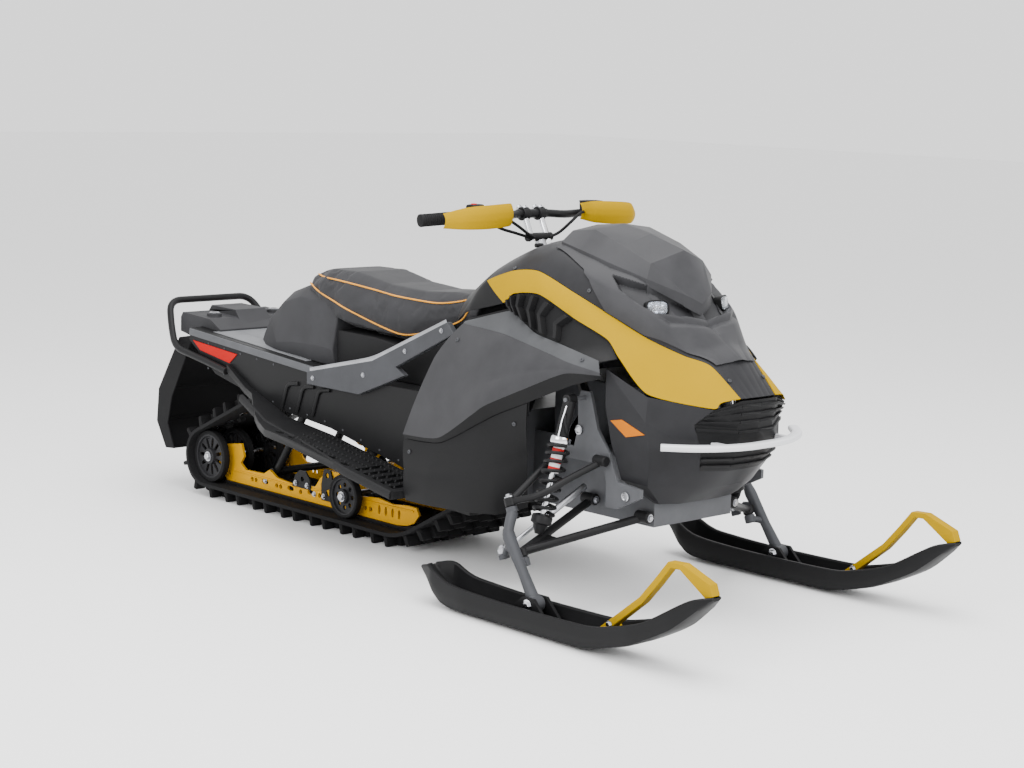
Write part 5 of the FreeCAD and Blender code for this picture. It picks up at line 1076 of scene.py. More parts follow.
@dataclass
class Bodywork(Assembly):
    """Hood, cowl, windshield, side panels, louvres and nose.

    Args:
        gap: half the gap between two panels.
        lift: how far the cowl stands on the hood.
        recess: depth of the headlamp slits.
        fins: places of the louvre fins along the lines.
        fin_height: how far a fin stands out.
        crowns: swelling of each strip of the skin.
        slit: outline of the lamp's slit in the cowl, as places along and across the lines.
        chin: outline of the pressed crease below it, the same way.
        lamp: where the lamp stands.
        lamp_half: half width and half height of its glass.
        cowl_edge: the cowl's outer edge as places along and across the lines.
        liners: the lines that have a strip behind their seam, with its span.
        screws: where the panels' screws sit.
        bar_line: the bumper bar as shares of half width and metres behind the nose.
    """

    gap: float = 0.0009
    lift: float = 0.0045
    recess: float = 0.024
    fins: tuple[float, ...] = (2.42, 2.9, 3.38, 3.86, 4.34, 4.82)
    fin_height: float = 0.015
    skin: FeatureSkin = field(init=False)
    crowns: tuple[float, ...] = (0.004, 0.004, 0.004, 0.004, 0.0, 0.001, 0.006, 0.005, 0.0, 0.006, 0.006)
    slit: Cut = ((5.5, 1.52), (5.98, 1.06), (6.35, 0.5), (6.5, 0.0), (6.86, 0.0), (6.9, 1.0), (6.84, 1.78),
                 (6.5, 1.88), (5.95, 1.8))
    chin: Cut = ((6.86, -0.3), (6.9, 1.0), (6.84, 1.78), (7.05, 1.98), (7.36, 1.86), (7.32, 0.6), (7.2, -0.3))
    lamp: tuple[float, float] = (6.62, 1.4)
    lamp_half: tuple[float, float] = (0.027, 0.017)
    cowl_edge: Cut = ((3.9, 1.95), (4.93, 1.95), (5.28, 2.15), (5.55, 2.56), (5.8, 2.96), (6.85, 2.93),
                      (7.65, 2.6), (8.38, 2.35), (8.85, 2.6), (9.06, 2.62))
    liners: Sequence[tuple[int, tuple[float, float]]] = (
        (3, (2.0, 9.6)), (4, (2.0, 6.4)), (5, (1.0, 6.93)), (6, (1.0, 6.93)), (8, (1.0, 6.93)),
        (9, (1.0, 5.0)),
    )
    screws: Cut = ((5.35, 2.56), (3.0, 2.9), (9.5, 2.6), (1.3, 6.4), (6.4, 5.5), (1.3, 9.4), (4.6, 9.3))
    bar_line: Cut = ((0.737, 0.095), (0.565, 0.029), (0.2515, -0.024), (0.0, -0.029))

    def __post_init__(self) -> None:
        """Set out the skin."""
        self.skin = FeatureSkin(BODY_LINES, self.crowns)

    def edge(self, u: Array, line: float, side: float, inset: float) -> Array:
        """Line number a distance to one side of a line, at places along it.

        Args:
            u: places along the lines.
            line: the line.
            side: plus one towards higher lines, minus one towards lower.
            inset: the distance.

        Returns:
            The shifted line numbers.
        """
        start = self.skin.place(u, np.full_like(u, line))
        end = self.skin.place(u, np.full_like(u, line + side))
        width = np.linalg.norm(end - start, axis=-1)
        return line + side * np.clip(inset / np.maximum(width, 1e-6), 0.0, 0.45)

    def patch(self, span: tuple[float, float], levels: Array, low: Limit | float, high: Limit | float,
              lift: Lift = 0.0, rows: int = 120) -> Shape:
        """Cut a piece out of the skin: lines of a grid, each kept between two limits.

        Args:
            span: where it starts and ends along the lines.
            levels: places across the lines, whole numbers among them.
            low: lower limit across the lines, fixed or by place along them.
            high: upper limit.
            lift: distance outwards, fixed or by place.
            rows: places along the lines.

        Returns:
            The open sheet, facing outwards.
        """
        u = np.linspace(*span, rows)
        near = np.abs(u - u.round()) < 0.55 * (u[1] - u[0])
        u = np.unique(np.where(near, np.clip(u.round(), *span), u))
        floor = low(u) if callable(low) else np.full_like(u, low)
        ceiling = high(u) if callable(high) else np.full_like(u, high)
        v = np.clip(levels[None, :], floor[:, None], ceiling[:, None])
        grid_u = np.broadcast_to(u[:, None], v.shape)
        raised = lift(grid_u, v) if callable(lift) else lift
        grid = self.skin.place(grid_u, v, raised)
        grid[..., 0] = np.where(v < 1e-6, 0.0, grid[..., 0])
        return sheet_shape(grid[::-1])

    def panel(self, name: str, finish: Finish, span: tuple[float, float], lines: tuple[float, float],
              steps: int, replaced: Sequence[str] = (), rows: int = 90, lift: Lift = 0.0,
              gaps: Sequence[float] = (1.0, 1.0)) -> None:
        """Add a pair of panels between two lines, set back by the gap on every side.

        Args:
            name: the piece's name.
            finish: its finish.
            span: where it starts and ends along the lines.
            lines: first and last line.
            steps: cells across each strip.
            replaced: the nodes it stands for.
            rows: places along the lines.
            lift: distance outwards, fixed or by place.
            gaps: share of the usual gap at the first and the last line.
        """
        levels = np.linspace(lines[0], lines[1], round((lines[1] - lines[0]) * steps) + 1)
        shape = self.patch(
            span, levels, lambda u: self.edge(u, lines[0], 1, self.gap * gaps[0]),
            lambda u: self.edge(u, lines[1], -1, self.gap * gaps[1]), lift, rows,
        )
        self.pair(name, shape, finish, SEAM, replaced)

    def cowl_side(self, u: Array) -> Array:
        """Outer edge of the cowl as a line number."""
        return np.interp(u, *np.array(self.cowl_edge).T)

    def cowl_lift(self, u: Array, v: Array) -> Array:
        """Height of the cowl over the skin: its stand less the pressed lamp slit and chin.

        Args:
            u: places along the lines.
            v: places across them.

        Returns:
            The heights, in metres.
        """
        slit = pressed(u, v, self.slit, 0.007) * self.recess
        chin = pressed(u, v, self.chin, 0.03) * 0.010
        spine = 0.006 * np.exp(-((v / 0.55) ** 2)) * np.clip((u - 7.0) / 0.5, 0.0, 1.0)
        return self.lift - slit - chin + spine

    def under_cowl(self, u: Array) -> Array:
        """Inner edge of the hood, which stops just beneath the cowl's own edge."""
        return np.where((u > 4.05) & (u < 8.9), self.cowl_side(u) - 0.3, 0.0)

    def build_liners(self) -> None:
        """Add the hidden strips that close the seams from behind."""
        strips = [
            self.patch(span, np.linspace(line - 0.25, line + 0.25, 5), 0.0, 11.0, -0.0055, 70)
            for line, span in self.liners
        ]
        self.pair("seam_liners", joined(strips), SHELL_BLACK, Edge(wall=0.0016, even=False))

    def build_hood(self) -> None:
        """Add the hood with its cowl on top, the bands each side and the console."""
        levels = np.linspace(0, 3, 31)
        base = self.patch((2.02, 9.97), levels, self.under_cowl, lambda u: self.edge(u, 3, -1, self.gap))
        self.pair("hood_base", base, SHELL_DARK, SEAM, ["hood"])
        cowl = self.patch((3.9, 9.06), np.linspace(0, 3, 67), 0.0, self.cowl_side, self.cowl_lift, 210)
        self.pair("cowl", cowl, SHELL_GREY, Edge(0.0014, 2, 34.0, 0.003, even=False))
        self.panel("hood_bands", SHELL_YELLOW, (2.0, 9.97), (3, 4), 16, ["hood_sides"], 160, lift=0.0016)
        console = self.patch((0.0, 1.98), np.linspace(0, 4, 33), 0.0, 4.0, rows=40)
        self.pair("dash", console, SHELL_BLACK, SEAM, ["console"])

    def fin(self, place: float) -> Shape:
        """One louvre fin: a blade with a bent middle that stands on the bed, tapered to its top.

        Args:
            place: where its ends stand along the lines.

        Returns:
            The right-hand fin.
        """
        v = np.linspace(4.07, 4.93, 17)
        middle = place - 0.17 * (1 - np.abs(2 * (v - 4.07) / 0.86 - 1))
        corners = ((-0.07, -0.004), (-0.055, self.fin_height), (0.03, self.fin_height * 0.85), (0.09, -0.004))
        return ring_shape(np.stack([self.skin.place(middle + shift, v, lift) for shift, lift in corners], 1))

    def build_sides(self) -> None:
        """Add the louvres, the side panels in their facets, with the upward top strip in a lighter grey as
        painted light, and the lower panels.
        """
        self.panel("louvre_beds", SHELL_BLACK, (2.0, 6.93), (4, 5), 4, ["vent_panels"], lift=-0.005)
        fins = joined([self.fin(place) for place in self.fins]).both()
        self.add("louvre_fins", fins, SHELL_BLACK, Edge(0.001))
        # The upward-facing top strip takes the lighter copy of the grey plastic: painted light.
        self.panel("side_panel_tops", SHELL_GREY_PAINTED_LIGHT, (1.0, 6.93), (5, 6), 6, gaps=(1.0, 0.1))
        self.panel("side_panels_fine", SHELL_GREY, (1.0, 6.93), (6, 8), 9, ["side_panels"], gaps=(0.1, 0.1))
        self.panel("side_undercuts", SHELL_BLACK, (1.0, 6.93), (8, 9), 6, gaps=(0.1, 1.0))
        self.panel("lower_panels_fine", SHELL_BLACK, (1.0, 4.96), (9, 11), 10, ["lower_panels"])

    def lamp_frame(self) -> tuple[Array, Array]:
        """Centre of the right-hand lamp, and the matrix whose third column it looks along."""
        centre = self.skin.place(*self.lamp, self.lift - self.recess * 0.42).reshape(3)
        return centre, basis((-0.42, -0.88, 0.2))

    def build_lamps(self) -> None:
        """Add each lamp: its dark housing, six bright cells and a domed glass."""
        centre, columns = self.lamp_frame()
        ring = circle(40, 3.6) * self.lamp_half
        housing = raised_rings(
            [(0.9, -0.02), (1.16, -0.018), (1.2, 0.002), (1.04, 0.002), (1.0, -0.012), (0.4, -0.013)], ring,
        )
        glass = raised_rings(
            [(0.2, 0.0), (0.98, 0.0), (1.0, 0.001), (0.93, 0.004), (0.7, 0.0065), (0.3, 0.008),
             (0.05, 0.0085)], ring,
        )
        bowl = lathe([(0.001, -0.0095), (0.004, -0.009), (0.0066, -0.006), (0.0078, -0.0015),
                      (0.0082, -0.0015), (0.0084, -0.011), (0.001, -0.0112)], steps=20)
        places = [(x, y, 0.0) for x in (-0.017, 0.0, 0.017) for y in (-0.0082, 0.0082)]
        cells = joined([bowl.moved(place) for place in places])
        for name, shape, finish, replaced in (
            ("lamp_housings", housing, SHELL_BLACK, ()), ("lamp_cells", cells, LAMP_BOWL, ()),
            ("lamp_glasses", glass, LAMP_GLASS, ("headlamps",)),
        ):
            self.pair(name, shape.turned(columns).moved(centre), finish, Edge(0.0004), replaced)

    def build_screws(self) -> None:
        """Add the fixing screws of the panels."""
        head = lathe([(0.0055, 0.0), (0.0055, 0.002), (0.0042, 0.0034), (0.0022, 0.0034), (0.0018, 0.0016)],
                     steps=18)
        u, v = np.array(self.screws).T
        places, above = self.skin.place(u, v, 0.001), self.skin.place(u, v, 1.0)
        self.pair("panel_screws", copies(head, places, above - places), FORGED)

    def build_nose(self) -> None:
        """Add the nose shell, its grilles, the side markers, the windshield and the bumper bar."""
        self.refine("nose_pan", SHELL_DARK, Edge(0.0016))
        self.refine("grilles", SHELL_BLACK)
        self.refine("visor", SHELL_GREY, Edge(0.004, 3))
        self.refine("amber_markers", AMBER_LENS, Edge(0.0005))
        half, low, top = 0.35, 0.4557, 0.4837
        line = np.array(self.bar_line)
        y, z = FeatureSkin.BEHIND + line[:, 1], np.full(4, (low + top) / 2)
        path = np.column_stack([-line[:, 0] * half, y, z])
        path = rounded(mirrored_path(path[:-1]), 0.06, 8)
        bent = sweep(circle(24, 3.2) * ((top - low) / 2, 0.0085), path, UP)
        stub = box_shape((-0.126, -1.036, low + 0.006), (-0.11, -0.97, top - 0.008))
        shape = joined([bent, stub, stub.moved((0.236, 0.0, 0.0))])
        self.add("nose_bar", shape, WHITE_BAR, Edge(0.0012), ["front_bumper"])

    def build(self) -> None:
        """Add everything."""
        self.build_hood()
        self.build_sides()
        self.build_liners()
        self.build_lamps()
        self.build_screws()
        self.build_nose()


@dataclass
class RearFrame(Assembly):
    """Tunnel, boards, braces, bumper, tail cover, lamps and flap.

    Args:
        half: half the tunnel's width.
        bumper: centre line of the hoop's right half, in millimetres.
        foot: where the tunnel's side meets the board, as (y, half width).
        tread: top of the running board as shares of its length and height.
        flap: the flap's middle line, in millimetres.
    """

    half: float = 0.21
    bumper: Cut = ((-221.3, 909.5, 426.6), (-221.3, 1032.5, 448.2), (-221.3, 1182.5, 469.8),
                   (-190.3, 1250, 523.8), (-159.3, 1307, 604.8))
    foot: Cut = ((-0.06, 0.225), (0.09, 0.255), (0.408, 0.319), (0.675, 0.344), (0.98, 0.409))
    tread: Cut = ((0.052, 0.396), (0.218, 0.415), (0.518, 0.559), (0.652, 0.6), (0.785, 0.726),
                  (0.855, 0.832))
    flap: Cut = ((0, 1200, 500), (0, 1313, 319), (0, 1322, 212), (0, 1271, 131))

    def deck_level(self, y: Array | float) -> Array | float:
        """Height of the deck, which rises in a straight line from the seat to the tail."""
        return 0.48 + (np.asarray(y) - 0.3305) * (0.06 / 0.792)

    def build_deck(self) -> None:
        """Add the deck plate with its pressed lengthwise channels."""
        y = np.linspace(0.56, 1.03, 60)[:, None]
        x = np.linspace(-0.185, 0.185, 91)[None, :]
        ends = np.clip(np.minimum(y - 0.58, 1.01 - y) / 0.01, 0.0, 1.0)
        wave = 0.5 - 0.5 * np.cos(x / 0.185 * 4 * math.pi)
        z = self.deck_level(y) + 0.0022 + 0.0045 * np.clip(wave * 1.6 - 0.3, 0.0, 1.0) * ends
        grid = np.stack(np.broadcast_arrays(x, y, z), -1)
        self.add("deck_plate", sheet_shape(grid[::-1]), DECK_GREY, Edge(wall=0.002, even=False))

    def build_tunnel(self) -> None:
        """Add the tunnel's edge rails, slanted hooked ribs and rivets."""
        self.refine("tunnel", SATIN_BLACK, Edge(0.002))
        wall = self.half
        y = np.linspace(0.33, 1.118, 12)
        rail = np.column_stack([np.full(12, -wall - 0.001), y, self.deck_level(y) - 0.012])
        strip = sweep(circle(12, 4.0) * (0.0035, 0.011), rail, UP)
        self.pair("edge_rails", strip, TOWER_GREY)
        profile = circle(14, 2.6) * (0.0065, 0.0045)
        shapes = []
        for shift in (0, 75, 150):
            heel = mm((-212, 640 - shift, 345), (-212, 612 - shift, 425), (-212, 560 - shift, 432))
            shapes.append(sweep(profile, rounded(heel, 0.02, 6), ACROSS))
        self.pair("side_ribs", joined(shapes), SATIN_BLACK)
        rivet = lathe([(0.0036, 0.0), (0.0034, 0.001), (0.002, 0.002), (0.0005, 0.0023)], steps=12)
        along = np.linspace(0.1, 1.02, 12)
        foot = np.interp(along, *np.array(self.foot).T) + 0.014
        places = np.column_stack([np.full(12, -wall), along, foot])
        top = np.column_stack([np.full(12, -wall), along, np.maximum(self.deck_level(along), 0.48) - 0.032])
        rivets = copies(rivet, np.concatenate([places, top[7:]]), [OUTWARD])
        self.pair("tunnel_rivets", rivets, FORGED)

    def build_boards(self) -> None:
        """Add the running boards with a thick outer rim and a row of grip teeth."""
        self.refine("running_boards", SATIN_BLACK, Edge(0.0015))
        share = np.array(self.tread)
        tread_y, tread_z = -0.3775 + 1.5 * share[:, 0], 0.54 * share[:, 1]
        rim_y = np.linspace(-0.05, 0.76, 40)
        rim_x = -0.3645 + 0.155 * np.interp(rim_y, [-0.055, 0.1475, 0.52, 0.8975], [0.0, 0.0, 0.3, 0.75])
        rim = np.column_stack([rim_x, rim_y, np.interp(rim_y, tread_y, tread_z) - 0.011])
        bar = sweep(circle(16, 3.0) * (0.0075, 0.0125), rim, UP)
        self.pair("board_rims", bar, CLADDING)
        tooth = lathe([(0.0042, 0.0), (0.0042, 0.001), (0.0014, 0.006), (0.0008, 0.006)], steps=8)
        y, x = np.meshgrid(np.linspace(-0.03, 0.42, 26), (-0.335, -0.3, -0.262, -0.232), indexing="ij")
        y, x = y.ravel(), x.ravel()
        teeth = copies(tooth, np.column_stack([x, y, np.interp(y, tread_y, tread_z)]), [(0.0, 0.0, 1.0)])
        self.pair("board_teeth", teeth, SATIN_BLACK)

    def build_tail(self) -> None:
        """Add the hoop, tail cover, lamps, markers and flap."""
        hoop = rounded(mirrored_path(mm(*self.bumper)), 0.045, 10)
        self.add("rear_hoop", tube(hoop, 0.011, 22), SATIN_BLACK, replaced=["rear_bumper"])
        self.refine("tail_cover", MOULD_GREY, Edge(0.003, 3))
        self.refine("tail_lamps", RED_LENS, Edge(0.002, 3))
        self.refine("red_markers", RED_LENS, Edge(0.0005))
        ring = lathe([(0.0105, 0.0), (0.0105, 0.0025), (0.0135, 0.003), (0.0165, 0.0015), (0.0165, 0.0)],
                     (-0.118, 1.1182, 0.5812), caps=False)
        rings = joined([ring, ring.moved((0.236, 0.0, 0.0))])
        self.add("anchor_rings", rings, BARE_STEEL, Edge(wall=0.0006, even=False))
        self.refine("snow_flap", RUBBER, Edge(0.0016))
        line = rounded(mm(*self.flap), 0.03, 6)
        run = np.concatenate([[0.0], np.cumsum(np.linalg.norm(np.diff(line, axis=0), axis=1))])
        shapes = []
        for distance in np.arange(0.03, run[-1] - 0.09, 0.026):
            y, z = np.interp(distance, run, line[:, 1]), np.interp(distance, run, line[:, 2])
            path = np.column_stack([np.linspace(-0.17, 0.17, 3), np.full(3, y - 0.0012), np.full(3, z)])
            shapes.append(sweep(circle(10, 2.4) * (0.0035, 0.005), path, UP))
        self.add("flap_ridges", joined(shapes), RUBBER)
        ends = run[-1] - np.array([0.085, 0.006])
        y, z = np.interp(ends, run, line[:, 1]) + 0.0006, np.interp(ends, run, line[:, 2])
        band = np.array([[(x, a, b) for x in (-0.19, 0.19)] for a, b in zip(y, z)])
        self.add("flap_band", sheet_shape(band), TREAD_GREY, Edge(0.0006, wall=0.003, even=False))

    def build_braces(self) -> None:
        """Add the forged braces with a bright upper edge and bolts."""
        self.refine("frame_braces", FORGED, Edge(0.003, 3))
        top = mm((-222, 492, 482), (-222, 206, 548), (-222, -104, 689))
        edge = sweep(circle(12, 4.0) * (0.0085, 0.0018), rounded(top, 0.05, 8), ACROSS)
        self.pair("brace_edges", edge, BARE_STEEL)
        spots = mm((-230, 470, 462), (-230, 240, 500), (-230, 60, 590), (-230, -90, 664))
        self.pair("brace_bolts", copies(hex_head(0.009, 0.005), spots, [OUTWARD]), BARE_STEEL)

    def build(self) -> None:
        """Add everything."""
        self.build_tunnel()
        self.build_deck()
        self.build_boards()
        self.build_tail()
        self.build_braces()
        self.refine("seat_base", CLADDING, Edge(0.003))
        self.refine("upper_frame", SATIN_BLACK, Edge(0.0005))
        self.refine("engine", FORGED, Edge(0.003))


@dataclass
class Saddle(Assembly):
    """Seat cushion with its piping, and the moulding behind it.

    Args:
        voxel: cell of the seat's working mesh.
        pressure: how hard the padding pushes its cover.
        swell: furthest that a point of the cover may move.
        slack: how much smaller the cover is before it swells.
        upper: the upper welt's line as (y, z), in millimetres.
        lower: the lower welt's line.
    """

    voxel: float = 0.006
    pressure: float = 4.0
    swell: float = 0.009
    slack: float = 0.985
    upper: Cut = ((620, 750), (430, 742), (240, 722), (85, 716), (0, 728), (-60, 752))
    lower: Cut = ((625, 724), (430, 672), (209, 616), (90, 636), (-20, 680), (-60, 752))

    def cushion(self) -> bpy.types.Object:
        """Blow up a copy of the seat as cloth and keep the result as a mesh."""
        mesh = node_mesh("seat", PLAIN)
        mesh.materials.append(VINYL.material())
        seat = bpy.data.objects.new("seat_cushion", mesh)
        bpy.context.scene.collection.objects.link(seat)
        points = read_points(mesh)
        middle = (points.min(0) + points.max(0)) / 2
        mesh.vertices.foreach_set("co", (middle + (points - middle) * self.slack).ravel())
        remesh = seat.modifiers.new("cells", "REMESH")
        remesh.mode, remesh.voxel_size = "VOXEL", self.voxel
        self.keep(seat)
        start = read_points(seat.data)
        cloth = seat.modifiers.new("cover", "CLOTH")
        cloth.settings.use_pressure = True
        cloth.settings.uniform_pressure_force = self.pressure
        cloth.settings.effector_weights.gravity = 0.0
        scene = bpy.context.scene
        for step in range(1, 21):
            scene.frame_set(step)
        self.keep(seat)
        scene.frame_set(1)
        move = read_points(seat.data) - start
        length = np.linalg.norm(move, axis=1, keepdims=True)
        move *= np.minimum(1.0, self.swell / np.maximum(length, 1e-9))
        seat.data.vertices.foreach_set("co", (start + move).ravel())
        smooth = seat.modifiers.new("smooth", "SUBSURF")
        smooth.levels = smooth.render_levels = 1
        self.keep(seat)
        seat.data.shade_smooth()
        return seat

    def keep(self, piece: bpy.types.Object) -> None:
        """Make a piece's modifiers part of its mesh."""
        graph = bpy.context.evaluated_depsgraph_get()
        mesh = bpy.data.meshes.new_from_object(piece.evaluated_get(graph), depsgraph=graph)
        piece.modifiers.clear()
        piece.data = mesh

    def piping(self, seat: bpy.types.Object, line: Cut) -> Shape:
        """A welt laid on the seat's side, found by looking in from the side.

        Args:
            seat: the seat.
            line: its line as (y, z), in millimetres.

        Returns:
            The right-hand welt.
        """
        flat = spline(np.array(line, float) * MM, 70, 0.8)
        tree = BVHTree.FromObject(seat, bpy.context.evaluated_depsgraph_get())
        found = [tree.ray_cast((-0.4, y, z), ACROSS)[0] for y, z in flat]
        path = np.array([tuple(place) for place in found if place is not None])
        path[:, 0] = np.convolve(np.pad(path[:, 0], 2, "edge"), np.ones(5) / 5, "valid")
        return tube(path - (0.0015, 0.0, 0.0), 0.0025, 10, ACROSS)

    def build(self) -> None:
        """Add the seat, its piping and the moulding."""
        seat = self.cushion()
        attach(seat, self.body)
        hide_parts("seat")
        welts = joined([self.piping(seat, self.upper), self.piping(seat, self.lower)])
        self.pair("seat_piping", welts, PIPING)
        self.refine("fuel_tank", MOULD_GREY, Edge(0.008, 3))


@dataclass
class Belt:
    """The track's closed line round its four wheels, as arcs and straight runs.

    Args:
        wheels: each wheel's y, z and radius with the belt's inside, in millimetres.
        lugs: pitches round the loop.
    """

    wheels: Cut = ((1071, 129, 84), (190, 305, 260), (-244, 330, 72), (640, 375, 50))
    lugs: int = 45

    def __post_init__(self) -> None:
        """Work out the tangents and the length of every run and arc."""
        wheels = mm(*self.wheels)
        ahead = np.roll(wheels, -1, axis=0)
        step = ahead[:, :2] - wheels[:, :2]
        span = np.linalg.norm(step, axis=1)
        lean = np.arcsin((wheels[:, 2] - ahead[:, 2]) / span)
        self.normal = np.arctan2(step[:, 1], step[:, 0]) + math.pi / 2 - lean
        out = np.stack([np.cos(self.normal), np.sin(self.normal)], -1)
        self.start = wheels[:, :2] + wheels[:, 2:] * out
        self.end = ahead[:, :2] + ahead[:, 2:] * out
        self.turn = (self.normal - np.roll(self.normal, -1)) % (2 * math.pi)
        self.centre, self.radius = ahead[:, :2], ahead[:, 2]
        runs = np.linalg.norm(self.end - self.start, axis=1)
        self.marks = np.concatenate([[0.0], np.cumsum(np.stack([runs, self.turn * self.radius], -1).ravel())])
        self.length = self.marks[-1]

    def place(self, distance: Array) -> tuple[Array, Array]:
        """Points of the inner line and outward directions at distances along it.

        Args:
            distance: how far round the loop.

        Returns:
            The points and the directions, each as (y, z).
        """
        at = np.asarray(distance, float) % self.length
        part = np.clip(np.searchsorted(self.marks, at, side="right") - 1, 0, 7)
        which, arc = part // 2, part % 2 == 1
        along = at - self.marks[part]
        run = self.end - self.start
        share = along / np.linalg.norm(run, axis=1)[which]
        angle = np.where(arc, self.normal[which] - along / self.radius[which], self.normal[which])
        out = np.stack([np.cos(angle), np.sin(angle)], -1)
        straight = self.start[which] + run[which] * share[..., None]
        curved = self.centre[which] + self.radius[which][..., None] * out
        return np.where(arc[..., None], curved, straight), out

    def carried(self, shape: Shape, distance: float) -> Shape:
        """Stand a shape on the loop.

        Args:
            shape: the shape, its x across, its y along and its z outwards.
            distance: how far round the loop.

        Returns:
            The shape in its place.
        """
        (y, z), out = self.place(np.array(distance))
        along = np.array([0.0, out[1], -out[0]])
        columns = np.stack([(1.0, 0.0, 0.0), along, (0.0, out[0], out[1])], -1)
        return shape.turned(columns).moved((0.0, y, z))


@dataclass
class TrackDrive(Assembly):
    """Belt, rails, wheels, shafts and arms.

    Args:
        half: half the belt's width.
        wall: thickness of the belt.
        lug: height of a lug.
        rail_x: middle of a rail.
        rail_box: where a rail starts in y, its length, its foot in z and its height.
        rail: its outline as shares of length and height.
        lip: line of its raised lip, the same way.
        holes: half width, half height and squareness of each kind of hole, with its places.
        wheels: radius, holes, whether they are round, and places of each kind of wheel.
        belt: the track's closed line.
    """

    half: float = 0.1905
    wall: float = 0.012
    lug: float = 0.0326
    rail_x: float = 0.12
    rail_box: tuple[float, ...] = (0.096, 0.996, 0.055, 0.132)
    rail: Cut = (
        (0.996, 0.346), (1, 0.649), (0.968, 0.786), (0.941, 0.877), (0.866, 0.967), (0.852, 0.664),
        (0.869, 0.483), (0.842, 0.354), (0.747, 0.377), (0.718, 0.505), (0.679, 0.354), (0.611, 0.316),
        (0.489, 0.377), (0.465, 0.611), (0.426, 0.839), (0.376, 0.839), (0.345, 0.573), (0.325, 0.437),
        (0.267, 0.437), (0.191, 0.498), (0.123, 0.437), (0.064, 0.49), (0.02, 0.49), (0.008, 0.331),
        (0.028, 0.134), (0.059, 0.043), (0.104, 0), (0.938, 0),
    )
    lip: Cut = ((0.9, 0.29), (0.62, 0.27), (0.5, 0.3), (0.45, 0.36), (0.35, 0.38), (0.3, 0.36),
                (0.12, 0.38), (0.03, 0.4))
    holes: Sequence[tuple[tuple[float, float, float], Cut]] = (
        ((0.0075, 0.0075, 2.0), ((0.93, 0.17), (0.807, 0.17), (0.787, 0.17), (0.68, 0.17), (0.66, 0.17),
                                 (0.56, 0.17), (0.466, 0.2), (0.436, 0.2), (0.406, 0.2), (0.25, 0.2),
                                 (0.225, 0.2))),
        ((0.005, 0.013, 3.0), ((0.185, 0.24), (0.155, 0.24), (0.125, 0.24), (0.095, 0.24))),
        ((0.016, 0.0075, 2.6), ((0.74, 0.19), (0.61, 0.19), (0.51, 0.22), (0.36, 0.25), (0.31, 0.22))),
    )
    wheels: Sequence[tuple[float, int, bool, Cut]] = (
        (0.0828, 11, False, ((0.156, 1.071, 0.129), (0.06, 1.071, 0.129))),
        (0.066, 8, True, ((0.156, 0.398, 0.1113),)),
        (0.0485, 6, True, ((0.06, 0.64, 0.375),)),
    )
    belt: Belt = field(default_factory=Belt)

    def block(self, width: float, depth: float, height: float) -> Shape:
        """A tapered rubber block with its foot at level zero.

        Args:
            width: across the sled.
            depth: along the loop.
            height: outwards.

        Returns:
            The block.
        """
        levels = [(1.0, 0.0), (0.94, 0.3 * height), (0.8, 0.96 * height), (0.72, height)]
        return raised_rings(levels, circle(8, 6.0) * (width / 2, depth / 2))

    def build_belt(self) -> None:
        """Add the belt, its staggered lugs, the drive teeth and the bright guide clips."""
        rows = self.belt.lugs * 5
        place, out = self.belt.place(np.arange(rows) * self.belt.length / rows)
        profile = np.array([(-1, 0.04), (-0.99, 0.0), (0.99, 0.0), (1, 0.04), (1, 0.9), (0.985, 1.0),
                            (-0.985, 1.0), (-1, 0.9)])
        across, depth = profile[:, 0] * self.half, profile[:, 1] * self.wall
        rings = np.empty((rows, len(profile), 3))
        rings[..., 0] = across
        rings[..., 1:] = place[:, None] + out[:, None] * depth[:, None]
        belt = Shape(rings.reshape(-1, 3), [grid_faces(rows, len(profile), True, True)])
        pitch = self.belt.length / self.belt.lugs
        wide, narrow = self.block(0.05, 0.017, self.lug), self.block(0.03, 0.024, self.lug * 0.98)
        web = self.block(0.118, 0.008, self.lug * 0.42)
        pieces = [belt]
        for step in range(self.belt.lugs):
            for band, middle in enumerate((-0.13, 0.0, 0.13)):
                distance = (step + 0.48 + 0.5 * (band % 2)) * pitch
                lean = 0.006 if step % 2 else -0.006
                for offset, block, shift in ((-0.031, wide, lean), (0.031, wide, lean), (0.0, narrow, -lean)):
                    stood = block.moved((middle + offset, shift, self.wall))
                    pieces.append(self.belt.carried(stood, distance))
                pieces.append(self.belt.carried(web.moved((middle, 0.0, self.wall)), distance))
        self.add("belt_loop", joined(pieces), RUBBER, replaced=["track"])
        tooth = self.block(0.026, 0.022, 0.012).scaled((1.0, 1.0, -1.0))
        clip = self.block(0.022, 0.026, 0.002).scaled((1.0, 1.0, -1.0))
        teeth = [self.belt.carried(tooth.moved((x, 0.0, 0.0)), (step + 0.25) * pitch)
                 for step in range(self.belt.lugs) for x in (-0.092, 0.092)]
        clips = [self.belt.carried(clip.moved((x, 0.0, 0.0)), (step + 0.5) * pitch)
                 for step in range(self.belt.lugs) for x in (-0.12, 0.12)]
        self.add("drive_teeth", joined(teeth), RUBBER)
        self.add("guide_clips", joined(clips), BARE_STEEL)

    def slotted_disc(self, radius: float, wall: float, slots: int, round_holes: bool) -> Shape:
        """A wheel's web: a disc with radial slots or round holes, square to X at the origin.

        Args:
            radius: of the disc.
            wall: its thickness.
            slots: how many slots or holes.
            round_holes: holes in place of slots.

        Returns:
            The disc.
        """
        holes = []
        for step in range(slots):
            angle = 2 * math.pi * step / slots
            turn = np.array([[math.cos(angle), math.sin(angle)], [-math.sin(angle), math.cos(angle)]])
            if round_holes:
                loop = oval((radius * 0.62, 0.0), radius * 0.13, steps=12)
            else:
                loop = oval((radius * 0.62, 0.0), radius * 0.25, radius * 0.085, 3.0, 16)
            holes.append(loop @ turn)
        return plate(oval((0.0, 0.0), radius, steps=56), holes, -wall / 2, wall / 2)

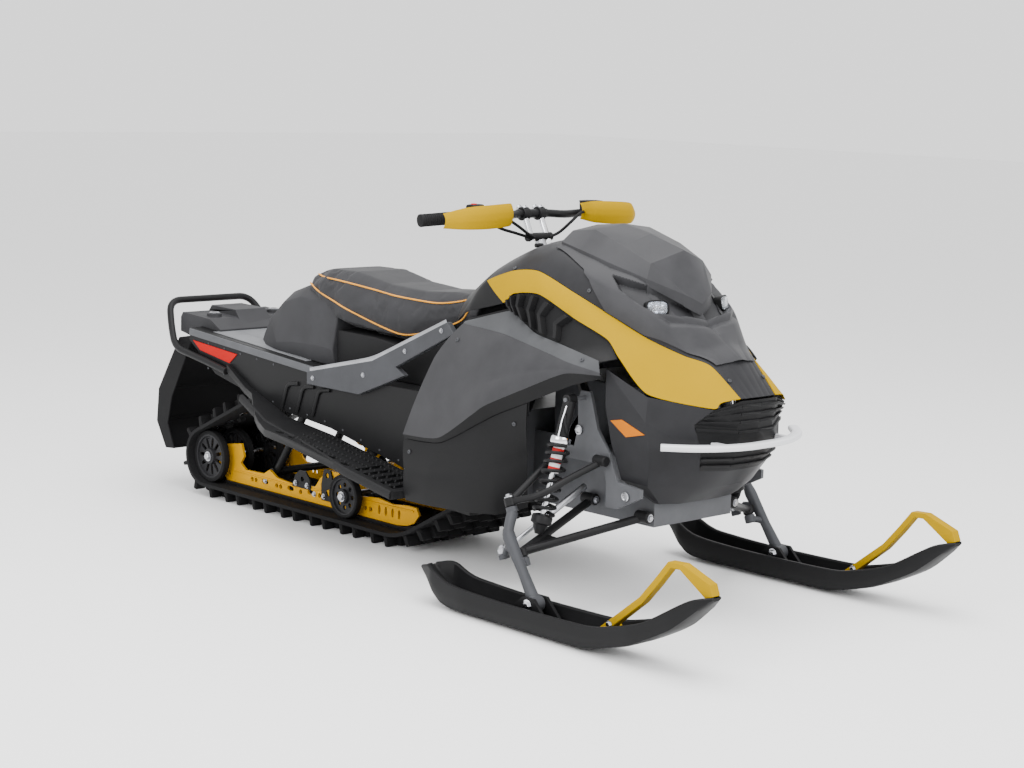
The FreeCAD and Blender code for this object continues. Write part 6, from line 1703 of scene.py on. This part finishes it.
    def wheel(self, radius: float, slots: int, round_holes: bool) -> tuple[Shape, Shape, Shape]:
        """A wheel that turns about X at the origin.

        Args:
            radius: over its tyre.
            slots: how many slots or holes its web has.
            round_holes: holes in place of slots.

        Returns:
            Its body, its tyre and its bolt.
        """
        inner = radius * 0.84

        def mirrored_lathe(half: Sequence[tuple[float, float]], steps: int, caps: bool = False) -> Shape:
            """A skin turned about X from half its profile, the other half the same at lower levels."""
            lower = [(size, -level) for size, level in half[::-1]]
            return lathe([*lower, *half], ORIGIN, ACROSS, steps, caps)

        disc = self.slotted_disc(inner * 0.99, 0.007, slots, round_holes)
        boss = mirrored_lathe([(radius * 0.33, 0.004), (radius * 0.3, 0.013), (0.012, 0.0145)], 28, True)
        rim = mirrored_lathe([(inner * 0.9, 0.0035), (inner * 0.93, 0.0095), (inner, 0.0105)], 56)
        outer = lathe([(inner, 0.0105), (inner, -0.0105)], ORIGIN, ACROSS, 56, False)
        tread = [(radius, 0.006), (radius * 0.985, 0.0105), (radius * 0.93, 0.012), (inner, 0.011)]
        tyre = mirrored_lathe(tread, 64)
        back = lathe([(inner, 0.011), (inner, -0.011)], ORIGIN, ACROSS, 64, False)
        bolt = hex_head(0.02, 0.009).stood((-0.0145, 0, 0), OUTWARD)
        return joined([disc, boss, rim, outer]), joined([tyre, back]), bolt

    def build_wheels(self) -> None:
        """Add the wheels: slotted rear idlers, drilled bogie wheels and small carriers."""
        bodies, tyres, bolts = [], [], []
        for radius, slots, round_holes, places in self.wheels:
            parts = self.wheel(radius, slots, round_holes)
            for x, y, z in places:
                for kept, part in zip((bodies, tyres, bolts), parts):
                    kept.append(part.moved((-x, y, z)))
        self.pair("wheel_discs", joined(bodies), SHELL_DARK, Edge(0.0007), ["idler_wheels"])
        self.pair("wheel_tyres", joined(tyres), RUBBER)
        self.pair("wheel_bolts", joined(bolts[:1] + bolts[2:3]), BARE_STEEL)

    def on_rail(self, shares: Cut) -> Array:
        """Places on a rail as (y, z), from shares of its length and height."""
        start, length, base, height = self.rail_box
        return np.array(shares) * (length, height) + (start, base)

    def build_rails(self) -> None:
        """Add the slide rails: plates with a raised lip, round and oval holes and a notched ear."""
        low, high = -self.rail_x - 0.004, -self.rail_x + 0.004
        holes = [oval(place, *size) for size, shares in self.holes for place in self.on_rail(shares)]
        holes += [oval((1.071, 0.129), 0.0135), oval((0.398, 0.1113), 0.0125), oval((0.503, 0.145), 0.011)]
        path = np.column_stack([np.full(8, low - 0.001), self.on_rail(self.lip)])
        raised = sweep(circle(10, 3.0) * (0.0028, 0.0024), rounded(path, 0.03, 5), ACROSS)
        rail = plate(self.on_rail(self.rail), holes, low, high)
        self.pair("rails_fine", rail, RAIL_YELLOW, Edge(0.0008, 2, 40.0, flat=True), ["rails"])
        self.pair("rail_lips", raised, RAIL_YELLOW)
        wide = mm((598, 92), (690, 92), (676, 128), (655, 146), (625, 146), (606, 126))
        tall = mm((478, 72), (545, 72), (548, 120), (536, 168), (505, 168), (488, 120))
        brackets = [plate(outline, bores, low - 0.005, low - 0.0002) for outline, bores in (
            (wide, [oval((0.64, 0.12), 0.008)]),
            (tall, [oval((0.52, 0.15), 0.008), oval((0.512, 0.098), 0.011)]),
        )]
        self.pair("rail_brackets", joined(brackets), SATIN_BLACK, Edge(0.0007, flat=True))
        places = mm((-124.5, 585, 82), (-129.2, 615, 104), (-129.2, 672, 104), (-129.2, 492, 84),
                    (-129.2, 534, 84), (-124.5, 830, 84))
        self.pair("rail_bolts", copies(hex_head(0.011, 0.006), places, [OUTWARD]), BARE_STEEL)

    def build_arms(self) -> None:
        """Add the shafts, the swinging arms and the dampers between them."""
        shafts = [cross_bar(170, level, 0.0118) for level in ((1071, 129), (398, 111.3))]
        self.add("axle_shafts", joined(shafts), BARE_STEEL, Edge(0.0008), ["idler_axles"])
        arms = []
        for top, foot in (((40, 290), (330, 114)), ((640, 375), (810, 114))):
            arms += [cross_bar(206.7, top, 0.012), cross_bar(115.7, foot, 0.012)]
            for x in (-95, 95):
                line = mm((x, *top), (x, (top[0] + foot[0]) / 2, (top[1] + foot[1]) / 2 - 6), (x, *foot))
                arms.append(tube(rounded(line, 0.08, 8), 0.0125, 16, ACROSS))
        self.add("swing_arms", joined(arms), SATIN_BLACK, Edge(0.0008), ["suspension_arms"])
        bodies, rods, coils = [], [], []
        start = spot(0, 330, 114)
        for end in (spot(0, 40, 290), spot(0, 640, 375)):
            run = unit(end - start)
            reach = np.linalg.norm(end - start)
            first, last = start + run * 0.0123, start + run * (reach - 0.0123)
            middle = first + (last - first) * 0.6
            long = np.linalg.norm(middle - first)
            profile = [(0.014, 0), (0.019, 0.004), (0.019, long - 0.004), (0.0165, long)]
            bodies.append(lathe(profile, first, run, 28))
            rods.append(bar(middle, last, 0.008, 18))
            coils.append(tube(helix(first + run * 0.03, last - run * 0.03, 0.026, 7), 0.0038, 10))
        self.add("damper_bodies", joined(bodies), SATIN_BLACK, replaced=["rear_shocks"])
        self.add("damper_rods", joined(rods), BRIGHT_STEEL)
        self.add("damper_coils", joined(coils), RAIL_YELLOW)
        self.refine("slide_shoes", SHELL_BLACK)
        self.refine("drive_axle", SATIN_BLACK)

    def build(self) -> None:
        """Add everything."""
        self.build_belt()
        self.build_wheels()
        self.build_rails()
        self.build_arms()


@dataclass
class FrontEnd(Assembly):
    """Bulkhead, arms, shocks, springs, spindles, tie rods and skis; right-hand places in millimetres.

    Args:
        ball: centre of the lower ball joint.
        rake: how far the steering axis leans back, in degrees.
        shock_top: upper eye of the shock.
        shock_foot: lower eye of the shock.
        pivot: middle of the ski's pivot bolt.
        ski_size: length, height and half width of a ski, in metres.
        ski_front: where a ski's tip stands in y, in metres.
        ski_top: the ski's top line as shares of length and height.
        ski_keel: its keel line, the same way.
        ski_plan: shares of its half width, each with the share of its length.
        ski_saddle: outline of its saddle plates as shares of length and height.
    """

    ball: tuple[float, float, float] = (-440.0, -652.44, 165.0)
    rake: float = 21.8
    shock_top: tuple[float, float, float] = (-295.0, -656.1, 554.9)
    shock_foot: tuple[float, float, float] = (-385.0, -648.1, 217.0)
    pivot: tuple[float, float, float] = (-476.0, -737.44, 68.0)
    ski_size: tuple[float, float, float] = (0.98, 0.205, 0.0615)
    ski_front: float = -1.3225
    ski_top: Cut = ((0, 1), (0.054, 0.927), (0.178, 0.576), (0.288, 0.41), (0.379, 0.341), (0.669, 0.327),
                    (0.87, 0.371), (0.952, 0.507), (1, 0.468))
    ski_keel: Cut = ((0.0, 0.951), (0.106, 0.527), (0.234, 0.22), (0.364, 0.049), (0.431, 0.029),
                     (0.86, 0.029), (0.931, 0.137), (1, 0.41))
    ski_plan: Cut = ((0.25, 0), (0.6, 0.03), (0.85, 0.1), (1, 0.22), (1, 0.82), (0.85, 0.94), (0.5, 1))
    ski_saddle: Cut = ((0.5, 0.06), (0.553, 0.3), (0.577, 0.42), (0.618, 0.42), (0.645, 0.3), (0.7, 0.06))

    def __post_init__(self) -> None:
        """Work out the steering axis and both balls."""
        rake = math.radians(self.rake)
        self.axis = np.array([0.0, math.sin(rake), math.cos(rake)])
        self.back = np.array([0.0, math.cos(rake), -math.sin(rake)])
        self.low = spot(*self.ball)
        self.high = self.low + self.axis * 0.155

    def build_lower_arms(self) -> None:
        """Add the lower A-arms with their ball housings, bushes and gussets."""
        joint = self.low + self.axis * 0.014
        inners = mm((-150.3, -806.4, 261.6), (-150.3, -614.3, 276.8))
        housing = [(0.012, 0.0003), (0.015, 0.003), (0.015, 0.021), (0.012, 0.0243)]
        shapes = [bar(joint, inner, 0.011, 18) for inner in inners]
        shapes.append(lathe(housing, self.low, self.axis, 28))
        shapes += [bush(0.014, 0.0155, 0.022, 0.002, inner - (0.016, 0, 0), ALONG, 24) for inner in inners]
        corners = np.stack([joint] + [joint + (inner - joint) * 0.32 for inner in inners])
        normal = unit(np.cross(corners[1] - joint, corners[2] - joint)) * 0.0025
        shapes.append(ring_shape(np.stack([corners - normal, corners + normal])))
        self.pair("lower_arm_tubes", joined(shapes), SATIN_BLACK, Edge(0.0012), ["lower_arms"])

    def build_upper_arms(self) -> None:
        """Add the upper A-arms, and the nuts of both."""
        heel = self.high - self.axis * 0.012
        lines = (
            [heel, *mm((-410, -680.2, 325.1), (-330.2, -705.2, 365.9), (-240.3, -733.2, 405))],
            [heel, *mm((-324.2, -606.1, 381.2), (-240.3, -578, 398.2))],
        )
        housing = [(0.012, -0.024), (0.015, -0.021), (0.015, -0.003), (0.012, 0.0)]
        shapes = [tube(rounded(line, 0.035, 8), 0.009, 18) for line in lines]
        shapes.append(lathe(housing, self.high, self.axis, 28))
        shapes += [bush(0.012, 0.0135, 0.02, 0.002, line[-1] - (0.015, 0, 0), ALONG, 24) for line in lines]
        self.pair("upper_arm_tubes", joined(shapes), SATIN_BLACK, Edge(0.0012), ["upper_arms"])
        inners = mm((-166.3, -828.4, 261.6), (-166.3, -636.3, 276.8))
        ball_nut = hex_head(0.016, 0.009).stood(self.high, self.axis)
        nuts = joined([ball_nut, copies(hex_head(0.013, 0.006), inners, [(0.0, -1.0, 0.0)])])
        self.pair("arm_nuts", nuts, BARE_STEEL)

    def build_shocks(self) -> None:
        """Add each shock: body, bright cap and shaft, striped sleeve, lower cup and coil, with a thin bright
        rod along the body as a painted highlight.
        """
        top, foot = spot(*self.shock_top), spot(*self.shock_foot)
        run = foot - top
        span = float(np.linalg.norm(run))
        body, cap, cup, neck = np.array((0.28, 0.33, 0.86, 0.93)) * span
        hose = top + mm((-16, -4, -30), (-34, -16, -40), (-30, -22, -78), (-12, -8, -96))
        beside = spot(-20, -8, 0)
        # The thin bright steel rod beside the black body, over the body's length, stands for a highlight line
        # on it: painted highlight.
        rod = [top + spot(-20, -8, -14), top + run * 0.15 + beside, top + run * 0.27 + beside]

        def turned(profile: Sequence[Sequence[float]], steps: int) -> Shape:
            """A profile turned about the shock's line, level zero at its top."""
            return lathe(profile, top, run, steps)

        tubes = [
            bush(0.012, 0.014, 0.015, 0.002, top, ACROSS),
            turned([(0.0165, 0.005), (0.017, 0.01), (0.017, body - 0.006), (0.0155, body)], 32),
            turned([(0.012, cup - 0.004), (0.025, cup), (0.027, cup + 0.004), (0.027, neck - 0.004),
                    (0.02, neck), (0.01, span)], 36),
            tube(rounded(hose, 0.02, 8), 0.0035, 10),
        ]
        self.pair("shock_tubes", joined(tubes), SATIN_BLACK, Edge(0.0006), ["shocks"])
        bright = [
            turned([(0.018, body - 0.002), (0.026, body), (0.027, body + 0.003), (0.027, cap - 0.003),
                    (0.0255, cap), (0.012, cap + 0.001)], 36),
            turned([(0.008, cap), (0.008, neck)], 20),
            # Painted highlight: the bright stripe along the shock body.
            tube(rod, 0.0024, 12),
        ]
        self.pair("shock_bright", joined(bright), BRIGHT_STEEL)
        self.pair("shock_sleeves", turned([(0.0145, cap + 0.002), (0.0145, cap + 0.075)], 24), WHITE_BAND)
        bands = [turned([(0.015, cap + low), (0.015, cap + low + 0.012)], 24) for low in (0.012, 0.038, 0.06)]
        self.pair("shock_bands", joined(bands), RED_BAND)
        coil = tube(helix(top + run * 0.335, top + run * 0.853, 0.0268, 8, 26), 0.0046, 12)
        self.pair("shock_coils", coil, SATIN_BLACK, replaced=["springs"])

    def upright(self, eye: Array) -> Shape:
        """One forged spindle: a bowed stem, two ball seats, a foot bush and a steering arm.

        Args:
            eye: underside of the tie rod's eye.

        Returns:
            The right-hand spindle.
        """
        knee = self.low - (0.03, 0, 0) + self.axis * 0.055
        cap = self.high - self.axis * 0.039
        foot = spot(*self.pivot)
        ball, pad = self.low - self.axis * 0.012, eye - self.axis * 0.0003
        web = knee + (foot - knee) * 0.45
        bend = cap + (knee - cap) * 0.55 - (0.006, 0, 0)
        stem = spline([cap, bend, knee, knee + (foot - knee) * 0.5, foot], 26)
        knots, radii = [0, 0.3, 0.5, 0.75, 1.0], [0.0135, 0.012, 0.0155, 0.012, 0.015]
        sizes = np.interp(np.linspace(0, 1, 26), knots, radii)
        arm = [pad - self.axis * 0.006, (pad + knee) / 2 - (0, 0.004, 0.004), knee + (foot - knee) * 0.2]
        seat = [(0.015, -0.039), (0.015, -0.0246), (0.0125, -0.0243)]
        return joined([
            sweep(circle(18, 2.8), stem, ACROSS, sizes),
            lathe(seat, self.high, self.axis, 28),
            lathe([(0.012, -0.024), (0.015, -0.022), (0.015, -0.003), (0.012, 0.0)], self.low, self.axis, 28),
            bar(ball, web, np.array([0.0105, 0.009, 0.011]), 16),
            bush(0.0185, 0.02, 0.017, 0.0015, foot, ACROSS, 32),
            lathe([(0.0125, -0.012), (0.014, -0.0105), (0.014, 0.0)], pad, self.axis, 28),
            tube(arm, np.array([0.009, 0.0085, 0.0115]), 16),
        ])

    def build_uprights(self) -> None:
        """Add the forged spindles and the tie rods, each on its own body."""
        eye = self.low + self.axis * 0.02 + self.back * 0.055 - (0.012, 0, 0)
        upright = self.upright(eye)
        inner = spot(-190, -617.34, 313.2)
        centre = eye + self.axis * 0.008
        shoulder = centre + (inner - centre) * 0.42
        run = unit(inner - centre)
        long = float(np.linalg.norm(inner - shoulder))
        link = joined([
            lathe([(0.0125, 0.0003), (0.014, 0.002), (0.014, 0.014), (0.0115, 0.016)], eye, self.axis, 28),
            bar(centre, shoulder, 0.006, 16),
            lathe([(0.006, -0.004), (0.0088, 0.004), (0.009, 0.008), (0.009, long)], shoulder, run, 22),
            hex_head(0.02, 0.012).stood(shoulder + run * 0.006, -run),
            hex_head(0.014, 0.008).stood(eye + self.axis * 0.016, self.axis),
        ])
        for hand in HANDS:
            spindle, rod = "spindle_" + hand, "tie_rod_" + hand
            self.add("upright_" + hand, upright.handed(hand), FORGED, Edge(0.0006), [spindle], spindle)
            self.add("link_" + hand, link.handed(hand), BARE_STEEL, PLAIN, [rod], rod)

    def ski_section(self, half: Array, keel: Array, top: Array, floor: Array) -> Array:
        """Rings of a channel with thick side rails.

        Each ring point stands at a share of the half width and a share of the height between
        the keel and the rail's top, so the channel closes by itself at both ends.

        Args:
            half: half width at each place along the ski.
            keel: level of its underside there.
            top: level of the rails' top.
            floor: level of the channel's floor.

        Returns:
            (places, points, 2) the rings as (x, z) about the middle.
        """
        wall = np.minimum(0.013, half * 0.4)
        rise = top - keel
        side = [
            (half * 0.0, keel), (half * 0.55, keel), (half * 0.82, keel + 0.003),
            (half * 0.95, keel + 0.3 * rise), (half, keel + 0.55 * rise), (half * 0.985, top - 0.003),
            (half - 0.004, top), (half - wall + 0.003, top), (half - wall, np.maximum(top - 0.004, floor)),
            (half - wall - 0.004, floor + 0.2 * (top - floor)), (half - wall - 0.009, floor),
            (half * 0.28, floor), (half * 0.22, np.minimum(floor + 0.006, top)),
            (half * 0.0, np.minimum(floor + 0.0075, top)),
        ]
        right = np.stack([np.stack([x, z], -1) for x, z in side], 1)
        return np.concatenate([right, right[:, -2:0:-1] * (-1.0, 1.0)], 1)

    def ski_shell(self) -> Shape:
        """One ski, sized by its top, keel and plan lines, with its saddle plates."""
        runs = ((0.0, 0.3, 30), (0.3, 0.9, 30), (0.9, 1.0, 12))
        along = np.unique(np.concatenate([np.linspace(*run) for run in runs]))
        top_line, keel_line = spline(self.ski_top, 200, 0.8), spline(self.ski_keel, 200, 0.6)
        plan = np.array(self.ski_plan)
        length, height, width = self.ski_size
        middle = self.pivot[0] * MM
        top = np.interp(along, *top_line.T) * height
        keel = np.minimum(np.interp(along, *keel_line.T) * height, top - 0.004)
        half = np.interp(along, plan[:, 1], plan[:, 0]) * width
        floor = np.minimum(keel + 0.008, top - 0.002)
        keel, top, floor = np.maximum(keel, 0.006), np.maximum(top, 0.012), np.maximum(floor, 0.013)
        flat = self.ski_section(half, keel, top, floor)
        y = np.broadcast_to((self.ski_front + along * length)[:, None], flat.shape[:2])
        rings = np.stack([middle + flat[..., 0], y, flat[..., 1]], -1)
        outline = np.array(self.ski_saddle) * (length, height) + (self.ski_front, 0.0)
        bore = [oval((self.ski_front + 0.545 * length + 0.006, 0.03), 0.008)]
        plates = [plate(outline, bore, low, low + 0.0095) for low in (middle - 0.0272, middle + 0.0177)]
        return joined([ring_shape(rings), *plates])

    def ski_deck(self) -> Shape:
        """The two long ribs and the short cross grips on a ski's floor."""
        centre = self.pivot[0] * MM
        y = np.linspace(-1.06, -0.5, 24)
        z = np.interp(y, [-1.093, -0.966, -0.9, -0.48], [0.05, 0.0175, 0.0135, 0.0135])
        shapes = []
        for offset in (-0.026, 0.026):
            path = np.column_stack([np.full(24, centre + offset), y, z])
            shapes.append(sweep(circle(12, 2.6) * (0.0055, 0.006), path, UP))
        for level in np.arange(-600.0, -500.0, 22.0):
            line = mm((-516, level, 14), (-476, level, 14), (-436, level, 14))
            shapes.append(sweep(circle(8, 2.4) * (0.004, 0.0025), line, UP))
        return joined(shapes)

    def ski_bolts(self) -> Shape:
        """The heads of the pivot bolt and of the loop's bolts."""
        centre, pivot = self.pivot[0] * MM, spot(*self.pivot)
        sides = [(-1.0, 0.0, 0.0), ACROSS]
        ends = [(centre - 0.0273, pivot[1], pivot[2]), (centre + 0.0273, pivot[1], pivot[2])]
        studs = mm((-489.5, -985, 53), (-462.5, -985, 53), (-489.5, -1003, 74), (-462.5, -1003, 74))
        heads = copies(hex_head(0.013, 0.006), studs, sides * 2)
        return joined([copies(hex_head(0.019, 0.008), ends, sides), heads])

    def build_skis(self) -> None:
        """Add the skis with floor ribs and saddle bolts, their loops and wear bars."""
        shell, deck, bolts = self.ski_shell(), self.ski_deck(), self.ski_bolts()
        for hand in HANDS:
            body = "ski_" + hand
            self.add("ski_shell_" + hand, shell.handed(hand), SHELL_BLACK, Edge(0.0008), [body], body)
            self.refine("ski_loop_" + hand, SHELL_YELLOW, Edge(0.006, 4), body)
            self.refine("ski_runner_" + hand, BARE_STEEL, body=body)
            self.add("ski_ribs_" + hand, deck.handed(hand), SHELL_BLACK, body=body)
            self.add("ski_bolts_" + hand, bolts.handed(hand), BRIGHT_STEEL, body=body)

    def build(self) -> None:
        """Add everything."""
        self.refine("bulkhead", TOWER_GREY, Edge(0.0015))
        boss = lathe([(0.0125, 0), (0.0125, 0.004), (0.009, 0.005), (0.007, 0.0025)], steps=28)
        bosses = copies(boss, mm((-241, -811, 323), (-241, -640, 470)), [OUTWARD])
        self.pair("tower_bosses", bosses, BARE_STEEL)
        self.build_lower_arms()
        self.build_upper_arms()
        self.build_shocks()
        self.build_uprights()
        self.build_skis()


@dataclass
class Steering(Assembly):
    """Column, riser, bar, grips, guards and controls; right-hand places in millimetres.

    Args:
        bar: centre line of the bar's right half.
        guard: middle line of a guard as shares of the reach, from the outer end inwards.
        guard_rows: level and bow of each line of a guard, as shares of its height.
        guard_height: its height, in metres.
        top: middle of the bar.
        reach: half the bar's width.
        rake: how far the riser leans back, in degrees.
        routes: the way of each control cable.
    """

    body: str = "steering"
    bar: Cut = ((-391.0, -170.2, 975.2), (-203.3, -207.4, 986.9), (-109.5, -211.3, 983.0),
                (-58.7, -193.7, 986.9))
    guard: Cut = ((0.93, -0.1, -0.02), (0.8, -0.19, 0.0), (0.62, -0.23, 0.01), (0.42, -0.21, 0.02),
                  (0.36, -0.12, 0.02))
    guard_rows: Cut = ((0.47, 0.0), (0.25, 0.12), (0.0, 0.16), (-0.28, 0.12), (-0.52, 0.03))
    guard_height: float = 0.062
    top: tuple[float, float, float] = (0.0, -193.7, 986.9)
    reach: float = 391.0
    rake: float = 27.0
    routes: Sequence[Cut] = (
        ((-214, -232, 995), (-176, -262, 988), (-120, -262, 962), (-62, -246, 936), (-30, -238, 924)),
        ((-216, -226, 984), (-170, -244, 956), (-110, -246, 940), (-50, -238, 926), (-28, -232, 922)),
        ((160, -244, 992), (112, -270, 990), (76, -270, 966), (56, -248, 938), (30, -236, 924)),
    )

    def build_column(self) -> None:
        """Add the bar with its pad, the riser's columns, clamps and bolts."""
        path = rounded(mirrored_path(mm(*self.bar)), 0.06, 10)
        pad = tube(mm((-56, -193.7, 986.9), (0, -193.7, 986.9), (56, -193.7, 986.9)), 0.0125, 22, UP)
        line = joined([tube(path, 0.011, 22, UP), pad])
        self.add("bar_tube", line, SATIN_BLACK, Edge(0.0006), ["handlebar"])
        rake = math.radians(self.rake)
        axis = np.array([0.0, math.sin(rake), math.cos(rake)])
        foot = spot(0, -240, 896) + axis * 0.02
        top = foot + axis * 0.082
        columns, clamps = [], []
        for x in (-30, 30):
            side = spot(x, 0, 0)
            columns.append(tube(np.stack([foot, (foot + top) / 2, top]) + side, 0.009, 20))
            clamps.append(bush(0.0175, 0.019, 0.012, 0.002, top + side, ACROSS))
            clamps.append(tube(mm((x - 13, -257, 905), (x, -257, 905), (x + 13, -257, 905)), 0.006, 12, UP))
        pinch, side = foot + axis * 0.0123, spot(45, 0, 0)
        clamps.append(bar(pinch - side, pinch + side, 0.012, 22, UP))
        self.add("riser_columns", joined(columns), BRIGHT_STEEL)
        self.add("riser_clamps", joined(clamps), SATIN_BLACK, Edge(0.0006), ["riser"])
        corners = [top + axis * 0.0165 + (x, y, 0) for x in (-0.03, 0.03) for y in (-0.011, 0.011)]
        self.add("clamp_bolts", copies(hex_head(0.011, 0.008), corners, [axis]), BARE_STEEL)

    def build_guards(self) -> None:
        """Add the hand guards, one smooth bowed shell each, and the stubs that hold them."""
        line = mm(self.top) + np.array(self.guard) * (-1.0, 1.0, 1.0) * self.reach * MM
        levels = np.array(self.guard_rows) * self.guard_height
        rows = np.stack([line + (0.0, -bow, level) for level, bow in levels])
        taper = np.array([0.62, 0.92, 1.0, 0.95, 0.7])[None, :, None]
        rows = line + (rows - line) * np.where(np.arange(3) == 2, taper, 1.0)
        smooth = hermite(rows, np.linspace(0, 4, 21), 0.9)
        shell = sheet_shape(hermite(smooth.transpose(1, 0, 2), np.linspace(0, 4, 41), 0.9))
        edge = Edge(0.0012, 2, 40.0, 0.0036, even=False)
        self.pair("guard_shells", shell, SHELL_YELLOW, edge, ["hand_guards"])
        stub = tube(mm(self.bar[1], (-225, -250, 988), (-242, -281, 991)), 0.006, 14)
        self.pair("guard_stubs", stub, SATIN_BLACK)

    def build_grips(self) -> None:
        """Add the ribbed grips."""
        profile = [(0.011, -0.0003), (0.017, 0.002), (0.0175, 0.006)]
        for level in np.arange(0.010, 0.116, 0.006):
            profile += [(0.0172, level), (0.0155, level + 0.0012), (0.0155, level + 0.0028),
                        (0.0172, level + 0.004)]
        profile += [(0.0172, 0.118), (0.021, 0.12), (0.021, 0.126), (0.0115, 0.13)]
        end, start = mm(*self.bar[:2])
        self.pair("grip_rubbers", lathe(profile, end, unit(start - end), 28), RUBBER, replaced=["grips"])

    def build_controls(self) -> None:
        """Add the switch block, the brake cylinder, both levers and their cables."""
        end, start = mm(*self.bar[:2])
        run = unit(start - end)
        clamp = [(0.014, 0.0), (0.02, 0.003), (0.0215, 0.008), (0.0215, 0.034), (0.019, 0.04), (0.013, 0.042)]
        block = lathe(clamp, end + run * 0.136, run, 32)

        def squarish(power: float, half: Sequence[float], path: Array, steps: int = 20) -> Shape:
            """A bar along a path whose section is a rounded rectangle."""
            return sweep(circle(steps, power) * half, path, UP)

        pod = squarish(4.0, (0.017, 0.0135), mm((-250, -214, 1004), (-232, -214, 1006), (-212, -212, 1005)))
        seat = box_shape((-0.240, -0.252, 0.978), (-0.222, -0.205, 1.0))
        self.add("switch_block", joined([block, pod, seat]), CLADDING, Edge(0.0012))
        button = [(0.009, 0.0), (0.009, 0.006), (0.0075, 0.0085), (0.002, 0.009)]
        self.add("stop_button", lathe(button, spot(-236, -214, 1012), steps=24), RED_LENS)
        left = joined([block, seat]).mirrored()
        cylinder = squarish(5.0, (0.016, 0.013), mm((175, -218, 1006), (200, -222, 1007), (232, -226, 1006)))
        lid = squarish(5.0, (0.0175, 0.0028), mm((174, -218, 1018), (200, -222, 1019), (233, -226, 1018)))
        barrel = tube(mm((150, -236, 992), (185, -240, 993), (215, -244, 993)), 0.0095, 18, UP)
        self.add("brake_cylinder", joined([left, cylinder, lid, barrel]), CLADDING, Edge(0.0012))
        lever = mm((205, -246, 993), (240, -262, 992), (290, -262, 988), (335, -248, 985), (362, -236, 984))
        thumb = mm((-236, -236, 980), (-252, -240, 972), (-276, -232, 964))
        blades = [squarish(3.0, (0.0065, 0.0038), spline(lever, 26), 14),
                  squarish(3.0, (0.0075, 0.0035), spline(thumb, 14), 14)]
        self.add("levers", joined(blades), SATIN_BLACK)
        hoses = [tube(spline(mm(*route), 40), 0.0042, 12) for route in self.routes]
        self.add("control_hoops", joined(hoses), RUBBER)

    def build(self) -> None:
        """Add everything."""
        self.refine("steering_post", BARE_STEEL)
        self.build_column()
        self.build_guards()
        self.build_grips()
        self.build_controls()


# Studio


@dataclass(frozen=True)
class Studio:
    """Pale floor, soft light and the camera.

    Args:
        place: where the camera stands.
        azimuth: its heading from +Y towards +X, in degrees.
        dip: how far it looks down, in degrees.
        roll: how far it leans, in degrees.
        lens: focal length for a 36 mm frame, in millimetres.
    """

    place: tuple[float, float, float] = (-4.057, -4.342, 1.372)
    azimuth: float = 43.97
    dip: float = 8.45
    roll: float = 1.78
    lens: float = 73.92

    def build_camera(self) -> None:
        """Stand the camera at the picture's place and angle."""
        azimuth, dip, roll = (math.radians(angle) for angle in (self.azimuth, self.dip, self.roll))
        flat = math.cos(dip)
        ahead = np.array([math.sin(azimuth) * flat, math.cos(azimuth) * flat, -math.sin(dip)])
        level = np.array([math.cos(azimuth), -math.sin(azimuth), 0.0])
        upward = np.cross(level, ahead)
        right = math.cos(roll) * level + math.sin(roll) * upward
        up = math.cos(roll) * upward - math.sin(roll) * level
        columns = np.eye(4)
        columns[:3, 0], columns[:3, 1], columns[:3, 2], columns[:3, 3] = right, up, -ahead, self.place
        data = bpy.data.cameras.new("camera")
        data.lens, data.sensor_width = self.lens, 36.0
        data.clip_start, data.clip_end = 0.1, 100.0
        camera = bpy.data.objects.new("camera", data)
        camera.matrix_world = Matrix(columns.tolist())
        bpy.context.scene.collection.objects.link(camera)
        bpy.context.scene.camera = camera

    def build_floor(self) -> None:
        """Lay a wide pale floor just under the lowest point."""
        mesh = bpy.data.meshes.new("floor")
        half, level = 30.0, CAD_BOX[0][2] - 0.0002
        corners = [(x * half, y * half, level) for x, y in ((-1, -1), (1, -1), (1, 1), (-1, 1))]
        mesh.from_pydata(corners, [], [(0, 1, 2, 3)])
        floor = bpy.data.objects.new("floor", mesh)
        bpy.context.scene.collection.objects.link(floor)
        made = bpy.data.materials.new("floor_white")
        made.use_nodes = True
        shader = made.node_tree.nodes["Principled BSDF"]
        shader.inputs["Base Color"].default_value = (0.93, 0.93, 0.93, 1.0)
        shader.inputs["Roughness"].default_value = 0.6
        shader.inputs["Specular IOR Level"].default_value = 0.2
        mesh.materials.append(made)

    def build_light(self) -> None:
        """Light the sled from a white room, one large soft lamp above, one at the near side and one in front.
        """
        world = bpy.data.worlds.new("room")
        bpy.context.scene.world = world
        world.use_nodes = True
        background = world.node_tree.nodes["Background"]
        background.inputs["Color"].default_value = (1.0, 1.0, 1.0, 1.0)
        background.inputs["Strength"].default_value = 1.55
        lamps = (
            ("overhead", (-0.5, -0.6, 4.2), 260.0, (3.5, 4.5)),
            ("near_side", (-4.5, -1.0, 2.6), 120.0, (3.0, 2.0)),
            ("front", (-0.5, -5.0, 2.6), 110.0, (3.0, 2.0)),
        )
        for name, place, power, size in lamps:
            data = bpy.data.lights.new(name, "AREA")
            data.shape, data.energy = "RECTANGLE", power
            data.size, data.size_y = size
            lamp = bpy.data.objects.new(name, data)
            aim = np.array((0.0, -0.2, 0.4)) - np.array(place)
            columns = np.eye(4)
            columns[:3, :3] = basis(-aim)
            columns[:3, 3] = place
            lamp.matrix_world = Matrix(columns.tolist())
            bpy.context.scene.collection.objects.link(lamp)

    def build(self) -> None:
        """Add everything."""
        self.build_camera()
        self.build_floor()
        self.build_light()


def main() -> None:
    """Build the sled's sub-assemblies in order."""
    logging.basicConfig(level=logging.INFO, format="%(name)s: %(message)s")
    for part in (Studio(), Bodywork(), RearFrame(), Saddle(), TrackDrive(), FrontEnd(), Steering()):
        part.build()
        LOG.info("built %s", type(part).__name__)


if __name__ == "__main__":
    main()
